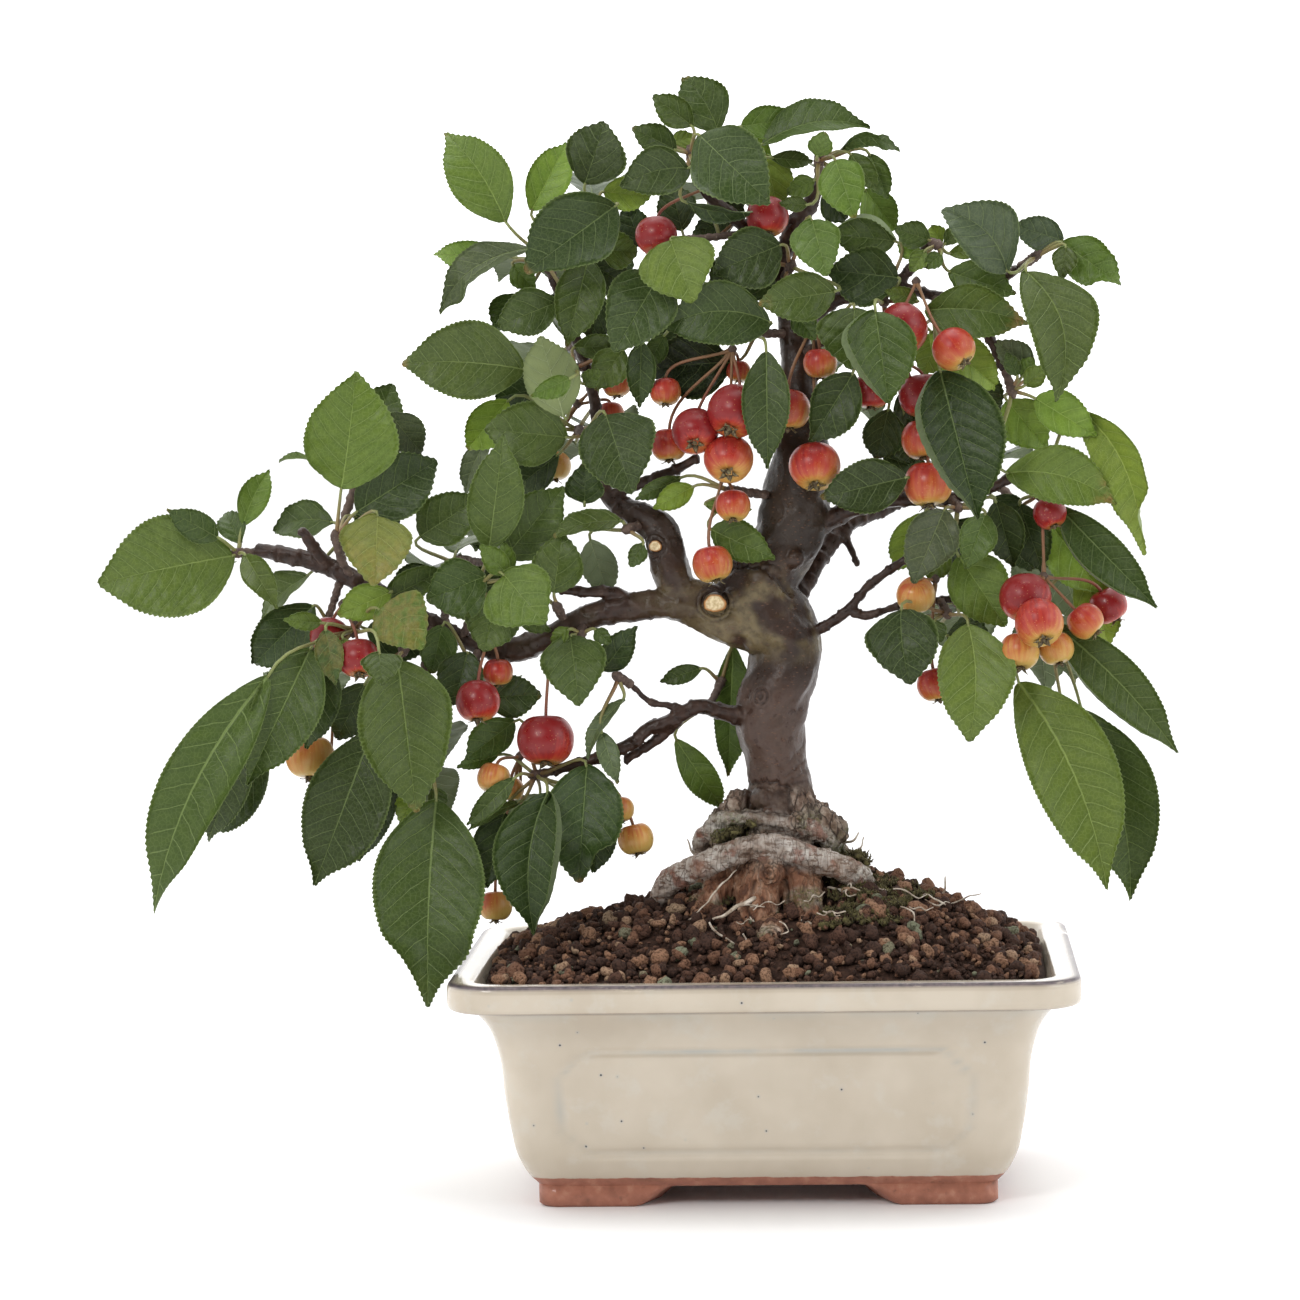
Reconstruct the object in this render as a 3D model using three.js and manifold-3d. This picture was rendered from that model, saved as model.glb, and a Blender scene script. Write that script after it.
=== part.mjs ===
// Crabapple bonsai: an old knotted tree in fruit, on a soil mound in a glazed rectangular pot.
// Millimetres, +Z up.  The pot's long front faces -Y, and the origin is at the middle of the
// whole object's footprint, on the surface that the feet stand on.
//
// The tree is set out in elevation.  A point (u, v, y) is u to the right and v up, as an eye
// 1400 mm in front of the pot reads it on the plane y = 0, carried along its sight line to
// the depth y.  Depths in front of the trunk are negative.

import * as THREE from "three";
import Module from "manifold-3d";

const wasm = await Module();
wasm.setup();

// ------------------------------------------------------------------ driving dimensions
const EYE = new THREE.Vector3(42, -1400, 275);
const GAP = 0.35; // clearance between separate pieces

const POT = {
  length: 200, depth: 149, height: 75,
  rimCorner: 16, rimWidth: 9, rimDrop: 8.6,
  footHeight: 7, footWidth: 12, footGapLong: 36, footGapShort: 26,
  floor: 15, holeX: 45, holeRadius: 9,
  panelHalf: 66, panelLow: 17.5, panelHigh: 52.8, panelNotch: 8, panelDepth: 0.9,
};
// height above the table and half length of the pot's outer wall there
const POT_PROFILE = [
  [7, 72], [10, 74.7], [15.5, 77.7], [26, 80.5], [37, 82.3], [50, 84], [60, 88], [65.6, 92.6],
];
const MESH = { side: 26, thick: 0.9 };
const SOIL = { ringPoints: 26, edge: 72, grain: 1.5, shrunk: 2.4 };
// across the mound at the trunk: place along the pot, height of the soil
const MOUND = [
  [-91, 73], [-79, 79], [-66, 84.5], [-50, 88.5], [-38, 93], [-20, 97], [0, 98], [20, 99],
  [31, 101.6], [44, 97.5], [57, 93], [74, 84.5], [87, 76], [91, 73],
];
const BLADE = { thick: 0.66, fold: 0.3, arch: 0.07, wave: 0.03 };
const SPUR = 2.3; // radius of the knot that a spray's leaves grow from
const PETIOLE = 0.62; // radius
const STALK = 0.62; // radius
const SLACK = { fine: 0.1, coarse: 0.45 }; // vertices that stand out less are merged away

// ------------------------------------------------------------------ the trunk and its wood
// each wood row is a list of [u, v, y, radius]
const TRUNK = [
  [3, 66, 2, 11], [3, 84, 1, 15.5], [2, 97, 0, 17], [3, 108, 0, 16], [4, 117, 0, 13.5],
  [5.2, 124, 0, 11.2], [5.3, 131, 0, 10.4], [3.4, 140, 0, 10.2], [1.6, 150, 0, 11.4],
  [4, 160, 1, 11.5], [6.8, 168, 1, 11.3], [7.2, 176, 1, 11.8], [3, 184, 0, 13],
  [-2, 191, -1, 12.5], [-1, 197, -1, 12], [3, 203, 0, 11], [8, 210, 1, 11],
  [11, 218, 1, 11.5], [12, 226, 1, 11], [13, 235, 0, 9.5], [13.5, 248, -1, 7.5],
  [13, 262, -1, 6], [12, 275, 0, 5], [10, 287, 1, 4], [6, 298, 0, 3.3], [0, 308, -2, 2.6],
  [-8, 316, -4, 2.2], [-16, 323, -5, 1.9], [-19.5, 330, -5, 1.6],
];
const LIMBS = [
  // left main limb, out to the tip of the crown
  [[0, 182, 0, 9.2], [-12, 184.2, -4, 8], [-20, 187.3, -6, 6.2], [-30, 189.5, -8, 5],
    [-42, 189, -9, 4.7], [-52, 187.2, -9, 4.4], [-62, 183.4, -8, 4], [-72, 178.6, -7, 4],
    [-80, 175.6, -6, 4.3], [-88, 175.5, -5, 3.4], [-97, 178.5, -4, 2.8], [-105, 183, -3, 2.8],
    [-118, 190, -3, 2.9], [-130, 197.4, -3, 3.1], [-144, 204.2, -2, 3], [-158, 208.2, -1, 2.7],
    [-166, 209.2, 0, 2.3]],
  // upper left limb
  [[-12, 188, -3, 6.5], [-21, 191, -6, 6.4], [-26.5, 194, -7, 6], [-29.3, 200, -8, 6.3],
    [-31.6, 208, -8, 6.2], [-33.2, 214, -7, 6], [-39, 218.4, -6, 4.9], [-47, 222.5, -4, 3.3],
    [-51.5, 228, -2, 2.3], [-53, 238, 0, 2.2], [-53, 250, 1, 2.1], [-55, 264, 2, 1.9],
    [-61, 281, 3, 1.8], [-66.5, 297, 3, 1.5]],
  [[-47, 222.5, -4, 2.2], [-45.5, 227, -3.5, 2], [-38, 229.5, -5, 1.9],
    [-30, 232.5, -6, 1.8], [-20, 237.5, -7, 1.5]],
  // lower left limb and its two small twigs
  [[0, 151, -1, 4], [-9, 153, -6, 3.1], [-15, 154.5, -8, 2.6], [-22, 156, -10, 2.5],
    [-27, 153.5, -11, 2.4], [-33, 150.5, -12, 2.3], [-38, 149, -12, 2.2],
    [-42, 145, -12, 2.2], [-47, 142.5, -12, 2.1], [-53, 140, -12, 2],
    [-60, 138, -12, 1.9], [-70, 135.3, -12, 1.7]],
  [[-27, 153.5, -11, 2], [-31, 148.6, -10, 1.7], [-38, 143.5, -9, 1.6], [-46, 138.5, -8, 1.5]],
  [[-26, 154.5, -11, 1.6], [-31, 156.5, -12, 1.2], [-37, 157.5, -13, 1.1],
    [-43.5, 163.5, -14, 0.9]],
  // right limb, its fork and the twig behind it
  [[4, 178, 0, 4], [17.5, 180.5, -4, 1.9], [24, 184, -5, 1.8], [29, 188, -6, 1.7],
    [34, 194, -7, 1.5], [39, 198, -8, 1.5], [46, 202.5, -8, 1.5], [54, 209, -8, 1.3]],
  [[28, 187, -6, 1.7], [33, 185, -7, 1.6], [38, 186, -8, 1.3], [46, 188.5, -8, 1.3],
    [62, 190, -8, 1.3], [76, 192, -10, 1.3], [85, 192, -12, 1.2]],
  // dark limb behind the trunk, to the right and rear
  [[6, 186, 2, 4], [14, 196, 10, 3.4], [19, 204, 14, 3.1], [27, 214, 20, 3], [40, 220, 28, 2.7],
    [54, 226, 34, 2.1]],
  [[52, 225, 33, 2], [59, 209, 39, 1.6], [63, 192, 43, 1.4]],
  [[26.5, 213.5, 19.5, 1.6], [29.5, 206, 17, 1.2], [31.5, 201, 16, 1]],
  // upper right limb
  [[10, 213, 1, 5], [18, 214.5, -1, 3.8], [30, 220, -3, 2.9], [40, 222, -5, 2.5],
    [52, 222.5, -7, 2.1], [64, 223, -9, 1.9], [76, 226.5, -11, 1.8], [86, 232, -12, 1.6]],
  // right hand side of the crown
  [[12.5, 275, 0, 3.4], [19, 283, -3, 2.5], [26, 288, -4, 2.3], [35, 288.5, -5, 2.1],
    [44, 292, -6, 2], [48.5, 296, -6, 1.8], [53, 301, -6, 1.6], [56, 306, -6, 1.4]],
  [[43, 291.7, -6, 1.9], [52, 290, -7, 1.8], [62, 287, -8, 1.8], [72, 279, -10, 1.7],
    [80, 264, -12, 1.6]],
  [[61, 287.3, -8, 1.7], [75, 291, -9, 1.6], [85, 297, -10, 1.5]],
  // apex, right half
  [[6, 297, 0, 2.9], [10, 306, -1, 3], [14.7, 315, -1, 3.3], [18.6, 321, -1, 2.4],
    [20.5, 327.5, -1, 1.5]],
  // rear limbs
  [[12.5, 240, 4, 5], [14, 247, 20, 3], [18, 254, 34, 2.2], [22, 260, 46, 1.7]],
  [[-55, 262, 3, 1.8], [-57, 268, 17, 1.5], [-60, 273, 31, 1.3]],
  // short dead twigs on the left limb
  [[-42, 190, -9, 2.3], [-47, 193.4, -10, 2], [-57, 194, -11, 1.8], [-67, 195, -12, 1.4]],
  [[-141, 201.3, -2, 2.2], [-146.5, 209.5, -6, 2], [-151, 216.3, -9, 1.6]],
];
// roots of the foot, from high on the trunk down into the soil
const ROOTS = [
  // upper belt
  [[-21.5, 107, -4, 3.2], [-20.5, 113, -8, 3.1], [-14, 118, -11, 3], [-5, 119, -13, 3],
    [8, 116.8, -14, 3.2], [17, 113.4, -11, 3], [23, 108.4, -4, 2.8]],
  // lower arch
  [[-36, 90, -6, 3.4], [-33, 98, -11, 3.9], [-26, 101.5, -16, 4], [-13, 106.8, -21, 4],
    [-5, 109.6, -22, 4.1], [2, 110, -22, 4.3], [9, 108, -22, 4.2], [23, 102.6, -18, 4.3],
    [29, 100, -14, 4.3], [33, 94, -9, 3.8], [34, 86, -6, 3]],
  // buttresses
  [[3, 120, -5, 9], [8, 105, -12, 8], [12, 92, -20, 6.5], [16, 80, -30, 4]],
  [[2, 118, -4, 8], [-1, 104, -13, 8], [-3, 90, -22, 7], [-2, 74, -34, 5]],
  [[0, 116, -4, 7], [-10, 104, -8, 7], [-17, 94, -16, 5.5], [-23, 84, -24, 3.5]],
  [[6, 118, 3, 8], [17, 110, 4, 7.5], [25, 102, 6, 6], [36, 90, 12, 3.5]],
  [[2, 118, 6, 8], [-10, 107, 12, 7], [-22, 97, 18, 5], [-32, 84, 26, 3.2]],
  [[6, 118, 8, 8], [8, 105, 18, 7.5], [12, 94, 28, 5.5], [18, 82, 40, 3.2]],
];
// burls and cut knots: [u, v, y, radius]
const KNOTS = [
  [-14, 112.5, -12, 4.6], [10.5, 117.5, -16.5, 3.2], [1, 101, -22, 5.4], [1, 79.5, -36, 5.4],
  [9, 126, -7, 4.6], [-9, 125, -4, 5.2], [18.5, 118.8, -3, 4.9], [-9, 191, -9, 4.2],
  [11, 204, -8, 3.4], [16, 214, -5, 4.2], [-6, 205, -6, 3.4], [10, 176, -7, 4],
  [-15.5, 189.7, -12.4, 3.4], [-34.7, 208.7, -12, 2.8], [-29, 211, -8, 3.2],
];

// ------------------------------------------------------------------ leaves and fruit
// Each spray: stem is [u, v, y, radius] from inside the limb that carries it to the spur.
// Each leaf: [u, v, y of the blade's foot, u, v, y of its tip, width, roll, bow], with roll in
// degrees about the midrib (0 turns the upper face to the eye) and bow to the left of the
// way from foot to tip.  Leaves under back turn their upper face up and to the rear.
const SPRAYS = {
  left_tip: {
    stem: [[-166, 208.8, 0, 0], [-172, 208.6, -2, 1.7]],
    leaves: [
      [-173.4, 207.8, -4, -218.5, 199.3, -14, 33.5, 0, -0.4],
      [-178.4, 213.8, -9, -195.3, 223.4, -20, 10],
      [-171, 212, 0, -176, 222.5, 7, 9],
      [-170, 217.8, 2, -160.6, 235.8, 6, 9.5, 0, 1],
      [-169.6, 208, -8, -159.7, 190.6, -18, 9.5],
    ],
    back: [[-176, 206, 6, -194, 200, 36, 20]],
  },
  left_droop: {
    stem: [[-130, 197.4, -3, 2.7], [-132.5, 189, -11, 1.2], [-134, 183, -14, 1.7]],
    leaves: [
      [-148.7, 177, -20, -171, 132, -34, 22],
      [-163, 168, -10, -203, 90, -16, 22, 0, -6],
      [-143, 172, -13, -151, 143.5, -15, 15],
      [-143.7, 183, -26, -140.8, 165, -32, 9],
      [-126, 175, -28, -125.5, 165, -35, 13],
      [-126, 189.5, -24, -112, 177, -34, 20, 0, 2],
      [-124, 192.5, -10, -103, 202.5, -15, 10],
      [-122, 195, -16, -139.5, 187.5, -20, 12],
      [-130, 183, 4, -108, 178, 8, 16],
    ],
  },
  left_droop_rear: {
    stem: [[-138, 200, -2.5, 2.4], [-143, 186, 2, 1.2], [-150, 172, 6, 1.7]],
    leaves: [
      [-147.5, 191, -1, -168.2, 171.5, 2, 19],
      [-170, 150, 2, -184.5, 113, 1, 15],
      [-165, 146, 9, -189, 115, 12, 22],
    ],
    back: [
      [-152, 168, 10, -160, 155, 44, 20],
      [-146, 170, 10, -144, 158, 40, 18],
    ],
  },
  left_low: {
    stem: [[-116, 189, -3, 2.7], [-117, 181, -12, 1.3], [-118, 176, -17, 1.8]],
    leaves: [
      [-120, 172.5, -24, -115, 122.5, -40, 31],
      [-129, 149.5, -16, -149.3, 98.5, -19, 27],
      [-131, 165, -8, -141, 146.5, -4, 15],
    ],
    back: [[-121, 168, -6, -122, 142, 30, 24]],
  },
  left_low_drop: {
    stem: [[-108, 184.8, -3, 2.8], [-111, 172, -11, 1.3], [-112, 156, -14, 1.2],
      [-111, 142, -15, 1.7]],
    leaves: [
      [-108.3, 126.3, -22, -112.5, 57.5, -42, 35.5, 0, -1.2],
      [-113, 130, -9, -121, 119, -7, 9],
      [-124, 140, -6, -134.5, 106, -2, 14],
    ],
    back: [
      [-112, 138, -6, -112, 112, 26, 22],
      [-108, 150, -4, -106, 138, 28, 18],
    ],
  },
  left_upper: {
    stem: [[-133, 198.6, -3, 2.5], [-138, 206, -8, 1.3], [-139.5, 213, -11, 1.8]],
    leaves: [
      [-137.4, 229, -14, -131.8, 267.4, -22, 30, 0, -0.5],
      [-132.5, 221.5, -10, -105.5, 238, -6, 22],
      [-125.6, 220.3, -20, -126.9, 197.4, -33, 23],
      [-133, 220, 4, -118, 212, 8, 16],
    ],
  },
  left_upper_rear: {
    stem: [[-137, 199.8, -2.5, 2.4], [-138, 212, 6, 1.5], [-131, 235, 8, 1.7]],
    leaves: [
      [-149, 201, 8, -165.7, 187, 14, 14, 50],
      [-140.5, 218.3, 12, -160.5, 216, 18, 14, 30, -1.5],
      [-121, 253.5, 4, -110.3, 240, 9, 12.5],
      [-131, 242, 12, -119.5, 263, 16, 18],
    ],
    back: [
      [-133, 238, 12, -137, 255, 38, 22],
      [-128, 232, 12, -117, 230, 40, 20],
    ],
  },
  mid_left: {
    stem: [[-98.5, 179.3, -4, 2.8], [-95.5, 188, -12, 1.2], [-93, 197, -17, 1.8]],
    leaves: [
      [-84.6, 200.3, -26, -71.2, 183.5, -36, 24],
      [-89.2, 208.6, -19, -83.6, 245.5, -26, 18],
      [-83.5, 200.5, -23, -92, 210, -28, 8],
      [-90.5, 199.8, -19, -110, 192.3, -22, 20],
      [-88, 188.5, -18, -91.5, 175.5, -25, 18],
    ],
  },
  mid_left_low: {
    stem: [[-93, 177, -4.5, 2.8], [-95, 170, -11, 1.6]],
    leaves: [
      [-97, 175, -14, -101.7, 157.5, -18, 15],
      [-91, 160, -6, -73, 160.5, -6, 14],
      [-105, 184, -6, -109, 168, -8, 12],
    ],
    back: [
      [-97, 168, 2, -100, 158, 34, 18],
      [-88, 164, 2, -84, 160, 30, 14],
    ],
  },
  mid_left_rear: {
    stem: [[-104, 182.5, -3, 2.8], [-104, 193, 6, 1.3], [-101, 204, 14, 1.6],
      [-92, 204, 31, 1.6]],
    leaves: [
      [-112, 213, -2, -91, 226, -8, 17],
      [-108, 202, 2, -121, 199, 4, 8],
      [-100, 200, 10, -84, 190, 14, 18],
    ],
    back: [
      [-100, 208, 18, -94, 212, 50, 20],
      [-106, 202, 16, -112, 200, 46, 20],
      [-88, 206, 36, -87, 217, 62, 20],
      [-84, 200, 35, -75, 191, 62, 22],
      [-92, 198, 36, -104, 193, 60, 20],
    ],
  },
  limb_over: {
    stem: [[-64, 183, -8, 3.3], [-67, 189, -13, 1.6]],
    leaves: [
      [-68.2, 193.8, -16, -65, 213.4, -18, 17],
      [-84, 206, -10, -64, 228.5, -13, 19],
    ],
  },
  limb_under: {
    stem: [[-58, 185.4, -8.5, 3.4], [-59.5, 180.5, -14, 1.6]],
    leaves: [
      [-63, 179.8, -17, -60.7, 157.4, -28, 21],
      [-52.5, 168.3, -8, -41.5, 182.3, -12, 10],
    ],
    back: [[-60, 174, -4, -61, 164, 26, 18]],
  },
  limb_bud: {
    stem: [[-38, 216.2, -7, 4.6], [-43.5, 214.5, -14, 1.5]],
    leaves: [
      [-45.6, 217.3, -15, -68.3, 213.5, -20, 12, 50],
      [-56, 211, 0, -50, 192.3, 2, 12, 180],
    ],
  },
  trunk_spur: {
    stem: [[8, 224, 0, 11.4], [-9, 226.5, -13, 1.6]],
    leaves: [
      [-16.4, 213.8, -18, 3.9, 204.2, -24, 13],
      [-22, 228, -13, -35, 221, -16, 8],
    ],
  },
  fork_left: {
    stem: [[-53, 242, 0, 2.2], [-57.5, 245, -4, 1.3], [-59, 247, 7, 1.5]],
    leaves: [
      [-57.5, 223.5, -14, -57, 236, -20, 12.5],
      [-50.1, 252, -16, -42, 226.6, -28, 26],
      [-62.9, 244.7, -8, -89.7, 248, -11, 21],
      [-66, 239, 8, -82, 227, 12, 13],
      [-82, 257, 6, -96, 241, 8, 14],
      [-87.5, 247, 12, -97.5, 226, 15, 9, 40],
      [-52, 262, 10, -50, 276, 14, 14],
    ],
    back: [
      [-60, 243, 14, -66, 238, 46, 22],
      [-55, 248, 14, -46, 242, 44, 22],
    ],
  },
  upper_left: {
    stem: [[-56.5, 268, 2.3, 1.9], [-60, 267, -5, 1.5]],
    leaves: [
      [-76.2, 267, -8, -116.6, 269.6, -13, 25, 0, -1.5],
      [-63.8, 251.6, -16, -71.1, 278.4, -22, 18, 180],
      [-61.4, 263.9, -24, -74.3, 258.3, -30, 7],
      [-43.7, 273, -6, -53.6, 260.4, -8, 12],
      [-60, 274, -3, -42.5, 274, -3, 8],
      [-66, 262, 10, -86, 258, 14, 13],
    ],
  },
  rear_upper_left: {
    stem: [[-60, 273, 31, 0], [-61, 274.5, 37, 1.5]],
    leaves: [],
    back: [
      [-62, 277, 40, -70, 286, 64, 20],
      [-57, 272, 40, -49, 266, 66, 20],
      [-66, 272, 39, -80, 268, 62, 20],
      [-58, 280, 38, -56, 292, 56, 18],
    ],
  },
  crown_left: {
    stem: [[-66.5, 297, 3, 0], [-68.5, 302.5, -3, 1.6], [-61, 310, 1, 1.1], [-51, 317, 0, 1.5]],
    leaves: [
      [-45.6, 319.6, -12, -75.3, 298.8, -22, 25],
      [-55.5, 326.7, -7, -48.5, 346.8, -6, 20],
      [-73.6, 306.4, -10, -105, 287.8, -14, 14, 45, -3.5],
      [-82, 303.6, 4, -106, 305.3, 8, 9],
      [-65, 288.8, -10, -85, 281.3, -13, 15],
      [-76, 291, 4, -86, 280, 6, 12],
      [-54.8, 302.6, -9, -62.3, 274.9, -16, 16],
      [-81.6, 315.2, -6, -101, 345, -3, 19.5, 0, -2],
      [-73, 318.6, 2, -61, 340.5, 6, 13.5],
      [-49.5, 324.3, 4, -34, 322.3, 6, 11],
      [-50, 290, 2, -55, 276, 5, 12],
      [-54, 301, 5, -42, 293.5, 8, 12],
      [-56, 296, 14, -40, 302, 18, 18],
    ],
    back: [
      [-72, 300, 8, -84, 297, 36, 16],
      [-62, 300, 10, -60, 290, 44, 22],
      [-53, 322, 8, -55, 328, 40, 22],
    ],
  },
  centre_left: {
    stem: [[-2, 310, -2.4, 2.5], [-12, 309, -7, 1.1], [-22, 308, -11, 1.6]],
    leaves: [
      [-27.9, 308.3, -17, -21.3, 288.5, -25, 25],
      [-31, 298, -13, -46.8, 272.6, -24, 23],
      [-24, 311, 2, -27.5, 326.3, 5, 13],
      [-15, 325, 3, -4, 314, 5, 10],
      [-37, 306, 4, -42.5, 320, 6, 10],
      [-6, 315.5, 1, -21, 310, 3, 9],
    ],
  },
  apex_left: {
    stem: [[-19.5, 330, -5, 0], [-21, 336, -8, 1.6], [-17, 338, 4, 1.2], [-12, 331, 17, 1.4]],
    leaves: [
      [-21.5, 331.3, -16, -43.5, 326, -22, 16, 0, -1.8],
      [-25.8, 337.3, -12, -39.6, 344.7, -16, 10],
      [-20.4, 345.1, -6, -32.8, 354.9, -8, 10],
      [-11.8, 343.1, -3, -22.6, 360.7, 0, 16.4, 0, -1.3],
      [-18, 342, -16, 4, 320, -28, 24],
      [3.5, 335, 6, 7, 318, 9, 15],
      [-4.4, 344.4, 0, 14.8, 346.8, 2, 11],
      [2.2, 338.4, -1, 37, 344.3, -5, 14, -40, 3],
      [-22.5, 320, -9, 0, 316, -14, 8, 50],
      [5, 334, 8, -5, 341, 10, 8],
      [5.5, 334, 2, 19, 332.5, 4, 5.5],
      [-27, 340, -2, -19.5, 341.5, -4, 6],
    ],
    back: [
      [-13, 330, 22, -12, 338, 50, 20],
      [-15, 324, 22, -26, 319, 44, 18],
      [-8, 326, 22, 3, 316, 46, 18],
    ],
  },
  apex_right: {
    stem: [[20.5, 327.5, -1, 0], [20.7, 333, -4, 1.5]],
    leaves: [
      [27.9, 335.8, -3, 46.8, 333.6, -5, 7, 50, 9.5],
      [25.9, 333, -13, 32.1, 314, -20, 15],
      [31, 334.8, -7, 39.4, 322.9, -10, 8],
      [37.2, 334.5, -3, 42.8, 320, -5, 9],
      [35.5, 323, 4, 45.3, 310, 6, 12],
      [22, 322.5, 3, 29, 313, 6, 10],
    ],
    back: [[24, 330, 6, 28, 324, 36, 16]],
  },
  centre_top: {
    stem: [[7.5, 293, 0.5, 3.7], [11, 299, -7, 1.5]],
    leaves: [
      [8, 306, -9, -14, 297.5, -12, 20],
      [18.1, 313.9, -18, 22.8, 295.5, -27, 16],
      [25.5, 290.5, -20, 0.5, 287, -25, 16],
      [-3, 301, 3, -15, 293, 6, 13],
      [6, 292, 4, -8, 296, 7, 13],
    ],
  },
  centre_mid_left: {
    stem: [[12, 277, 0, 4.8], [0, 277.5, -9, 1.6]],
    leaves: [
      [4.2, 281, -15, -31, 279.6, -19, 21, 0, -4.5],
      [-8.5, 268, -4, -35.8, 265.8, -2, 21.5, 0, -0.8],
      [2.6, 271.5, -13, 2.5, 233.6, -17, 15],
      [-38, 275.5, -8, -39, 253.9, -10, 9.5],
      [-30.5, 277.5, -5, -36.5, 266.5, -6, 7],
      [-20, 276, 12, -34, 268, 16, 18],
    ],
  },
  centre_mid: {
    stem: [[12.5, 269, -0.5, 5.4], [22, 275, -11, 1.6]],
    leaves: [
      [31.5, 285, -24, 30, 265, -32, 22],
      [30.7, 263.8, -13, 16.3, 241.7, -17, 16.5],
    ],
  },
  rear_centre: {
    stem: [[22, 260, 46, 0], [22.5, 261.5, 52, 1.6]],
    leaves: [],
    back: [
      [18, 258, 56, 10, 248, 78, 22],
      [25, 265, 56, 33, 268, 80, 22],
      [20, 266, 55, 16, 280, 76, 20],
      [28, 257, 54, 38, 249, 74, 20],
    ],
  },
  right_inner: {
    stem: [[38, 289.7, -5.3, 2.1], [41, 287, -12, 1.6]],
    leaves: [
      [38.2, 284, -18, 42, 254, -27, 23],
      [45, 306.5, -10, 24, 309, -12, 14],
      [46, 294.6, -10, 23, 297.5, -11, 19],
      [42, 252, 0, 38, 236, 3, 14],
      [46, 257.5, 3, 51.5, 245, 6, 10],
      [47, 249, 2, 49, 234, 5, 13],
    ],
  },
  limb_front: {
    stem: [[38, 221.7, -4.6, 2.6], [45, 226, -12, 1.5]],
    leaves: [
      [47.5, 229.8, -17, 19.5, 223.7, -20, 17],
      [40, 237, 4, 54, 232, 8, 11],
    ],
  },
  right_top: {
    stem: [[56, 306, -6, 0], [58.5, 305, -12, 1.5]],
    leaves: [
      [62.3, 296.2, -13, 83.7, 288.6, -17, 13],
      [56, 306.5, -9, 45, 310.5, -11, 9],
      [53, 302, -4, 46, 306.5, -3, 7],
      [60, 305.5, -2, 56.5, 311, -1, 6],
    ],
  },
  right_mid: {
    stem: [[58, 288.2, -7.7, 1.8], [57, 282, -13, 1.6]],
    leaves: [
      [54.6, 283.8, -18, 87.3, 279, -23, 17, 0, 2.2],
      [56, 277, 2, 79, 257, 6, 15],
      [59, 264, -24, 70.5, 216, -38, 27],
      [60, 277, 2, 53, 263, 5, 12],
      [66, 262, 8, 78, 250, 12, 16],
    ],
  },
  right_spur: {
    stem: [[80, 264, -12, 0], [82, 257.5, -15, 1.6]],
    leaves: [
      [89.5, 254.8, -17, 109, 242.4, -23, 13.5],
      [80, 230.6, -22, 115.5, 220, -28, 18.5, 0, 4],
      [80.5, 254, -4, 93, 238.5, -6, 16],
      [89, 264, -10, 77, 273.5, -13, 10],
    ],
  },
  right_far: {
    stem: [[85, 297, -10, 0], [90, 300.5, -12, 1.7]],
    leaves: [
      [81, 296, -20, 60.2, 316, -24, 20.5, 0, -4.6],
      [99, 304.8, -14, 117.6, 291, -20, 15],
      [87, 295.8, -22, 96, 253.8, -33, 22.5, 0, 7.5],
      [100, 303.5, -15, 98.5, 293.5, -18, 8],
      [99, 305.5, -9, 83, 311, -11, 11],
    ],
  },
  limb_drop: {
    stem: [[62, 222.9, -8.7, 1.9], [64, 220, -14, 1.5]],
    leaves: [
      [59.7, 219.2, -19, 49.4, 195.4, -28, 17],
      [73, 217.5, -20, 66.6, 200.2, -26, 12],
      [76.5, 221.5, -10, 82, 200, -13, 13],
      [64, 204, -14, 79, 181, -19, 20],
      [53, 218, 0, 43.5, 199.5, 4, 13],
      [76, 223, 0, 84, 216, 4, 9],
      [60, 214, 8, 72, 205, 12, 18],
    ],
  },
  right_branch: {
    stem: [[86, 232, -12, 0], [90, 224, -12, 1.6]],
    leaves: [
      [96.8, 219.2, -14, 128.1, 186.2, -19, 14],
      [94, 214, -8, 110, 191.5, -10, 18],
      [84, 220.5, -6, 91.5, 198, -8, 13],
      [104.6, 250.2, -16, 122, 203, -27, 16, 25, 8.6],
      [84, 214, 8, 88, 199, 12, 16],
    ],
  },
  rear_right: {
    stem: [[54, 226, 34, 0], [68, 232, 40, 1.6], [82, 222, 46, 1.5], [93, 205, 51, 1.5]],
    leaves: [],
    back: [
      [69, 240, 44, 72, 252, 68, 20],
      [62, 238, 46, 54, 240, 70, 20],
      [76, 236, 48, 86, 236, 72, 20],
      [96, 203, 55, 106, 195, 76, 22],
      [91, 200, 56, 90, 186, 76, 20],
      [88, 206, 55, 82, 212, 78, 18],
      [98, 198, 54, 103, 182, 64, 18],
    ],
  },
  rear_low_right: {
    stem: [[63, 192, 43, 0], [63.5, 189, 48, 1.5]],
    leaves: [],
    back: [
      [64, 185, 51, 66, 170, 70, 22],
      [58, 188, 51, 51, 180, 70, 20],
      [68, 190, 50, 76, 184, 70, 20],
    ],
  },
  right_low: {
    stem: [[58, 189.5, -8, 1.3], [60, 185.5, -13, 1.5]],
    leaves: [
      [67, 181.4, -20, 66.8, 143.5, -31, 25, 0, 2.2],
      [45.2, 187, -21, 47.8, 162.8, -30, 23.5, 0, -1],
      [44, 180, -3, 43, 166, -4, 14],
      [60, 178, 8, 74, 176, 12, 16],
    ],
  },
  right_low_tip: {
    stem: [[85, 192, -12, 0], [91, 191.5, -12, 1.5]],
    leaves: [
      [83, 162.5, -22, 111, 94, -38, 28, 0, 4.8],
      [103.5, 153, -12, 118.6, 90.5, -18, 24, 0, 4.5],
      [95, 181, -17, 134.4, 138.6, -23, 16, 0, 2.2],
      [104, 200, -2, 113, 173, 2, 14],
    ],
    back: [
      [96, 184, -2, 101, 164, 26, 20],
      [90, 180, 2, 92, 160, 30, 20],
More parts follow.
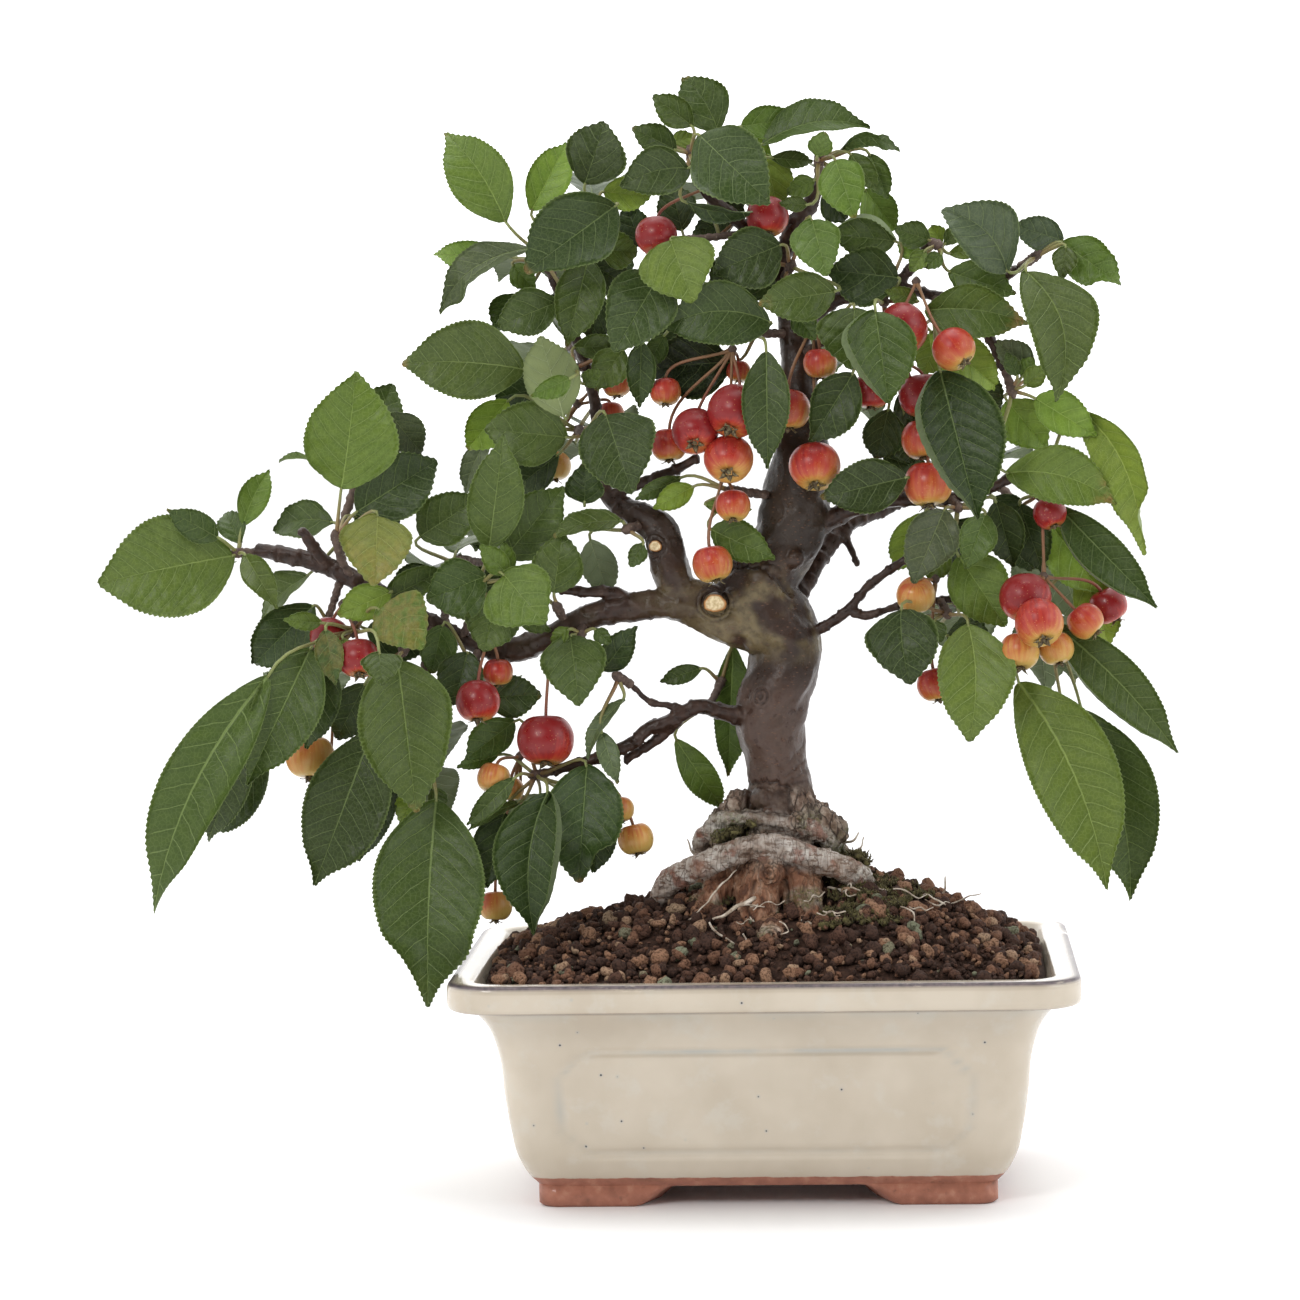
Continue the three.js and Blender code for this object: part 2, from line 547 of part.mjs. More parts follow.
      [98, 150, 0, 102, 128, 20, 22],
    ],
  },
  low_left: {
    stem: [[-70, 135.3, -12, 0], [-75, 134.2, -14, 1.7]],
    leaves: [
      [-58.5, 137, -20, -62, 98.6, -32, 25.5],
      [-71.6, 128.4, -27, -76.8, 81.6, -40, 22, 0, -4],
      [-86, 122, -14, -92.3, 97, -18, 14.5],
      [-81, 125, -18, -98.4, 116.3, -22, 7, 50],
      [-82.6, 133, -13, -98.5, 117.6, -15, 7],
      [-82, 152, -8, -98.5, 139.5, -12, 12],
      [-54, 122, -6, -57, 101.5, -5, 12],
    ],
    back: [
      [-74, 128, 0, -76, 108, 28, 22],
      [-66, 126, 0, -62, 110, 26, 20],
    ],
  },
  low_left_twig: {
    stem: [[-43.5, 163.5, -14, 0], [-47.5, 166, -18, 1.2]],
    leaves: [
      [-45.9, 158.8, -18, -59.8, 140.2, -22, 7, 50],
      [-53.5, 148, -21, -48.3, 131, -27, 7],
    ],
  },
  low_left_rear: {
    stem: [[-20, 155.6, -9.5, 2.6], [-17, 158, 1, 1.2], [-14, 164, 11, 1.4]],
    leaves: [
      [-29, 145, 3, -13.7, 121.5, 14, 10.5],
      [-9.8, 175.5, 14, -12.2, 132.5, 18, 12.5],
      [-20.5, 168.5, 8, -34, 164.2, 6, 6],
    ],
    back: [[-10, 164, 18, 0, 156, 46, 20]],
  },
};
// Each bunch: spur is where the stalks meet, beside the wood or the spray it grows from.
// Each fruit: [u, v, y, radius, and the lean of its eye away from straight down, to the
// right and to the front].
const BUNCHES = {
  centre_left: {
    spur: [-9, 273, -12],
    fruits: [
      [-8, 252.2, -22, 8.9, -0.3, 0.9], [-21, 246, -19, 7.6, 0, 1.4],
      [-10.2, 236.8, -21, 7.9, 0, 1.2], [-29.5, 241.7, -8, 6, 0, 0.2],
      [-30.5, 259, -10, 5, 0, 0.3], [-6.5, 265.2, -4, 3.9, 0, 0.2],
    ],
  },
  centre: {
    spur: [18, 281.5, -8],
    fruits: [
      [9.5, 252.5, -18, 7.3, 0, 0.2], [17.8, 234, -20, 8.2, 0, 0.6], [20, 267.4, -4, 5.5, 0, 0],
    ],
  },
  crown: {
    spur: [-12, 327, -9],
    fruits: [[-32.4, 309.7, -10, 6.8, 0, 0.5], [3.8, 315.2, -12, 7, 0, 0.4]],
  },
  right_centre: {
    spur: [52, 293.5, -14],
    fruits: [[47, 278.1, -26, 8.2, 0, 1.3], [63.4, 271.1, -31, 7, 0.8, 0.6]],
  },
  right_hang: {
    spur: [48, 268, -14],
    fruits: [
      [36.3, 258, -12, 6.3, 0, 0.2], [53.5, 256.3, -12, 8, 0, 0.2],
      [53.3, 242, -14, 7.2, 0, 0.2], [54.7, 227.5, -18, 8, 0, 0.2],
    ],
  },
  right_low: {
    spur: [92, 196.5, -18],
    fruits: [
      [85.5, 190.1, -28, 8.2, 0, 0.6], [90, 181.8, -40, 7.9, 0.2, 0.8],
      [83.6, 172.5, -30, 6.5, 0, 0.4], [95.5, 173.4, -26, 5.8, 0.2, 0.2],
      [105, 182.2, -24, 6, 0.9, 0.2], [112.5, 187.2, -10, 6.3, 0.5, 0],
      [93.9, 217.5, -18, 5.5, 0.3, 0.4],
    ],
  },
  right_yellow: {
    spur: [57, 196, -13],
    fruits: [[50.1, 191.5, -16, 6.3, 0, -0.6], [56.3, 162.2, -16, 6.2, 0.2, 0.2]],
  },
  left_big: { spur: [-69.5, 173, -14], fruits: [[-71.8, 145.7, -18, 9.2, 0, 0.3]] },
  mid_left: {
    spur: [-89, 181.5, -12],
    fruits: [[-93.9, 158.7, -24, 7.3, 0, 0.4], [-87, 168.2, -14, 5, 0, 0]],
  },
  trunk_left: {
    spur: [-12, 232, -17],
    fruits: [[-9, 221.6, -19, 5.6, 0, 0.4], [-16, 202.7, -22, 6.6, 0.2, 0.2]],
  },
  low_left: {
    spur: [-80, 140, -10],
    fruits: [
      [-89.1, 133.3, -22, 5.5, -0.2, 0.3], [-83.5, 129.5, -12, 4.2, 0, 0.3],
      [-89.6, 91, 2, 5.6, 0, 0.2], [-80, 98, 4, 4.7, 0, 0.2],
    ],
  },
  low_left_hang: {
    spur: [-52, 131, -14],
    fruits: [[-47.7, 122.5, -16, 4.7, 0, 0.3], [-42.8, 112.6, -18, 5.8, 0.2, 0.2]],
  },
  fork: {
    spur: [-60, 255, 8],
    fruits: [
      [-46.2, 262, 4, 5, 0, 0.2], [-48.5, 252, 8, 4.5, 0, 0.2],
      [-67, 235.5, 12, 5.5, 0, 0.2], [-76, 227.5, 14, 5.5, 0, 0.2],
    ],
  },
  left_droop: {
    spur: [-138, 191.5, -10],
    fruits: [[-142.5, 181, -12, 6.4, -0.2, 0.4], [-133, 173.5, -18, 6.8, 0.1, 0.5]],
  },
  left_low: {
    spur: [-141, 160, -6],
    fruits: [
      [-149.6, 141, -8, 8, 0, 0.2], [-143, 131, 2, 6.5, 0, 0.2], [-157, 150.5, 0, 6.6, 0, 0.2],
    ],
  },
};

// ------------------------------------------------------------------ finishes
const finish = (color, roughness) => new THREE.MeshStandardMaterial({
  color, roughness, metalness: 0,
});
const GLAZE = finish(0xd6cbb6, 0.25);
const SOIL_BROWN = finish(0x3d2a20, 0.95);
const NET_BLACK = finish(0x202020, 0.6);
const BARK = finish(0x7c6a60, 0.9);
const LEAF_GREEN = finish(0x4f6f35, 0.5);
const FRUIT_RED = finish(0xc2372a, 0.3);

// ------------------------------------------------------------------ small tools
const { PI, sin, cos, abs, max, min } = Math;
const vec = (x, y, z) => new THREE.Vector3(x, y, z);
const mix = THREE.MathUtils.lerp;

// the place of the elevation point (u, v) at depth y
function at(u, v, y) {
  return EYE.clone().lerp(vec(u, 0, v), 1 - y / EYE.y);
}

// height read off a list of [place, height] rows, straight between them
function along(rows, place) {
  const next = rows.findIndex((row) => row[0] >= place);
  if (next <= 0) return next === 0 ? rows[0][1] : rows.at(-1)[1];
  const [a, b] = [rows[next - 1], rows[next]];
  return mix(a[1], b[1], (place - a[0]) / (b[0] - a[0]));
}

// a closed manifold body from points and triangles
function body(points, faces) {
  const vertProperties = new Float32Array(points.flatMap((p) => [p.x, p.y, p.z]));
  const triVerts = new Uint32Array(faces.flat());
  return new wasm.Manifold(new wasm.Mesh({ numProp: 3, vertProperties, triVerts }));
}

const join = (bodies) => wasm.Manifold.union(bodies);

// faces between two rings of n points, which start at the point numbers lower and upper
function band(n, lower, upper, flipped = () => false) {
  return Array.from({ length: n }, (_, i) => {
    const j = (i + 1) % n;
    const [a, b, c, d] = [lower + i, lower + j, upper + j, upper + i];
    return flipped(i) ? [[a, b, d], [b, c, d]] : [[a, b, c], [a, c, d]];
  }).flat();
}

// a closed body through rings that turn counterclockwise about the way they are strung
function loft(rings) {
  const n = rings[0].length;
  const last = (rings.length - 1) * n;
  const faces = [];
  for (let i = 1; i < n - 1; i += 1) {
    faces.push([0, i + 1, i], [last, last + i, last + i + 1]);
  }
  for (let k = 0; k < rings.length - 1; k += 1) {
    faces.push(...band(n, k * n, (k + 1) * n));
  }
  return body(rings.flat(), faces);
}

// a closed tube along [{ p, r }], with a lumpy section where bump is given
function tube(path, sides, bump = () => 1) {
  const ways = path.map((_, i) => {
    const before = path[max(i - 1, 0)].p;
    const after = path[min(i + 1, path.length - 1)].p;
    return after.clone().sub(before).normalize();
  });
  const across = abs(ways[0].y) < 0.9 ? vec(0, 1, 0) : vec(1, 0, 0);
  const rings = path.map(({ p, r }, k) => {
    across.addScaledVector(ways[k], -across.dot(ways[k])).normalize();
    const other = ways[k].clone().cross(across);
    return Array.from({ length: sides }, (_, i) => {
      const angle = (2 * PI * i) / sides;
      const reach = r * bump(k, angle);
      return p.clone().addScaledVector(across, reach * cos(angle))
        .addScaledVector(other, reach * sin(angle));
    });
  });
  return loft(rings);
}

const woodPath = (rows) => rows.map(([u, v, y, r]) => ({ p: at(u, v, y), r }));

// a small lump: a ball of few sides
function lump(centre, r, sides = 5) {
  const rings = [[-0.85, 0.45], [-0.1, 1], [0.8, 0.55]];
  const path = rings.map(([h, w]) => ({ p: centre.clone().add(vec(0, 0, h * r)), r: w * r }));
  return tube(path, sides);
}

// the boxes of two bodies meet
function near(a, b) {
  return ["x", "y", "z"].every((_, k) => a.min[k] <= b.max[k] && b.min[k] <= a.max[k]);
}

// what is already placed: bodies that later leaves and fruit keep clear of
const placed = [];
function keep(solid) {
  placed.push({ solid, box: solid.boundingBox() });
  return solid;
}
function clear(solid, others) {
  const box = solid.boundingBox();
  return others.every((other) => !near(box, other.box)
    || solid.intersect(other.solid).volume() < 0.002);
}

// how far a piece moves along its sight line, mostly away from the trunk, to be clear
function settle(isClear, front) {
  const outward = front ? -1 : 1;
  for (let step = 0; step <= 18; step += 1) {
    if (isClear(1.5 * step * outward)) return 1.5 * step * outward;
    if (isClear(-0.75 * step * outward)) return -0.75 * step * outward;
  }
  throw new Error("no room for a leaf or a fruit");
}

// ------------------------------------------------------------------ pot
function roundRect(halfX, halfY, corner, z, perCorner = 4) {
  const points = [];
  for (let quarter = 0; quarter < 4; quarter += 1) {
    const [sx, sy] = [[1, 1], [-1, 1], [-1, -1], [1, -1]][quarter];
    for (let i = 0; i < perCorner; i += 1) {
      const angle = (PI / 2) * (quarter + i / (perCorner - 1));
      points.push(vec(
        sx * (halfX - corner) + corner * cos(angle),
        sy * (halfY - corner) + corner * sin(angle),
        z,
      ));
    }
  }
  return points;
}

const RIM_X = POT.length / 2;
const RIM_Y = POT.depth / 2;
const SHORTER = RIM_X - RIM_Y; // the same profile stands this much nearer on the short sides
const INNER_X = RIM_X - POT.rimWidth;
// half length of the pot's inner wall at height z
const innerHalf = (z) => min(INNER_X, along(POT_PROFILE, z) - 6.5 + 5 * max(0, (z - 60) / 15));

const potRing = (half, z) => roundRect(half, half - SHORTER, 6 + (half - 72) * 0.36, z);

function footRing() {
  const { footHeight: top, footWidth, footGapLong, footGapShort } = POT;
  const outer = loft([potRing(71, 0), potRing(72, 1.2), potRing(72, top + 0.6)]);
  const hollow = loft([
    roundRect(72 - footWidth, 72 - SHORTER - footWidth, 3, -1),
    roundRect(72 - footWidth, 72 - SHORTER - footWidth, 3, top),
  ]);
  const arch = (halfX, halfY) => loft([
    roundRect(halfX + 6, halfY + 6, 2, -1),
    roundRect(halfX + 5, halfY + 5, 2, 1),
    roundRect(halfX + 1, halfY + 1, 2, 4.6),
    roundRect(halfX - 5, halfY - 5, 2, top),
  ]);
  return outer.subtract(hollow)
    .subtract(arch(footGapLong, RIM_Y + 20))
    .subtract(arch(RIM_X + 20, footGapShort));
}

// a shallow frame sunk in the long faces: a band between two notched outlines
function panelBand() {
  const { panelHalf: half, panelLow: low, panelHigh: high, panelNotch: notch } = POT;
  const outline = (inset, y) => {
    const [x, z0, z1, n] = [half - inset, low + inset, high - inset, notch];
    return [
      [-x + n, z0], [x - n, z0], [x - n, z0 + n * 0.5], [x, z0 + n], [x, z1 - n],
      [x - n, z1 - n * 0.5], [x - n, z1], [-x + n, z1], [-x + n, z1 - n * 0.5], [-x, z1 - n],
      [-x, z0 + n], [-x + n, z0 + n * 0.5],
    ].map(([px, pz]) => vec(px, y, pz));
  };
  const slab = (inset) => loft([outline(inset, 100), outline(inset, -100)]);
  return slab(0).subtract(slab(2.2));
}

function buildPot() {
  const outer = POT_PROFILE.map(([z, half]) => potRing(half, z));
  const rimBottom = POT.height - POT.rimDrop;
  const rim = [
    roundRect(RIM_X - 1.5, RIM_Y - 1.5, POT.rimCorner - 1.5, rimBottom - 0.3),
    roundRect(RIM_X, RIM_Y, POT.rimCorner, rimBottom + 1),
    roundRect(RIM_X, RIM_Y, POT.rimCorner, POT.height - 1.4),
    roundRect(RIM_X - 1.2, RIM_Y - 1.2, POT.rimCorner - 1.2, POT.height),
    roundRect(INNER_X, RIM_Y - POT.rimWidth, POT.rimCorner - 5, POT.height),
  ];
  const inner = [71, 60, 37, POT.floor].map((z) => potRing(innerHalf(z), z));
  const shell = loft([...outer, ...rim, ...inner]);
  const cutDepth = POT_PROFILE.map(([z, half]) => potRing(half - POT.panelDepth, z));
  const panels = panelBand().subtract(loft(cutDepth));
  const holes = [-1, 1].map((side) => tube([
    { p: vec(side * POT.holeX, 0, POT.footHeight - 2), r: POT.holeRadius },
    { p: vec(side * POT.holeX, 0, POT.floor + 2), r: POT.holeRadius },
  ], 14));
  return join([shell, footRing()]).subtract(join([panels, ...holes]));
}

function buildNet(side) {
  const low = POT.floor + GAP;
  const half = MESH.side / 2;
  const plate = (z) => roundRect(half, half, 3, z, 3).map((p) => p.add(vec(side * POT.holeX, 0, 0)));
  return loft([plate(low), plate(low + MESH.thick)]);
}

// ------------------------------------------------------------------ soil
const grain = (x, y) => sin(x * 0.61 + 1.7 * sin(y * 0.43)) * cos(y * 0.57 + 1.3 * sin(x * 0.37));

// height of the soil before its grain is added
function moundHeight(x, y) {
  const away = abs(y) / (RIM_Y - POT.rimWidth);
  return mix(along(MOUND, x), SOIL.edge, min(1, away ** 1.5));
}

function soilRing(share) {
  const [halfX, halfY] = [INNER_X - SOIL.shrunk, RIM_Y - POT.rimWidth - SOIL.shrunk];
  return Array.from({ length: SOIL.ringPoints }, (_, i) => {
    const angle = (2 * PI * i) / SOIL.ringPoints;
    const reach = (abs(cos(angle)) ** 5 + abs(sin(angle)) ** 5) ** (-1 / 5);
    const [x, y] = [share * halfX * reach * cos(angle), share * halfY * reach * sin(angle)];
    const rough = share < 0.99 ? SOIL.grain * grain(x, y) : 0;
    return vec(x, y, moundHeight(x, y) + rough);
  });
}

function buildSoil(foot) {
  const fill = loft([POT.floor + GAP, 37, 60, 70.5].map((z) => (
    potRing(innerHalf(z) - 2 * GAP, z))));
  const shares = [1, 0.91, 0.79, 0.66, 0.52, 0.37, 0.2];
  const sunkEdge = soilRing(0.95).map((p) => vec(p.x, p.y, SOIL.edge - 5));
  const mound = loft([sunkEdge, ...shares.map(soilRing)]);
  const nets = [-1, 1].map((side) => {
    const half = MESH.side / 2 + GAP;
    const shift = vec(side * POT.holeX, 0, 0);
    const plate = (z) => roundRect(half, half, 3, z, 3).map((p) => p.add(shift));
    return loft([plate(POT.floor - 1), plate(POT.floor + 2 * GAP + MESH.thick)]);
  });
  return join([fill, mound]).subtract(join([foot, ...nets]));
}

// ------------------------------------------------------------------ tree
const knotted = (k, angle) => (
  1 + 0.07 * sin(3 * angle + 1.1 * k) + 0.05 * sin(5 * angle - 1.9 * k));
const gnarled = (k, angle) => 1 + 0.06 * sin(2 * angle + 1.7 * k);

// the trunk with its roots and the burls of its foot
function buildFoot(spare) {
  const grown = (rows) => rows.map(([u, v, y, r]) => [u, v, y, r + spare]);
  return [
    tube(woodPath(grown(TRUNK)), 8, knotted),
    ...ROOTS.map((rows) => tube(woodPath(grown(rows)), 5, gnarled)),
    ...KNOTS.slice(0, 7).map(([u, v, y, r]) => lump(at(u, v, y), r + spare)),
  ];
}

// where a spray's stem begins: beyond the skin of the wood that carries it
function stemStart(stem, beyond) {
  const [[u0, v0, y0, r0], [u1, v1, y1]] = stem;
  const from = at(u0, v0, y0);
  const way = at(u1, v1, y1).sub(from).normalize();
  return from.addScaledVector(way, r0 + beyond);
}

function buildTree() {
  const limbs = LIMBS.map((rows) => {
    const thickest = rows[0][3];
    return tube(woodPath(rows), thickest > 4 ? 6 : thickest > 2.1 ? 5 : 4, gnarled);
  });
  const knots = KNOTS.slice(7).map(([u, v, y, r]) => lump(at(u, v, y), r));
  return join([...buildFoot(0), ...limbs, ...knots]);
}

// ------------------------------------------------------------------ sprays
const outline = (t) => sin(PI * t ** 0.85) ** 0.8;

// a blade without its petiole, from its first row to its tip
function bareBlade(rows, tip, face, thick) {
  const end = [1, 1, 1, -1, -1, -1].map((sign, i) => tip.clone()
    .addScaledVector(face, sign * thick).lerp(rows.at(-1)[i], 0.04));
  return loft([...rows, end]);
}

// one leaf with its petiole from the point start, moved by shift along the sight lines;
// spare makes it that much fatter all round, to test that it is clear
function leaf(row, back, start, shift, spare, bare = false) {
  const [u0, v0, y0, u1, v1, y1, width, roll = 0, bow = 0] = row;
  const foot = at(u0, v0, y0 + shift);
  const tip = at(u1, v1, y1 + shift);
  const span = tip.clone().sub(foot);
  const length = span.length();
  const way = span.clone().normalize();
  const facing = back ? vec(0, 0.5, 1) : EYE.clone().sub(foot).normalize();
  const face = facing.addScaledVector(way, -facing.dot(way)).normalize()
    .applyAxisAngle(way, (roll * PI) / 180);
  const side = way.clone().cross(face);
  const half = (width / 2) * (1 + y0 / 1400) + spare;
  const thick = BLADE.thick / 2 + spare;
  const steps = length > 38 ? [0.18, 0.48, 0.8] : length > 15 ? [0.28, 0.7] : [0.45];

  const rowAt = (t, halfHere) => {
    const swell = 4 * t * (1 - t);
    const mid = foot.clone().addScaledVector(span, t)
      .addScaledVector(face, BLADE.arch * length * swell)
      .addScaledVector(side, -bow * swell);
    const edge = (sign) => {
      const wave = BLADE.wave * width * sin(9 * t + 2.3 * sign + u0);
      return mid.clone().addScaledVector(side, sign * halfHere)
        .addScaledVector(face, BLADE.fold * halfHere + wave);
    };
    const top = [edge(-1), mid, edge(1)];
    return [
      ...top.map((p) => p.clone().addScaledVector(face, thick)),
      ...top.reverse().map((p) => p.clone().addScaledVector(face, -thick)),
    ];
  };
  const stalkRing = (p, ahead) => {
    const across = ahead.clone().cross(face).normalize();
    const up = across.clone().cross(ahead);
    return [[-0.866, 0.5], [0.866, 0.5], [0, -1]].map(([s, h]) => p.clone()
      .addScaledVector(across, s * (PETIOLE + spare))
      .addScaledVector(up, h * (PETIOLE + spare)));
  };
  const reach = foot.clone().sub(start);
  const stalkWay = reach.clone().normalize();
  const meetWay = stalkWay.clone().add(way).normalize();
  const stalk = [
    stalkRing(start, stalkWay),
    stalkRing(foot.clone().addScaledVector(meetWay, -0.8), meetWay),
  ];

  const blade = steps.map((t) => rowAt(t, half * outline(t)));
  if (bare) return bareBlade(blade, tip, face, thick);
  const tips = [1, -1].map((sign) => tip.clone().addScaledVector(face, sign * thick));
  const points = [...stalk.flat(), ...blade.flat(), ...tips];
  const faces = [[0, 2, 1], ...band(3, 0, 3)];
  const [p, b] = [3, 6]; // the first points of the stalk's end and of the blade
  faces.push(
    [p, b + 1, b], [p, p + 1, b + 1], [p + 1, b + 2, b + 1], [p + 1, b + 3, b + 2],
    [p + 1, p + 2, b + 3], [p + 2, b + 4, b + 3], [p + 2, b + 5, b + 4], [p + 2, p, b + 5],
    [p, b, b + 5],
  );
  const underside = (i) => i === 3 || i === 4;
  for (let k = 0; k < blade.length - 1; k += 1) {
    faces.push(...band(6, b + 6 * k, b + 6 * k + 6, underside));
  }
  const e = b + 6 * (blade.length - 1);
  const [tTop, tLow] = [e + 6, e + 7];
  faces.push(
    [e, e + 1, tTop], [e + 1, e + 2, tTop], [e + 2, e + 3, tLow], [e + 2, tLow, tTop],
    [e + 3, e + 4, tLow], [e + 4, e + 5, tLow], [e + 5, e, tTop], [e + 5, tTop, tLow],
  );
  return body(points, faces);
}

// the stem of a spray, up to the knot that its leaves grow from
function sprayStem(stem, beyond, spare) {
  const nodes = woodPath(stem.slice(1));
  const spur = nodes.at(-1);
  const begin = { p: stemStart(stem, beyond - spare), r: 0.75 * nodes[0].r };
  const before = nodes.at(-2) ?? begin;
  const lastWay = spur.p.clone().sub(before.p).normalize();
  const knot = [[-1.5, 0.7], [0, 1], [1.7, 0.6]].map(([ahead, share]) => ({
    p: spur.p.clone().addScaledVector(lastWay, ahead), r: share * SPUR,
  }));
  spur.r = SPUR;
  const path = [begin, ...nodes.slice(0, -1), ...knot].map(({ p, r }) => ({ p, r: r + spare }));
  return { solid: tube(path, 5), nodes };
}

// where a petiole to the point target begins: inside the nearest joint of the stem
function petioleStart(nodes, target) {
  const { p, r } = nodes.reduce((best, node) => (
    node.p.distanceTo(target) < best.p.distanceTo(target) ? node : best));
  const way = target.clone().sub(p).normalize();
  return p.clone().addScaledVector(way, r < SPUR ? 0 : 0.4 * r);
}

// ------------------------------------------------------------------ fruit
function fruit(centre, r, eye, stalkFrom, spare) {
  const size = r + spare;
  const down = vec(eye[0], -eye[1], -1).normalize();
  const rows = [[0.88, 0.45], [0.36, 0.98], [-0.5, 0.88], [-1, 0.24]];
  const level = (h) => centre.clone().addScaledVector(down, -h * size * 0.96);
  const ball = tube(rows.map(([h, w]) => ({ p: level(h), r: w * size })), r > 7.5 ? 7 : 6);
  const stalk = tube([
    { p: level(0.7), r: STALK + spare }, { p: stalkFrom, r: STALK + spare },
  ], 3);
  return join([ball, stalk]);
}

// ------------------------------------------------------------------ assembly
const plant = new THREE.Group();

function addNode(name, solid, material) {
  const mesh = solid.getMesh();
  const geometry = new THREE.BufferGeometry();
  const places = new Float32Array(mesh.vertProperties);
  geometry.setAttribute("position", new THREE.BufferAttribute(places, 3));
  geometry.setIndex(new THREE.BufferAttribute(new Uint32Array(mesh.triVerts), 1));
  const node = new THREE.Mesh(geometry, material);
  node.name = name;
  plant.add(node);
}

const pot = keep(buildPot().simplify(SLACK.fine));
const soil = keep(buildSoil(join(buildFoot(2 * GAP))).simplify(SLACK.coarse));
const tree = keep(buildTree().simplify(SLACK.coarse));
addNode("pot", pot, GLAZE);
addNode("soil", soil, SOIL_BROWN);
addNode("drain_mesh_left", buildNet(-1), NET_BLACK);
addNode("drain_mesh_right", buildNet(1), NET_BLACK);
addNode("tree", tree, BARK);

const stems = Object.entries(SPRAYS).map(([name, spray]) => {
  let beyond = GAP;
  while (!clear(sprayStem(spray.stem, beyond, GAP).solid, placed) && beyond < 5) beyond += GAP;
  const stem = sprayStem(spray.stem, beyond, 0);
  keep(stem.solid);
  return { name, spray, stem, beyond };
});

for (const [name, bunch] of Object.entries(BUNCHES)) {
  const [su, sv, sy] = bunch.spur;
  const knot = (shift, spare) => lump(at(su, sv, sy + shift), 1.5 + spare, 4);
  const move = settle((shift) => clear(knot(shift, GAP), placed), true);
  const spur = at(su, sv, sy + move);
  const pieces = [knot(move, 0)];
  for (const [u, v, y, r, ...eye] of bunch.fruits) {
    const make = (shift, spare) => fruit(at(u, v, y + shift), r, eye, spur, spare);
    pieces.push(make(settle((shift) => clear(make(shift, GAP), placed), y < 0), 0));
  }
  const whole = join(pieces).simplify(SLACK.fine);
  keep(whole);
  addNode(`fruit_${name}`, whole, FRUIT_RED);
}

for (const { name, spray, stem } of stems) {
  const pieces = [stem.solid];
  const blades = [];
  const own = placed.findIndex((item) => item.solid === stem.solid);
  placed.splice(own, 1);
  const rows = [
    ...spray.leaves.map((row) => ({ row, back: false })),
    ...(spray.back ?? []).map((row) => ({ row, back: true })),
  ];
  for (const { row, back } of rows) {
    const start = petioleStart(stem.nodes, at(...row.slice(0, 3)));
    const make = (shift, spare, bare) => leaf(row, back, start, shift, spare, bare);
    const shift = settle((s) => clear(make(s, GAP), placed)
      && clear(make(s, GAP, true), blades), row[2] < 0);
    const blade = make(shift, 0, true);
    blades.push({ solid: blade, box: blade.boundingBox() });
    pieces.push(make(shift, 0));
  }
  const whole = join(pieces).simplify(SLACK.fine);
  keep(whole);
  addNode(`leaves_${name}`, whole, LEAF_GREEN);
}

// the origin goes to the middle of the whole object's footprint
const extent = new THREE.Box3().setFromObject(plant);
const middle = extent.getCenter(vec(0, 0, 0));
plant.children.forEach((node) => node.geometry.translate(-middle.x, -middle.y, -extent.min.z));

export default plant;
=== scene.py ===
"""Looks of the crabapple bonsai: fine leaves, fruit, bark, roots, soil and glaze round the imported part.

Places are written in millimetres, as the part's source sets them out: (u, v) is read in
elevation from EYE on the plane y = 0, and is carried along its sight line to the depth y.
"""
import math
import random
from functools import reduce

import bpy
import numpy as np
from mathutils import Matrix, Vector, noise
from mathutils.kdtree import KDTree


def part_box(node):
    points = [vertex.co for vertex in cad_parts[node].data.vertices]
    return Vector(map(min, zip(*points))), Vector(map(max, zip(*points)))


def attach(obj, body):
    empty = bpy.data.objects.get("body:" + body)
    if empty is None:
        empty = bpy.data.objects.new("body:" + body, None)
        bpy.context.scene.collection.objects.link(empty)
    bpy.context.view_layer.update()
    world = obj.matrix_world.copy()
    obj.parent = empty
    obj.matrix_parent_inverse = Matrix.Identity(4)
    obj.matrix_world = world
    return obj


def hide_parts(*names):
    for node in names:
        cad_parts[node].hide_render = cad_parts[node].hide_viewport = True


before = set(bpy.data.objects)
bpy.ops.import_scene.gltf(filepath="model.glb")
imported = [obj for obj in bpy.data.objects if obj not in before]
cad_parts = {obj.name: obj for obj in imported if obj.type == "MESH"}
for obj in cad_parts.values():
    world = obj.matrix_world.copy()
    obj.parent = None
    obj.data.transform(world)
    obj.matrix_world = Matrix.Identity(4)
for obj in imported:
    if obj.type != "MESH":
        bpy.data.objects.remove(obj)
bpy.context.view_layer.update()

MM = 0.001
EYE = np.array([42.0, -1400.0, 275.0])
POT_LOW, POT_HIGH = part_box("pot")
# the pot's middle, which the tables are set out from, in the row's frame
SHIFT = np.array([POT_LOW.x + POT_HIGH.x, POT_LOW.y + POT_HIGH.y, 0.0]) / (2 * MM)

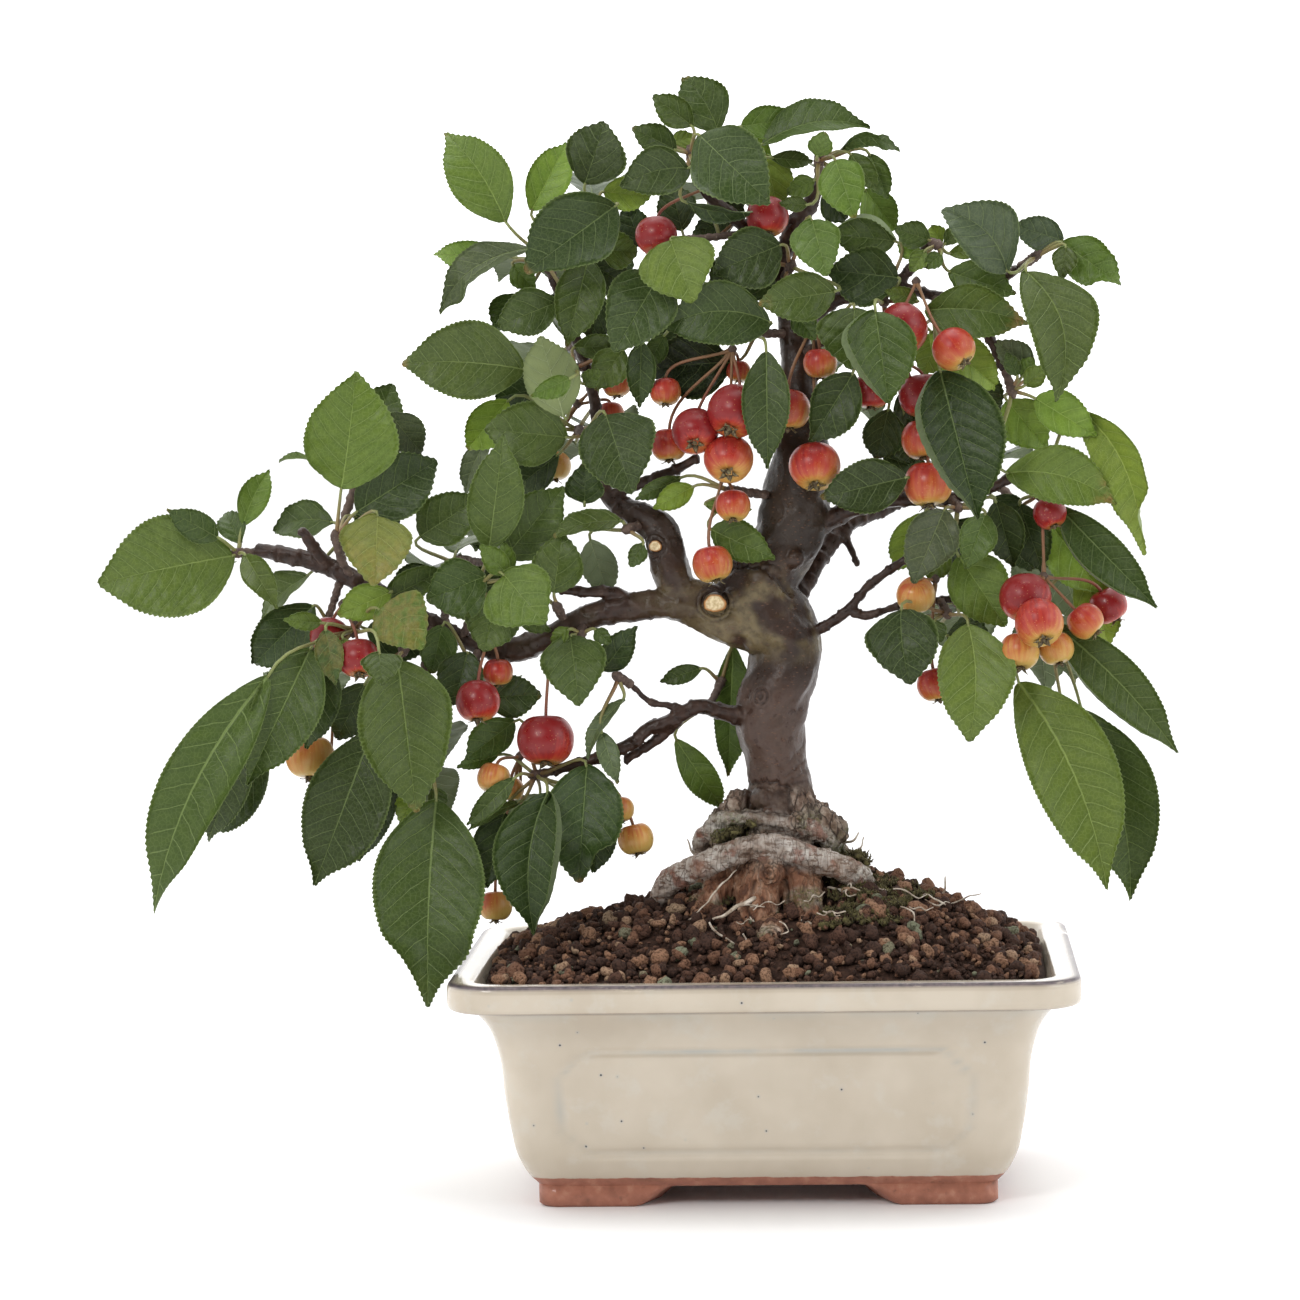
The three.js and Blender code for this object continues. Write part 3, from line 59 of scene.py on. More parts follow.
# ------------------------------------------------------------------ the part's own tables
TRUNK = [
    (3, 66, 2, 11), (3, 84, 1, 15.5), (2, 97, 0, 17), (3, 108, 0, 16), (4, 117, 0, 13.5),
    (5.2, 124, 0, 11.2), (5.3, 131, 0, 10.4), (3.4, 140, 0, 10.2), (1.6, 150, 0, 11.4),
    (4, 160, 1, 11.5), (6.8, 168, 1, 11.3), (7.2, 176, 1, 11.8), (3, 184, 0, 13), (-2, 191, -1, 12.5),
    (-1, 197, -1, 12), (3, 203, 0, 11), (8, 210, 1, 11), (11, 218, 1, 11.5), (12, 226, 1, 11),
    (13, 235, 0, 9.5), (13.5, 248, -1, 7.5), (13, 262, -1, 6), (12, 275, 0, 5), (10, 287, 1, 4),
    (6, 298, 0, 3.3), (0, 308, -2, 2.6), (-8, 316, -4, 2.2), (-16, 323, -5, 1.9),
    (-19.5, 330, -5, 1.6),
]
LIMBS = [
    [
        (0, 182, 0, 9.2), (-12, 184.2, -4, 8), (-20, 187.3, -6, 6.2), (-30, 189.5, -8, 5),
        (-42, 189, -9, 4.7), (-52, 187.2, -9, 4.4), (-62, 183.4, -8, 4), (-72, 178.6, -7, 4),
        (-80, 175.6, -6, 4.3), (-88, 175.5, -5, 3.4), (-97, 178.5, -4, 2.8), (-105, 183, -3, 2.8),
        (-118, 190, -3, 2.9), (-130, 197.4, -3, 3.1), (-144, 204.2, -2, 3), (-158, 208.2, -1, 2.7),
        (-166, 209.2, 0, 2.3),
    ],
    [
        (-12, 188, -3, 6.5), (-21, 191, -6, 6.4), (-26.5, 194, -7, 6), (-29.3, 200, -8, 6.3),
        (-31.6, 208, -8, 6.2), (-33.2, 214, -7, 6), (-39, 218.4, -6, 4.9), (-47, 222.5, -4, 3.3),
        (-51.5, 228, -2, 2.3), (-53, 238, 0, 2.2), (-53, 250, 1, 2.1), (-55, 264, 2, 1.9),
        (-61, 281, 3, 1.8), (-66.5, 297, 3, 1.5),
    ],
    [
        (-47, 222.5, -4, 2.2), (-45.5, 227, -3.5, 2), (-38, 229.5, -5, 1.9), (-30, 232.5, -6, 1.8),
        (-20, 237.5, -7, 1.5),
    ],
    [
        (0, 151, -1, 4), (-9, 153, -6, 3.1), (-15, 154.5, -8, 2.6), (-22, 156, -10, 2.5),
        (-27, 153.5, -11, 2.4), (-33, 150.5, -12, 2.3), (-38, 149, -12, 2.2), (-42, 145, -12, 2.2),
        (-47, 142.5, -12, 2.1), (-53, 140, -12, 2), (-60, 138, -12, 1.9), (-70, 135.3, -12, 1.7),
    ],
    [(-27, 153.5, -11, 2), (-31, 148.6, -10, 1.7), (-38, 143.5, -9, 1.6), (-46, 138.5, -8, 1.5)],
    [(-26, 154.5, -11, 1.6), (-31, 156.5, -12, 1.2), (-37, 157.5, -13, 1.1), (-43.5, 163.5, -14, 0.9)],
    [
        (4, 178, 0, 4), (17.5, 180.5, -4, 1.9), (24, 184, -5, 1.8), (29, 188, -6, 1.7),
        (34, 194, -7, 1.5), (39, 198, -8, 1.5), (46, 202.5, -8, 1.5), (54, 209, -8, 1.3),
    ],
    [
        (28, 187, -6, 1.7), (33, 185, -7, 1.6), (38, 186, -8, 1.3), (46, 188.5, -8, 1.3),
        (62, 190, -8, 1.3), (76, 192, -10, 1.3), (85, 192, -12, 1.2),
    ],
    [
        (6, 186, 2, 4), (14, 196, 10, 3.4), (19, 204, 14, 3.1), (27, 214, 20, 3), (40, 220, 28, 2.7),
        (54, 226, 34, 2.1),
    ],
    [(52, 225, 33, 2), (59, 209, 39, 1.6), (63, 192, 43, 1.4)],
    [(26.5, 213.5, 19.5, 1.6), (29.5, 206, 17, 1.2), (31.5, 201, 16, 1)],
    [
        (10, 213, 1, 5), (18, 214.5, -1, 3.8), (30, 220, -3, 2.9), (40, 222, -5, 2.5),
        (52, 222.5, -7, 2.1), (64, 223, -9, 1.9), (76, 226.5, -11, 1.8), (86, 232, -12, 1.6),
    ],
    [
        (12.5, 275, 0, 3.4), (19, 283, -3, 2.5), (26, 288, -4, 2.3), (35, 288.5, -5, 2.1),
        (44, 292, -6, 2), (48.5, 296, -6, 1.8), (53, 301, -6, 1.6), (56, 306, -6, 1.4),
    ],
    [
        (43, 291.7, -6, 1.9), (52, 290, -7, 1.8), (62, 287, -8, 1.8), (72, 279, -10, 1.7),
        (80, 264, -12, 1.6),
    ],
    [(61, 287.3, -8, 1.7), (75, 291, -9, 1.6), (85, 297, -10, 1.5)],
    [
        (6, 297, 0, 2.9), (10, 306, -1, 3), (14.7, 315, -1, 3.3), (18.6, 321, -1, 2.4),
        (20.5, 327.5, -1, 1.5),
    ],
    [(12.5, 240, 4, 5), (14, 247, 20, 3), (18, 254, 34, 2.2), (22, 260, 46, 1.7)],
    [(-55, 262, 3, 1.8), (-57, 268, 17, 1.5), (-60, 273, 31, 1.3)],
    [(-42, 190, -9, 2.3), (-47, 193.4, -10, 2), (-57, 194, -11, 1.8), (-67, 195, -12, 1.4)],
    [(-141, 201.3, -2, 2.2), (-146.5, 209.5, -6, 2), (-151, 216.3, -9, 1.6)],
]
ROOTS = [
    [
        (-21.5, 107, -4, 3.2), (-20.5, 113, -8, 3.1), (-14, 118, -11, 3), (-5, 119, -13, 3),
        (8, 116.8, -14, 3.2), (17, 113.4, -11, 3), (23, 108.4, -4, 2.8),
    ],
    [
        (-36, 90, -6, 3.4), (-33, 98, -11, 3.9), (-26, 101.5, -16, 4), (-13, 106.8, -21, 4),
        (-5, 109.6, -22, 4.1), (2, 110, -22, 4.3), (9, 108, -22, 4.2), (23, 102.6, -18, 4.3),
        (29, 100, -14, 4.3), (33, 94, -9, 3.8), (34, 86, -6, 3),
    ],
    [(3, 120, -5, 9), (8, 105, -12, 8), (12, 92, -20, 6.5), (16, 80, -30, 4)],
    [(2, 118, -4, 8), (-1, 104, -13, 8), (-3, 90, -22, 7), (-2, 74, -34, 5)],
    [(0, 116, -4, 7), (-10, 104, -8, 7), (-17, 94, -16, 5.5), (-23, 84, -24, 3.5)],
    [(6, 118, 3, 8), (17, 110, 4, 7.5), (25, 102, 6, 6), (36, 90, 12, 3.5)],
    [(2, 118, 6, 8), (-10, 107, 12, 7), (-22, 97, 18, 5), (-32, 84, 26, 3.2)],
    [(6, 118, 8, 8), (8, 105, 18, 7.5), (12, 94, 28, 5.5), (18, 82, 40, 3.2)],
]
KNOTS = [
    (-14, 112.5, -12, 4.6), (10.5, 117.5, -16.5, 3.2), (1, 101, -22, 5.4), (1, 79.5, -36, 5.4),
    (9, 126, -7, 4.6), (-9, 125, -4, 5.2), (18.5, 118.8, -3, 4.9), (-9, 191, -9, 4.2),
    (11, 204, -8, 3.4), (16, 214, -5, 4.2), (-6, 205, -6, 3.4), (10, 176, -7, 4),
    (-15.5, 189.7, -12.4, 3.4), (-34.7, 208.7, -12, 2.8), (-29, 211, -8, 3.2),
]
MOUND = [
    (-91, 73), (-79, 79), (-66, 84.5), (-50, 88.5), (-38, 93), (-20, 97), (0, 98), (20, 99),
    (31, 101.6), (44, 97.5), (57, 93), (74, 84.5), (87, 76), (91, 73),
]
SPRAYS = {
    "left_tip": {
        "stem": [(-166, 208.8, 0, 0), (-172, 208.6, -2, 1.7)],
        "tones": "lmmlm",
        "leaves": [
            (-173.4, 207.8, -4, -218.5, 199.3, -14, 33.5, 0, -0.4),
            (-178.4, 213.8, -9, -195.3, 223.4, -20, 10), (-171, 212, 0, -176, 222.5, 7, 9),
            (-170, 217.8, 2, -160.6, 235.8, 6, 9.5, 0, 1), (-169.6, 208, -8, -159.7, 190.6, -18, 9.5),
        ],
        "back_tones": "m",
        "back": [(-176, 206, 6, -194, 200, 36, 20)],
    },
    "left_droop": {
        "stem": [(-130, 197.4, -3, 2.7), (-132.5, 189, -11, 1.2), (-134, 183, -14, 1.7)],
        "tones": "mmdmmlmpd",
        "leaves": [
            (-148.7, 177, -20, -171, 132, -34, 22), (-163, 168, -10, -203, 90, -16, 22, 0, -6),
            (-143, 172, -13, -151, 143.5, -15, 15), (-143.7, 183, -26, -140.8, 165, -32, 9),
            (-126, 175, -28, -125.5, 165, -35, 13), (-126, 189.5, -24, -112, 177, -34, 20, 0, 2),
            (-124, 192.5, -10, -103, 202.5, -15, 10), (-122, 195, -16, -139.5, 187.5, -20, 12),
            (-130, 183, 4, -108, 178, 8, 16),
        ],
        "small": [(-145, 185.2, -20, -157.4, 186.4, -26, 6), (-138, 180, -22, -134, 171, -25, 6)],
    },
    "left_droop_rear": {
        "stem": [(-138, 200, -2.5, 2.4), (-143, 186, 2, 1.2), (-150, 172, 6, 1.7)],
        "tones": "ddd",
        "leaves": [
            (-147.5, 191, -1, -168.2, 171.5, 2, 19), (-170, 150, 2, -184.5, 113, 1, 15),
            (-165, 146, 9, -189, 115, 12, 22),
        ],
        "back_tones": "dm",
        "back": [(-152, 168, 10, -160, 155, 44, 20), (-146, 170, 10, -144, 158, 40, 18)],
    },
    "left_low": {
        "stem": [(-116, 189, -3, 2.7), (-117, 181, -12, 1.3), (-118, 176, -17, 1.8)],
        "tones": "mdd",
        "leaves": [
            (-120, 172.5, -24, -115, 122.5, -40, 31), (-129, 149.5, -16, -149.3, 98.5, -19, 27),
            (-131, 165, -8, -141, 146.5, -4, 15),
        ],
        "back_tones": "d",
        "back": [(-121, 168, -6, -122, 142, 30, 24)],
    },
    "left_low_drop": {
        "stem": [(-108, 184.8, -3, 2.8), (-111, 172, -11, 1.3), (-112, 156, -14, 1.2), (-111, 142, -15, 1.7)],
        "tones": "mpd",
        "leaves": [
            (-108.3, 126.3, -22, -112.5, 57.5, -42, 35.5, 0, -1.2), (-113, 130, -9, -121, 119, -7, 9),
            (-124, 140, -6, -134.5, 106, -2, 14),
        ],
        "back_tones": "dd",
        "back": [(-112, 138, -6, -112, 112, 26, 22), (-108, 150, -4, -106, 138, 28, 18)],
        "small": [(-109.5, 130.5, -10, -106, 123, -10, 6)],
    },
    "left_upper": {
        "stem": [(-133, 198.6, -3, 2.5), (-138, 206, -8, 1.3), (-139.5, 213, -11, 1.8)],
        "tones": "ldyd",
        "leaves": [
            (-137.4, 229, -14, -131.8, 267.4, -22, 30, 0, -0.5),
            (-132.5, 221.5, -10, -105.5, 238, -6, 22), (-125.6, 220.3, -20, -126.9, 197.4, -33, 23),
            (-133, 220, 4, -118, 212, 8, 16),
        ],
    },
    "left_upper_rear": {
        "stem": [(-137, 199.8, -2.5, 2.4), (-138, 212, 6, 1.5), (-131, 235, 8, 1.7)],
        "tones": "mmgm",
        "leaves": [
            (-149, 201, 8, -165.7, 187, 14, 14, 50),
            (-140.5, 218.3, 12, -160.5, 216, 18, 14, 30, -1.5), (-121, 253.5, 4, -110.3, 240, 9, 12.5),
            (-131, 242, 12, -119.5, 263, 16, 18),
        ],
        "back_tones": "dd",
        "back": [(-133, 238, 12, -137, 255, 38, 22), (-128, 232, 12, -117, 230, 40, 20)],
        "small": [(-148, 239.5, 10, -158, 239, 13, 3, 50)],
    },
    "mid_left": {
        "stem": [(-98.5, 179.3, -4, 2.8), (-95.5, 188, -12, 1.2), (-93, 197, -17, 1.8)],
        "tones": "lmlmm",
        "leaves": [
            (-84.6, 200.3, -26, -71.2, 183.5, -36, 24), (-89.2, 208.6, -19, -83.6, 245.5, -26, 18),
            (-83.5, 200.5, -23, -92, 210, -28, 8), (-90.5, 199.8, -19, -110, 192.3, -22, 20),
            (-88, 188.5, -18, -91.5, 175.5, -25, 18),
        ],
        "small": [(-82.5, 201, -20, -84.5, 211, -22, 6), (-80, 186, -14, -69.5, 181.5, -16, 6)],
    },
    "mid_left_low": {
        "stem": [(-93, 177, -4.5, 2.8), (-95, 170, -11, 1.6)],
        "tones": "ddm",
        "leaves": [
            (-97, 175, -14, -101.7, 157.5, -18, 15), (-91, 160, -6, -73, 160.5, -6, 14),
            (-105, 184, -6, -109, 168, -8, 12),
        ],
        "back_tones": "dd",
        "back": [(-97, 168, 2, -100, 158, 34, 18), (-88, 164, 2, -84, 160, 30, 14)],
    },
    "mid_left_rear": {
        "stem": [(-104, 182.5, -3, 2.8), (-104, 193, 6, 1.3), (-101, 204, 14, 1.6), (-92, 204, 31, 1.6)],
        "tones": "mdd",
        "leaves": [
            (-112, 213, -2, -91, 226, -8, 17), (-108, 202, 2, -121, 199, 4, 8),
            (-100, 200, 10, -84, 190, 14, 18),
        ],
        "back_tones": "mdmmd",
        "back": [
            (-100, 208, 18, -94, 212, 50, 20), (-106, 202, 16, -112, 200, 46, 20),
            (-88, 206, 36, -87, 217, 62, 20), (-84, 200, 35, -75, 191, 62, 22),
            (-92, 198, 36, -104, 193, 60, 20),
        ],
    },
    "limb_over": {
        "stem": [(-64, 183, -8, 3.3), (-67, 189, -13, 1.6)],
        "tones": "mm",
        "leaves": [(-68.2, 193.8, -16, -65, 213.4, -18, 17), (-84, 206, -10, -64, 228.5, -13, 19)],
    },
    "limb_under": {
        "stem": [(-58, 185.4, -8.5, 3.4), (-59.5, 180.5, -14, 1.6)],
        "tones": "md",
        "leaves": [(-63, 179.8, -17, -60.7, 157.4, -28, 21), (-52.5, 168.3, -8, -41.5, 182.3, -12, 10)],
        "back_tones": "d",
        "back": [(-60, 174, -4, -61, 164, 26, 18)],
        "small": [(-63.5, 182, -18, -69.5, 178, -20, 5), (-55, 182, -15, -50, 177, -17, 5)],
    },
    "limb_bud": {
        "stem": [(-38, 216.2, -7, 4.6), (-43.5, 214.5, -14, 1.5)],
        "tones": "ms",
        "leaves": [(-45.6, 217.3, -15, -68.3, 213.5, -20, 12, 50), (-56, 211, 0, -50, 192.3, 2, 12, 180)],
        "small": [(-38.5, 209.5, -17, -43, 202, -20, 6)],
    },
    "trunk_spur": {
        "stem": [(8, 224, 0, 11.4), (-9, 226.5, -13, 1.6)],
        "tones": "mp",
        "leaves": [(-16.4, 213.8, -18, 3.9, 204.2, -24, 13), (-22, 228, -13, -35, 221, -16, 8)],
        "small": [(-18, 222, -15, -3, 220, -18, 5), (-26, 231, -12, -41, 224, -14, 6)],
    },
    "fork_left": {
        "stem": [(-53, 242, 0, 2.2), (-57.5, 245, -4, 1.3), (-59, 247, 7, 1.5)],
        "tones": "ddmdpgd",
        "leaves": [
            (-57.5, 223.5, -14, -57, 236, -20, 12.5), (-50.1, 252, -16, -42, 226.6, -28, 26),
            (-62.9, 244.7, -8, -89.7, 248, -11, 21), (-66, 239, 8, -82, 227, 12, 13),
            (-82, 257, 6, -96, 241, 8, 14), (-87.5, 247, 12, -97.5, 226, 15, 9, 40),
            (-52, 262, 10, -50, 276, 14, 14),
        ],
        "back_tones": "dd",
        "back": [(-60, 243, 14, -66, 238, 46, 22), (-55, 248, 14, -46, 242, 44, 22)],
    },
    "upper_left": {
        "stem": [(-56.5, 268, 2.3, 1.9), (-60, 267, -5, 1.5)],
        "tones": "mylmmd",
        "leaves": [
            (-76.2, 267, -8, -116.6, 269.6, -13, 25, 0, -1.5),
            (-63.8, 251.6, -16, -71.1, 278.4, -22, 18, 180), (-61.4, 263.9, -24, -74.3, 258.3, -30, 7),
            (-43.7, 273, -6, -53.6, 260.4, -8, 12), (-60, 274, -3, -42.5, 274, -3, 8),
            (-66, 262, 10, -86, 258, 14, 13),
        ],
        "small": [(-57, 262, -10, -51.5, 266.5, -14, 6)],
    },
    "rear_upper_left": {
        "stem": [(-60, 273, 31, 0), (-61, 274.5, 37, 1.5)],
        "back_tones": "mdmd",
        "back": [
            (-62, 277, 40, -70, 286, 64, 20), (-57, 272, 40, -49, 266, 66, 20),
            (-66, 272, 39, -80, 268, 62, 20), (-58, 280, 38, -56, 292, 56, 18),
        ],
    },
    "crown_left": {
        "stem": [(-66.5, 297, 3, 0), (-68.5, 302.5, -3, 1.6), (-61, 310, 1, 1.1), (-51, 317, 0, 1.5)],
        "tones": "ddgpmmmlppddd",
        "leaves": [
            (-45.6, 319.6, -12, -75.3, 298.8, -22, 25), (-55.5, 326.7, -7, -48.5, 346.8, -6, 20),
            (-73.6, 306.4, -10, -105, 287.8, -14, 14, 45, -3.5), (-82, 303.6, 4, -106, 305.3, 8, 9),
            (-65, 288.8, -10, -85, 281.3, -13, 15), (-76, 291, 4, -86, 280, 6, 12),
            (-54.8, 302.6, -9, -62.3, 274.9, -16, 16), (-81.6, 315.2, -6, -101, 345, -3, 19.5, 0, -2),
            (-73, 318.6, 2, -61, 340.5, 6, 13.5), (-49.5, 324.3, 4, -34, 322.3, 6, 11),
            (-50, 290, 2, -55, 276, 5, 12), (-54, 301, 5, -42, 293.5, 8, 12),
            (-56, 296, 14, -40, 302, 18, 18),
        ],
        "back_tones": "ddd",
        "back": [
            (-72, 300, 8, -84, 297, 36, 16), (-62, 300, 10, -60, 290, 44, 22),
            (-53, 322, 8, -55, 328, 40, 22),
        ],
        "small": [(-50.5, 305.5, 0, -38.5, 304.5, 1, 12), (-79.5, 301, 1, -72.5, 293, 0, 8)],
    },
    "centre_left": {
        "stem": [(-2, 310, -2.4, 2.5), (-12, 309, -7, 1.1), (-22, 308, -11, 1.6)],
        "tones": "lddddd",
        "leaves": [
            (-27.9, 308.3, -17, -21.3, 288.5, -25, 25), (-31, 298, -13, -46.8, 272.6, -24, 23),
            (-24, 311, 2, -27.5, 326.3, 5, 13), (-15, 325, 3, -4, 314, 5, 10),
            (-37, 306, 4, -42.5, 320, 6, 10), (-6, 315.5, 1, -21, 310, 3, 9),
        ],
    },
    "apex_left": {
        "stem": [(-19.5, 330, -5, 0), (-21, 336, -8, 1.6), (-17, 338, 4, 1.2), (-12, 331, 17, 1.4)],
        "tones": "dmmmdplmdpmp",
        "leaves": [
            (-21.5, 331.3, -16, -43.5, 326, -22, 16, 0, -1.8),
            (-25.8, 337.3, -12, -39.6, 344.7, -16, 10), (-20.4, 345.1, -6, -32.8, 354.9, -8, 10),
            (-11.8, 343.1, -3, -22.6, 360.7, 0, 16.4, 0, -1.3), (-18, 342, -16, 4, 320, -28, 24),
            (3.5, 335, 6, 7, 318, 9, 15), (-4.4, 344.4, 0, 14.8, 346.8, 2, 11),
            (2.2, 338.4, -1, 37, 344.3, -5, 14, -40, 3), (-22.5, 320, -9, 0, 316, -14, 8, 50),
            (5, 334, 8, -5, 341, 10, 8), (5.5, 334, 2, 19, 332.5, 4, 5.5),
            (-27, 340, -2, -19.5, 341.5, -4, 6),
        ],
        "back_tones": "mdd",
        "back": [
            (-13, 330, 22, -12, 338, 50, 20), (-15, 324, 22, -26, 319, 44, 18),
            (-8, 326, 22, 3, 316, 46, 18),
        ],
    },
    "apex_right": {
        "stem": [(20.5, 327.5, -1, 0), (20.7, 333, -4, 1.5)],
        "tones": "mlmmpd",
        "leaves": [
            (27.9, 335.8, -3, 46.8, 333.6, -5, 7, 50, 9.5), (25.9, 333, -13, 32.1, 314, -20, 15),
            (31, 334.8, -7, 39.4, 322.9, -10, 8), (37.2, 334.5, -3, 42.8, 320, -5, 9),
            (35.5, 323, 4, 45.3, 310, 6, 12), (22, 322.5, 3, 29, 313, 6, 10),
        ],
        "back_tones": "m",
        "back": [(24, 330, 6, 28, 324, 36, 16)],
        "small": [
            (20.1, 334, -12, 22.6, 342, -14, 8), (19.2, 326.5, -8, 10.1, 322.5, -11, 7),
            (16.7, 318.6, -15, 7.8, 319.2, -18, 5),
        ],
    },
    "centre_top": {
        "stem": [(7.5, 293, 0.5, 3.7), (11, 299, -7, 1.5)],
        "tones": "dlmdd",
        "leaves": [
            (8, 306, -9, -14, 297.5, -12, 20), (18.1, 313.9, -18, 22.8, 295.5, -27, 16),
            (25.5, 290.5, -20, 0.5, 287, -25, 16), (-3, 301, 3, -15, 293, 6, 13),
            (6, 292, 4, -8, 296, 7, 13),
        ],
        "small": [(6, 298, 6, -4, 291, 8, 9)],
    },
    "centre_mid_left": {
        "stem": [(12, 277, 0, 4.8), (0, 277.5, -9, 1.6)],
        "tones": "dDddmd",
        "leaves": [
            (4.2, 281, -15, -31, 279.6, -19, 21, 0, -4.5),
            (-8.5, 268, -4, -35.8, 265.8, -2, 21.5, 0, -0.8), (2.6, 271.5, -13, 2.5, 233.6, -17, 15),
            (-38, 275.5, -8, -39, 253.9, -10, 9.5), (-30.5, 277.5, -5, -36.5, 266.5, -6, 7),
            (-20, 276, 12, -34, 268, 16, 18),
        ],
    },
    "centre_mid": {
        "stem": [(12.5, 269, -0.5, 5.4), (22, 275, -11, 1.6)],
        "tones": "md",
        "leaves": [(31.5, 285, -24, 30, 265, -32, 22), (30.7, 263.8, -13, 16.3, 241.7, -17, 16.5)],
        "small": [(12, 284, -16, 18.5, 275, -19, 8)],
    },
    "rear_centre": {
        "stem": [(22, 260, 46, 0), (22.5, 261.5, 52, 1.6)],
        "back_tones": "dmmd",
        "back": [
            (18, 258, 56, 10, 248, 78, 22), (25, 265, 56, 33, 268, 80, 22),
            (20, 266, 55, 16, 280, 76, 20), (28, 257, 54, 38, 249, 74, 20),
        ],
    },
    "right_inner": {
        "stem": [(38, 289.7, -5.3, 2.1), (41, 287, -12, 1.6)],
        "tones": "mmdddd",
        "leaves": [
            (38.2, 284, -18, 42, 254, -27, 23), (45, 306.5, -10, 24, 309, -12, 14),
            (46, 294.6, -10, 23, 297.5, -11, 19), (42, 252, 0, 38, 236, 3, 14),
            (46, 257.5, 3, 51.5, 245, 6, 10), (47, 249, 2, 49, 234, 5, 13),
        ],
        "small": [(52, 287, -14, 41.5, 290.5, -16, 6)],
    },
    "limb_front": {
        "stem": [(38, 221.7, -4.6, 2.6), (45, 226, -12, 1.5)],
        "tones": "dd",
        "leaves": [(47.5, 229.8, -17, 19.5, 223.7, -20, 17), (40, 237, 4, 54, 232, 8, 11)],
    },
    "right_top": {
        "stem": [(56, 306, -6, 0), (58.5, 305, -12, 1.5)],
        "tones": "mmpp",
        "leaves": [
            (62.3, 296.2, -13, 83.7, 288.6, -17, 13), (56, 306.5, -9, 45, 310.5, -11, 9),
            (53, 302, -4, 46, 306.5, -3, 7), (60, 305.5, -2, 56.5, 311, -1, 6),
        ],
        "small": [
            (54.5, 303, -15, 50, 296.5, -17, 6), (60, 302, -15, 54.5, 297.5, -17, 5.5),
            (62.5, 302, -10, 73, 303.5, -10, 5), (61, 305, -9, 66, 311, -9, 5),
        ],
    },
    "right_mid": {
        "stem": [(58, 288.2, -7.7, 1.8), (57, 282, -13, 1.6)],
        "tones": "mpdpd",
        "leaves": [
            (54.6, 283.8, -18, 87.3, 279, -23, 17, 0, 2.2), (56, 277, 2, 79, 257, 6, 15),
            (59, 264, -24, 70.5, 216, -38, 27), (60, 277, 2, 53, 263, 5, 12),
            (66, 262, 8, 78, 250, 12, 16),
        ],
    },
    "right_spur": {
        "stem": [(80, 264, -12, 0), (82, 257.5, -15, 1.6)],
        "tones": "plpg",
        "leaves": [
            (89.5, 254.8, -17, 109, 242.4, -23, 13.5), (80, 230.6, -22, 115.5, 220, -28, 18.5, 0, 4),
            (80.5, 254, -4, 93, 238.5, -6, 16), (89, 264, -10, 77, 273.5, -13, 10),
        ],
        "small": [
            (84, 262, -15, 80.5, 269.5, -17, 5), (85.5, 262, -13, 89, 268, -14, 6),
            (86.5, 259, -18, 93, 265, -20, 7),
        ],
    },
    "right_far": {
        "stem": [(85, 297, -10, 0), (90, 300.5, -12, 1.7)],
        "tones": "glmmg",
        "leaves": [
            (81, 296, -20, 60.2, 316, -24, 20.5, 0, -4.6), (99, 304.8, -14, 117.6, 291, -20, 15),
            (87, 295.8, -22, 96, 253.8, -33, 22.5, 0, 7.5), (100, 303.5, -15, 98.5, 293.5, -18, 8),
            (99, 305.5, -9, 83, 311, -11, 11),
        ],
    },
    "limb_drop": {
        "stem": [(62, 222.9, -8.7, 1.9), (64, 220, -14, 1.5)],
        "tones": "gmdlpdd",
        "leaves": [
            (59.7, 219.2, -19, 49.4, 195.4, -28, 17), (73, 217.5, -20, 66.6, 200.2, -26, 12),
            (76.5, 221.5, -10, 82, 200, -13, 13), (64, 204, -14, 79, 181, -19, 20),
            (53, 218, 0, 43.5, 199.5, 4, 13), (76, 223, 0, 84, 216, 4, 9),
            (60, 214, 8, 72, 205, 12, 18),
        ],
        "small": [(61, 205, -9, 54, 196.5, -10, 8)],
    },
    "right_branch": {
        "stem": [(86, 232, -12, 0), (90, 224, -12, 1.6)],
        "tones": "mpdpd",
        "leaves": [
            (96.8, 219.2, -14, 128.1, 186.2, -19, 14), (94, 214, -8, 110, 191.5, -10, 18),
            (84, 220.5, -6, 91.5, 198, -8, 13), (104.6, 250.2, -16, 122, 203, -27, 16, 25, 8.6),
            (84, 214, 8, 88, 199, 12, 16),
        ],
    },
    "rear_right": {
        "stem": [(54, 226, 34, 0), (68, 232, 40, 1.6), (82, 222, 46, 1.5), (93, 205, 51, 1.5)],
        "back_tones": "dmdmddm",
        "back": [
            (69, 240, 44, 72, 252, 68, 20), (62, 238, 46, 54, 240, 70, 20),
            (76, 236, 48, 86, 236, 72, 20), (96, 203, 55, 106, 195, 76, 22),
            (91, 200, 56, 90, 186, 76, 20), (88, 206, 55, 82, 212, 78, 18),
            (98, 198, 54, 103, 182, 64, 18),
        ],
    },
    "rear_low_right": {
        "stem": [(63, 192, 43, 0), (63.5, 189, 48, 1.5)],
        "back_tones": "dmd",
        "back": [
            (64, 185, 51, 66, 170, 70, 22), (58, 188, 51, 51, 180, 70, 20),
            (68, 190, 50, 76, 184, 70, 20),
        ],
    },
    "right_low": {
        "stem": [(58, 189.5, -8, 1.3), (60, 185.5, -13, 1.5)],
        "tones": "lddd",
        "leaves": [
            (67, 181.4, -20, 66.8, 143.5, -31, 25, 0, 2.2),
            (45.2, 187, -21, 47.8, 162.8, -30, 23.5, 0, -1), (44, 180, -3, 43, 166, -4, 14),
            (60, 178, 8, 74, 176, 12, 16),
        ],
        "small": [(56, 183, -14, 58, 176, -16, 6)],
    },
    "right_low_tip": {
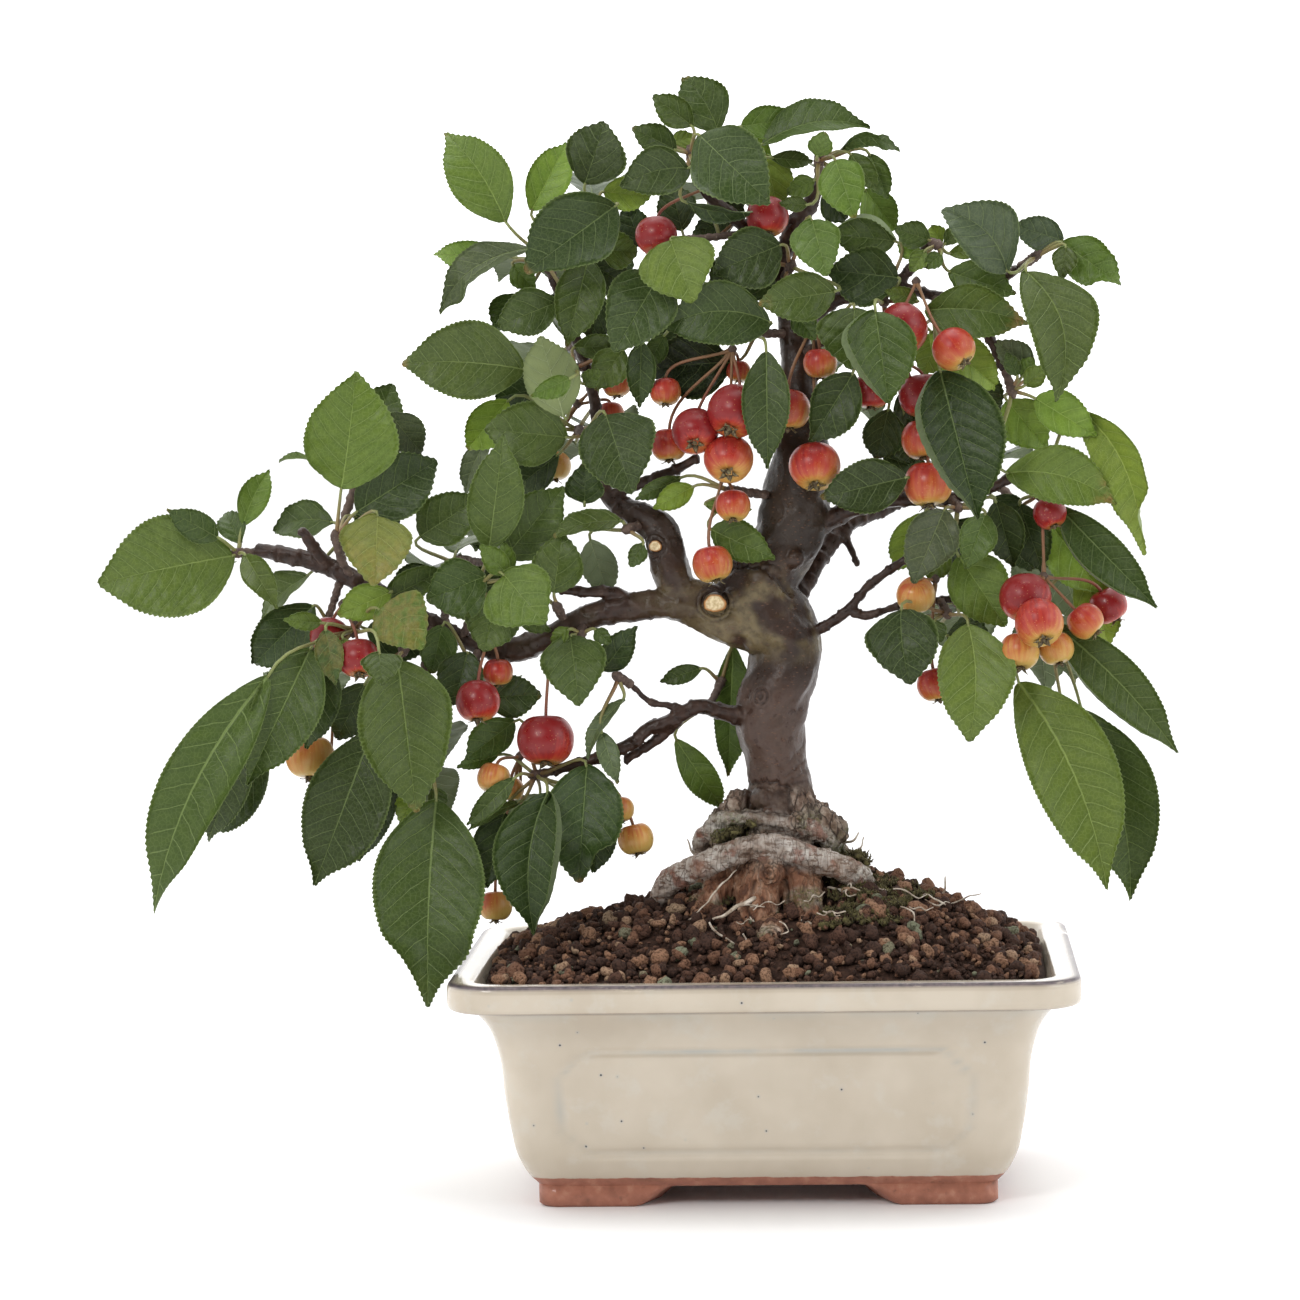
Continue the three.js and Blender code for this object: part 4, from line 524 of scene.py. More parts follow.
        "stem": [(85, 192, -12, 0), (91, 191.5, -12, 1.5)],
        "tones": "lmmp",
        "leaves": [
            (83, 162.5, -22, 111, 94, -38, 28, 0, 4.8),
            (103.5, 153, -12, 118.6, 90.5, -18, 24, 0, 4.5),
            (95, 181, -17, 134.4, 138.6, -23, 16, 0, 2.2), (104, 200, -2, 113, 173, 2, 14),
        ],
        "back_tones": "ddm",
        "back": [
            (96, 184, -2, 101, 164, 26, 20), (90, 180, 2, 92, 160, 30, 20),
            (98, 150, 0, 102, 128, 20, 22),
        ],
    },
    "low_left": {
        "stem": [(-70, 135.3, -12, 0), (-75, 134.2, -14, 1.7)],
        "tones": "dddmmmd",
        "leaves": [
            (-58.5, 137, -20, -62, 98.6, -32, 25.5), (-71.6, 128.4, -27, -76.8, 81.6, -40, 22, 0, -4),
            (-86, 122, -14, -92.3, 97, -18, 14.5), (-81, 125, -18, -98.4, 116.3, -22, 7, 50),
            (-82.6, 133, -13, -98.5, 117.6, -15, 7), (-82, 152, -8, -98.5, 139.5, -12, 12),
            (-54, 122, -6, -57, 101.5, -5, 12),
        ],
        "back_tones": "dd",
        "back": [(-74, 128, 0, -76, 108, 28, 22), (-66, 126, 0, -62, 110, 26, 20)],
        "small": [(-87.5, 141, -9, -101.5, 137, -10, 5)],
    },
    "low_left_twig": {
        "stem": [(-43.5, 163.5, -14, 0), (-47.5, 166, -18, 1.2)],
        "tones": "gg",
        "leaves": [(-45.9, 158.8, -18, -59.8, 140.2, -22, 7, 50), (-53.5, 148, -21, -48.3, 131, -27, 7)],
    },
    "low_left_rear": {
        "stem": [(-20, 155.6, -9.5, 2.6), (-17, 158, 1, 1.2), (-14, 164, 11, 1.4)],
        "tones": "llm",
        "leaves": [
            (-29, 145, 3, -13.7, 121.5, 14, 10.5), (-9.8, 175.5, 14, -12.2, 132.5, 18, 12.5),
            (-20.5, 168.5, 8, -34, 164.2, 6, 6),
        ],
        "back_tones": "m",
        "back": [(-10, 164, 18, 0, 156, 46, 20)],
    },
}
BUNCHES = {
    "centre_left": {
        "spur": (-9, 273, -12), "ripe": "rroooo",
        "fruits": [
            (-8, 252.2, -22, 8.9, -0.3, 0.9), (-21, 246, -19, 7.6, 0, 1.4),
            (-10.2, 236.8, -21, 7.9, 0, 1.2), (-29.5, 241.7, -8, 6, 0, 0.2),
            (-30.5, 259, -10, 5, 0, 0.3), (-6.5, 265.2, -4, 3.9, 0, 0.2),
        ],
    },
    "centre": {
        "spur": (18, 281.5, -8), "ripe": "ooo",
        "fruits": [(9.5, 252.5, -18, 7.3, 0, 0.2), (17.8, 234, -20, 8.2, 0, 0.6), (20, 267.4, -4, 5.5, 0, 0)],
    },
    "crown": {
        "spur": (-12, 327, -9), "ripe": "rr",
        "fruits": [(-32.4, 309.7, -10, 6.8, 0, 0.5), (3.8, 315.2, -12, 7, 0, 0.4)],
    },
    "right_centre": {
        "spur": (52, 293.5, -14), "ripe": "ro",
        "fruits": [(47, 278.1, -26, 8.2, 0, 1.3), (63.4, 271.1, -31, 7, 0.8, 0.6)],
    },
    "right_hang": {
        "spur": (48, 268, -14), "ripe": "rroo",
        "fruits": [
            (36.3, 258, -12, 6.3, 0, 0.2), (53.5, 256.3, -12, 8, 0, 0.2),
            (53.3, 242, -14, 7.2, 0, 0.2), (54.7, 227.5, -18, 8, 0, 0.2),
        ],
    },
    "right_low": {
        "spur": (92, 196.5, -18), "ripe": "royyorr",
        "fruits": [
            (85.5, 190.1, -28, 8.2, 0, 0.6), (90, 181.8, -40, 7.9, 0.2, 0.8),
            (83.6, 172.5, -30, 6.5, 0, 0.4), (95.5, 173.4, -26, 5.8, 0.2, 0.2),
            (105, 182.2, -24, 6, 0.9, 0.2), (112.5, 187.2, -10, 6.3, 0.5, 0),
            (93.9, 217.5, -18, 5.5, 0.3, 0.4),
        ],
    },
    "right_yellow": {
        "spur": (57, 196, -13), "ripe": "yo",
        "fruits": [(50.1, 191.5, -16, 6.3, 0, -0.6), (56.3, 162.2, -16, 6.2, 0.2, 0.2)],
    },
    "left_big": {
        "spur": (-69.5, 173, -14), "ripe": "r",
        "fruits": [(-71.8, 145.7, -18, 9.2, 0, 0.3)],
    },
    "mid_left": {
        "spur": (-89, 181.5, -12), "ripe": "ro",
        "fruits": [(-93.9, 158.7, -24, 7.3, 0, 0.4), (-87, 168.2, -14, 5, 0, 0)],
    },
    "trunk_left": {
        "spur": (-12, 232, -17), "ripe": "oo",
        "fruits": [(-9, 221.6, -19, 5.6, 0, 0.4), (-16, 202.7, -22, 6.6, 0.2, 0.2)],
    },
    "low_left": {
        "spur": (-80, 140, -10), "ripe": "yyyy",
        "fruits": [
            (-89.1, 133.3, -22, 5.5, -0.2, 0.3), (-83.5, 129.5, -12, 4.2, 0, 0.3),
            (-89.6, 91, 2, 5.6, 0, 0.2), (-80, 98, 4, 4.7, 0, 0.2),
        ],
    },
    "low_left_hang": {
        "spur": (-52, 131, -14), "ripe": "yy",
        "fruits": [(-47.7, 122.5, -16, 4.7, 0, 0.3), (-42.8, 112.6, -18, 5.8, 0.2, 0.2)],
    },
    "fork": {
        "spur": (-60, 255, 8), "ripe": "ooyo",
        "fruits": [
            (-46.2, 262, 4, 5, 0, 0.2), (-48.5, 252, 8, 4.5, 0, 0.2), (-67, 235.5, 12, 5.5, 0, 0.2),
            (-76, 227.5, 14, 5.5, 0, 0.2),
        ],
    },
    "left_droop": {
        "spur": (-138, 191.5, -10), "ripe": "rr",
        "fruits": [(-142.5, 181, -12, 6.4, -0.2, 0.4), (-133, 173.5, -18, 6.8, 0.1, 0.5)],
    },
    "left_low": {
        "spur": (-141, 160, -6), "ripe": "yoo",
        "fruits": [(-149.6, 141, -8, 8, 0, 0.2), (-143, 131, 2, 6.5, 0, 0.2), (-157, 150.5, 0, 6.6, 0, 0.2)],
    },
}

# the pot, as in the part's source, but for a slightly wider lower wall
LENGTH, DEPTH, HEIGHT = 200.0, 149.0, 75.0
RIM_WIDTH, RIM_DROP = 9.0, 8.6
FLOOR, HOLE_X, HOLE_RADIUS = 15.0, 45.0, 9.0
FLOOR_TOP, FLOOR_UNDER = FLOOR + 0.6, 7.0
PANEL = {"half": 66.0, "low": 17.5, "high": 52.8, "notch": 8.0}
POT_PROFILE = [
    (7, 73.4), (10, 76.1), (15.5, 79.1), (26, 81.7), (37, 83.3), (50, 84.8), (60, 88.3), (65.6, 92.6),
]
SHORTER = (LENGTH - DEPTH) / 2
SOIL_EDGE, SOIL_UNDER = 72.0, FLOOR + 1.4
# side veins: how far they lean and bend, and how far those of the two halves are set off
VEIN_LEAN, VEIN_BEND, VEIN_OFFSET = 0.62, 1.5, 0.22

# upper sides of the leaves by tone, in linear colour; the pale lime p paints in the glow of leaves lit from
# behind, and the grey-green g paints in the grey sheen that glossy leaves reflect
TONES = {
    "D": (0.013, 0.024, 0.008), "d": (0.032, 0.055, 0.013), "m": (0.058, 0.094, 0.018),
    "l": (0.098, 0.158, 0.026), "p": (0.190, 0.290, 0.040), "y": (0.150, 0.165, 0.034),
    "g": (0.080, 0.110, 0.055), "s": (0.250, 0.300, 0.170),
}
# redness of the fruits: red, orange, yellow
RIPENESS = {"r": 0.90, "o": 0.52, "y": 0.20}
# blades with one half rolled over, so that its pale underside shows: spray, place, side, share
CURLS = {
    ("right_mid", 2): (1, 0.75), ("right_inner", 0): (1, 0.7), ("low_left", 1): (-1, 0.7),
    ("right_low_tip", 2): (1, 0.55), ("right_branch", 0): (1, 0.55), ("right_inner", 1): (1, 0.8),
    ("crown_left", 2): (-1, 0.5), ("left_droop", 1): (-1, 0.35),
}
# blades twisted toward the tip, in radians
TURNS = {
    ("apex_right", 0): 1.0, ("right_branch", 3): -0.7, ("left_low_drop", 0): 0.5,
    ("right_far", 1): 0.8, ("crown_left", 2): 0.9, ("low_left", 0): -0.6,
}
# blades with brown places: where they start and end along the blade, all over for a start of 0, and how much
DRY = {
    ("right_mid", 0): (0.72, 0.98, 0.9), ("right_spur", 1): (0.75, 0.98, 0.9),
    ("left_droop", 5): (0.0, 0.9, 0.35), ("left_upper", 2): (0.2, 0.9, 0.3),
    ("centre_top", 2): (0.8, 1.0, 0.6), ("left_droop", 3): (0.0, 1.0, 0.25),
}


# ------------------------------------------------------------------ small tools
def at(u, v, y=0.0):
    """The place of the elevation point (u, v) at depth y."""
    return EYE + (np.array([u, 0.0, v]) - EYE) * (1 + y / -EYE[1])


def unit(v):
    v = np.asarray(v, float)
    return v / np.maximum(np.linalg.norm(v, axis=-1, keepdims=True), 1e-9)


def smooth(low, high, x):
    t = np.clip((np.asarray(x, float) - low) / (high - low), 0, 1)
    return t * t * (3 - 2 * t)


def circle(sides):
    """The angles of points round a circle."""
    return np.arange(sides) * 2 * math.pi / sides


def grid_faces(rows, cols, closed=False, flip=False):
    """Quads of a grid of points, whose columns may close into a ring."""
    i, j = np.meshgrid(np.arange(rows - 1), np.arange(cols if closed else cols - 1), indexing="ij")
    i, j = i.ravel(), j.ravel()
    k = (j + 1) % cols
    quads = np.stack([i * cols + j, i * cols + k, (i + 1) * cols + k, (i + 1) * cols + j], 1)
    return quads[:, ::-1] if flip else quads


def end_caps(rows, sides, flip=False):
    """Triangles that close the first and last ring, from the two points that follow the rings."""
    i = np.arange(sides)
    j = (i + 1) % sides
    last = (rows - 1) * sides
    tris = np.concatenate([np.stack([np.full(sides, rows * sides), j, i], 1),
                           np.stack([np.full(sides, rows * sides + 1), last + i, last + j], 1)])
    return tris[:, [0, 2, 1]] if flip else tris


def tree_of(points):
    """The points, arranged so that the nearest of them is found fast."""
    tree = KDTree(len(points))
    for i, p in enumerate(points):
        tree.insert(p, i)
    tree.balance()
    return tree


def added(name, data):
    """A new object in the scene."""
    obj = bpy.data.objects.new(name, data)
    bpy.context.scene.collection.objects.link(obj)
    return obj


def worked(obj):
    """What the modifiers make of the object's mesh; the object itself goes."""
    bpy.context.view_layer.update()
    mesh = bpy.data.meshes.new_from_object(obj.evaluated_get(bpy.context.evaluated_depsgraph_get()))
    bpy.data.objects.remove(obj)
    return mesh


class Part:
    """Some points in millimetres, with their faces, finish and values for the materials."""

    def __init__(self, points, quads=(), tris=(), finish=0, **values):
        self.points = np.asarray(points, float).reshape(-1, 3)
        self.quads = np.asarray(quads, int).reshape(-1, 4)
        self.tris = np.asarray(tris, int).reshape(-1, 3)
        self.finish = finish
        self.values = values

    def value(self, key, wide):
        """The value at each point, 0 where the part has none."""
        shape = (len(self.points), 3) if wide else (len(self.points),)
        return np.broadcast_to(np.asarray(self.values.get(key, 0.0), float), shape)


def paint(mesh, key, values):
    """Gives each point of the mesh a number or a vector, for the materials."""
    wide = values.ndim == 2
    layer = mesh.attributes.new(key, "FLOAT_VECTOR" if wide else "FLOAT", "POINT")
    layer.data.foreach_set("vector" if wide else "value", values.astype(np.float32).ravel())


def piece(name, parts, finishes, nodes=()):
    """One object from parts; finishes are its materials, and nodes the solids it stands for."""
    points = np.concatenate([p.points for p in parts])
    loops, sizes, finish, start = [], [], [], 0
    for p in parts:
        for faces in (p.quads, p.tris):
            loops.append((faces + start).ravel())
            sizes.append(np.full(len(faces), faces.shape[1]))
            finish.append(np.full(len(faces), p.finish))
        start += len(p.points)
    loops, sizes, finish = (np.concatenate(x) for x in (loops, sizes, finish))
    mesh = bpy.data.meshes.new(name)
    mesh.vertices.add(len(points))
    mesh.vertices.foreach_set("co", ((points + SHIFT) * MM).astype(np.float32).ravel())
    mesh.loops.add(len(loops))
    mesh.loops.foreach_set("vertex_index", loops.astype(np.int32))
    mesh.polygons.add(len(sizes))
    starts = np.concatenate([[0], np.cumsum(sizes)[:-1]])
    mesh.polygons.foreach_set("loop_start", starts.astype(np.int32))
    mesh.polygons.foreach_set("material_index", finish.astype(np.int32))
    mesh.polygons.foreach_set("use_smooth", np.full(len(sizes), True))
    for key in sorted({k for p in parts for k in p.values}):
        wide = next(np.shape(p.values[key])[-1:] == (3,) for p in parts if key in p.values)
        paint(mesh, key, np.concatenate([p.value(key, wide) for p in parts]))
    mesh.update(calc_edges=True)
    for m in finishes:
        mesh.materials.append(m)
    return show(mesh, name, nodes)


def show(mesh, name, nodes=()):
    obj = added(name, mesh)
    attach(obj, "root")
    if nodes:
        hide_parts(*nodes)
    return obj


def strand(rows, step=1.5):
    """A smooth line through [u, v, y, radius] rows: its points, and the radius at each."""
    return spline(np.array([[*at(u, v, y), r] for u, v, y, r in rows]), step)


def between(knots, s, slopes, place):
    """Values at each place of a curve through knots at s, with these slopes."""
    k = np.clip(np.searchsorted(s, place, side="right") - 1, 0, len(s) - 2)
    h = s[k + 1] - s[k]
    t = (place - s[k]) / h
    return ((1 + 2 * t) * (1 - t) ** 2 * knots[..., k] + t * (1 - t) ** 2 * h * slopes[..., k]
            + t * t * (3 - 2 * t) * knots[..., k + 1] + t * t * (t - 1) * h * slopes[..., k + 1])


def spline(knots, step):
    """Points about a step apart on a smooth line through knots, and the knots' last value at each."""
    gaps = np.linalg.norm(np.diff(knots[:, :3], axis=0), axis=1)
    s = np.concatenate([[0], np.cumsum(gaps)])
    slopes = np.gradient(knots, s, axis=0) if len(s) > 2 else np.diff(knots, axis=0)[[0, 0]] / s[1]
    place = np.linspace(0, s[-1], max(3, int(s[-1] / step) + 1))
    line = between(knots.T, s, slopes.T, place).T.copy()
    return line[:, :3], line[:, 3]


def tube(path, radii, sides, ripple=None, finish=0, **values):
    """A closed tube along a path; ripple(k, angles) swells its sections."""
    path = np.asarray(path, float)
    radii = np.broadcast_to(radii, len(path))
    ways = unit(np.gradient(path, axis=0))
    across = np.cross(ways[0], [0.3, 0.9, 0.2])
    angles = circle(sides)
    rings = []
    for k, way in enumerate(ways):
        across = unit(across - across.dot(way) * way)
        other = np.cross(way, across)
        reach = radii[k] * (ripple(k, angles) if ripple else 1.0) * np.ones(sides)
        rings.append(path[k] + reach[:, None] * (np.cos(angles)[:, None] * across
                                                 + np.sin(angles)[:, None] * other))
    n = len(path)
    for key, v in values.items():
        if np.ndim(v) == 1 and len(v) == n:
            values[key] = np.concatenate([np.repeat(v, sides), v[:1], v[-1:]])
    return Part(np.concatenate([*rings, path[:1], path[-1:]]), grid_faces(n, sides, closed=True),
                end_caps(n, sides), finish, **values)


def ribbed(deep, waves, turn=1.0):
    """A ripple of so many waves round a tube, which turns from section to section."""
    return lambda k, a: 1 + deep * np.sin(waves * a + turn * k)


def knobbly(seed, deep):
    """An uneven ripple, for wood."""
    return lambda k, a: (1 + deep * np.sin(3 * a + 0.31 * k + seed)
                         + 0.6 * deep * np.sin(5 * a - 0.47 * k + 2 * seed))


def bent(start, end, way, bulge, count):
    """A curve from start to end, where it arrives along way."""
    start, end = np.asarray(start), np.asarray(end)
    reach = np.linalg.norm(end - start)
    first = start + (end - start) * 0.35
    second = end - np.asarray(way) * reach * bulge
    t = np.linspace(0, 1, count)[:, None]
    return ((1 - t) ** 3 * start + 3 * t * (1 - t) ** 2 * first + 3 * t * t * (1 - t) * second + t ** 3 * end)


# ------------------------------------------------------------------ materials
class Finish:
    """A material on the standard shader, with short names for the nodes that it uses."""

    def __init__(self, name, **sockets):
        self.material = bpy.data.materials.new(name)
        self.material.use_nodes = True
        self.tree = self.material.node_tree
        self.done(**sockets)

    def put(self, kind, settings=(), **inputs):
        """A new node; an input goes by its name, or by its number after an underscore."""
        node = self.tree.nodes.new("ShaderNode" + kind)
        for key, value in dict(settings).items():
            setattr(node, key, value)
        for key, value in inputs.items():
            self.feed(node.inputs[int(key[1:]) if key[1:].isdigit() else key.replace("_", " ")], value)
        return node

    def feed(self, socket, value):
        if isinstance(value, bpy.types.NodeSocket):
            self.tree.links.new(value, socket)
        elif isinstance(value, tuple) and socket.type == "RGBA":
            socket.default_value = (*value, 1.0)[:4]
        else:
            socket.default_value = value

    def place(self, stretch=(1, 1, 1)):
        """Millimetres in the part's frame, stretched."""
        where = self.put("TexCoord").outputs["Object"]
        scale = tuple(s / MM for s in stretch)
        return self.put("VectorMath", {"operation": "MULTIPLY"}, _0=where, _1=scale).outputs[0]

    def up(self):
        return self.parts(self.place())[2]

    def value(self, name):
        return self.put("Attribute", {"attribute_name": name}).outputs["Fac"]

    def vector(self, name):
        return self.put("Attribute", {"attribute_name": name}).outputs["Vector"]

    def parts(self, vector):
        return self.put("SeparateXYZ", Vector=vector).outputs

    def noise(self, size, detail=4.0, rough=0.55, where=None):
        """Noise from 0 to 1 with lumps about size millimetres across."""
        return self.put("TexNoise", Vector=where or self.place(), Scale=1 / size,
                        Detail=detail, Roughness=rough).outputs["Fac"]

    def cells(self, size, where=None, feature="F1"):
        """Distance from the middles, or from the edges, of cells about size millimetres across."""
        return self.put("TexVoronoi", {"feature": feature}, Vector=where or self.place(),
                        Scale=1 / size).outputs["Distance"]

    def edges(self, size, where=None):
        return self.cells(size, where, "DISTANCE_TO_EDGE")

    def math(self, operation, a, b=0.0):
        return self.put("Math", {"operation": operation}, _0=a, _1=b).outputs[0]

    def times(self, *values):
        return reduce(lambda a, b: self.math("MULTIPLY", a, b), values)

    def plus(self, *values):
        return reduce(lambda a, b: self.math("ADD", a, b), values)

    def minus(self, a, b):
        return self.math("SUBTRACT", a, b)

    def rise(self, value, low, high, a=0.0, b=1.0):
        """a up to low, b from high on, and eased between them."""
        return self.put("MapRange", {"interpolation_type": "SMOOTHSTEP"}, Value=value, From_Min=low,
                        From_Max=high, To_Min=a, To_Max=b).outputs[0]

    def fall(self, value, low, high, a=1.0):
        """a up to low, 0 from high on, and eased between them."""
        return self.rise(value, low, high, a, 0.0)

    def ramp(self, value, *stops):
        node = self.put("ValToRGB", Fac=value)
        while len(node.color_ramp.elements) < len(stops):
            node.color_ramp.elements.new(0.5)
        for element, (place, colour) in zip(node.color_ramp.elements, stops):
            element.position, element.color = place, (*colour, 1.0)
        return node.outputs["Color"]

    def mix(self, share, a, b, blend="MIX"):
        node = self.put("Mix", {"data_type": "RGBA", "blend_type": blend})
        for socket, value in zip((node.inputs[0], node.inputs[6], node.inputs[7]), (share, a, b)):
            self.feed(socket, value)
        return node.outputs[2]

    def filtered(self, colour, tint):
        return self.mix(1.0, colour, tint, "MULTIPLY")

    def shaded(self, share, colour, tint):
        """The colour, seen through a tint over a share of it."""
        return self.mix(share, colour, self.filtered(colour, tint))

    def bump(self, height, distance, strength=1.0):
        """Relief of height (0 to 1) times distance millimetres."""
        return self.put("Bump", Height=height, Distance=distance * MM, Strength=strength).outputs[0]

    def done(self, **inputs):
        for key, value in inputs.items():
            self.feed(self.tree.nodes["Principled BSDF"].inputs[key.replace("_", " ")], value)
        return self.material


def vein_lines(f):
    """Masks of a blade's side veins and midrib, the way to the nearest vein, and how near the edge is."""
    t, across, share = f.parts(f.vector("blade"))
    out = f.math("ABSOLUTE", across)
    run = f.minus(t, f.times(out, VEIN_LEAN))
    run = f.minus(run, f.times(out, out, VEIN_BEND))
    wobble = f.times(f.minus(f.noise(7.0, 1.0), 0.5), 0.35)
    phase = f.plus(f.times(run, f.value("veins")), wobble)
    phase = f.plus(phase, f.times(f.math("SIGN", across), VEIN_OFFSET))
    off = f.math("ABSOLUTE", f.minus(f.math("FRACT", phase), 0.5))
    edge = f.math("ABSOLUTE", share)
    side_vein = f.times(f.fall(off, 0.0, 0.05), f.fall(edge, 0.7, 1.0))
    rib = f.fall(f.math("DIVIDE", out, f.rise(t, 0.0, 1.0, 0.009, 0.0025)), 0.35, 1.0)
    return side_vein, rib, off, edge


def leaf_finish(name, under):
    f = Finish(name, Roughness=0.62 if under else 0.38, Specular_IOR_Level=0.24)
    side_vein, rib, off, edge = vein_lines(f)
    lines = f.math("MAXIMUM", f.times(side_vein, 0.9), rib)
    net_line = f.fall(f.edges(1.5), 0.0, 0.13)
    base = f.shaded(f.rise(f.noise(6.0, 3.0), 0.35, 0.7, 0.0, 0.35), f.vector("tint"), (1.35, 1.25, 1.1))
    base = f.shaded(f.rise(f.noise(0.5, 2.0), 0.3, 0.8, 0.0, 0.25), base, (0.7, 0.75, 0.7))
    # painted shade: darker on the flanks of the sunken veins, full colour on the swollen quilts between them
    base = f.shaded(f.fall(off, 0.06, 0.4, 0.45), base, (0.66, 0.7, 0.66))
    if under:
        base = f.mix(0.55, base, (0.20, 0.25, 0.13))
        base = f.mix(f.times(lines, 0.6), base, (0.36, 0.42, 0.22))
    else:
        pale = f.mix(0.5, f.filtered(base, (2.8, 2.5, 2.2)), (0.24, 0.31, 0.13))
        base = f.mix(f.times(net_line, 0.16), base, pale)
        base = f.mix(f.times(lines, 0.72), base, pale)
        base = f.mix(f.times(f.rise(edge, 0.93, 1.0), 0.35), base, (0.26, 0.34, 0.12))
    dry = f.times(f.value("dry"), f.rise(f.noise(3.0, 4.0), 0.35, 0.62))
    base = f.mix(dry, base, f.ramp(f.noise(1.2), (0.3, (0.16, 0.07, 0.02)), (0.7, (0.34, 0.22, 0.07))))
    swollen = f.rise(off, 0.0, 0.5)
    if under:
        height = f.plus(f.times(swollen, -0.4), f.times(lines, 0.8))
    else:
        height = f.minus(f.times(swollen, 0.5), f.times(lines, 0.5))
    height = f.plus(height, f.times(net_line, 0.12 if under else -0.12))
    return f.done(Base_Color=base, Normal=f.bump(height, 0.35, 0.8))


def stalk_finish():
    f = Finish("stalk", Roughness=0.5)
    colour = f.ramp(f.value("blush"), (0.0, (0.20, 0.27, 0.08)), (0.5, (0.24, 0.14, 0.06)),
                    (1.0, (0.22, 0.035, 0.025)))
    colour = f.mix(f.rise(f.noise(1.5), 0.4, 0.7, 0.0, 0.4), colour, (0.14, 0.09, 0.04))
    return f.done(Base_Color=colour, Normal=f.bump(f.noise(0.5), 0.1, 0.5))


def twig_finish():
    f = Finish("twig", Roughness=0.75)
    colour = f.ramp(f.noise(2.2), (0.3, (0.055, 0.034, 0.026)), (0.62, (0.12, 0.078, 0.06)),
                    (0.8, (0.20, 0.15, 0.12)))
    dots = f.fall(f.cells(1.6), 0.12, 0.26)
    colour = f.mix(f.times(dots, 0.5), colour, (0.26, 0.20, 0.15))
    height = f.plus(f.noise(0.8, 5.0), f.times(dots, 0.4))
    return f.done(Base_Color=colour, Normal=f.bump(height, 0.4, 0.9))


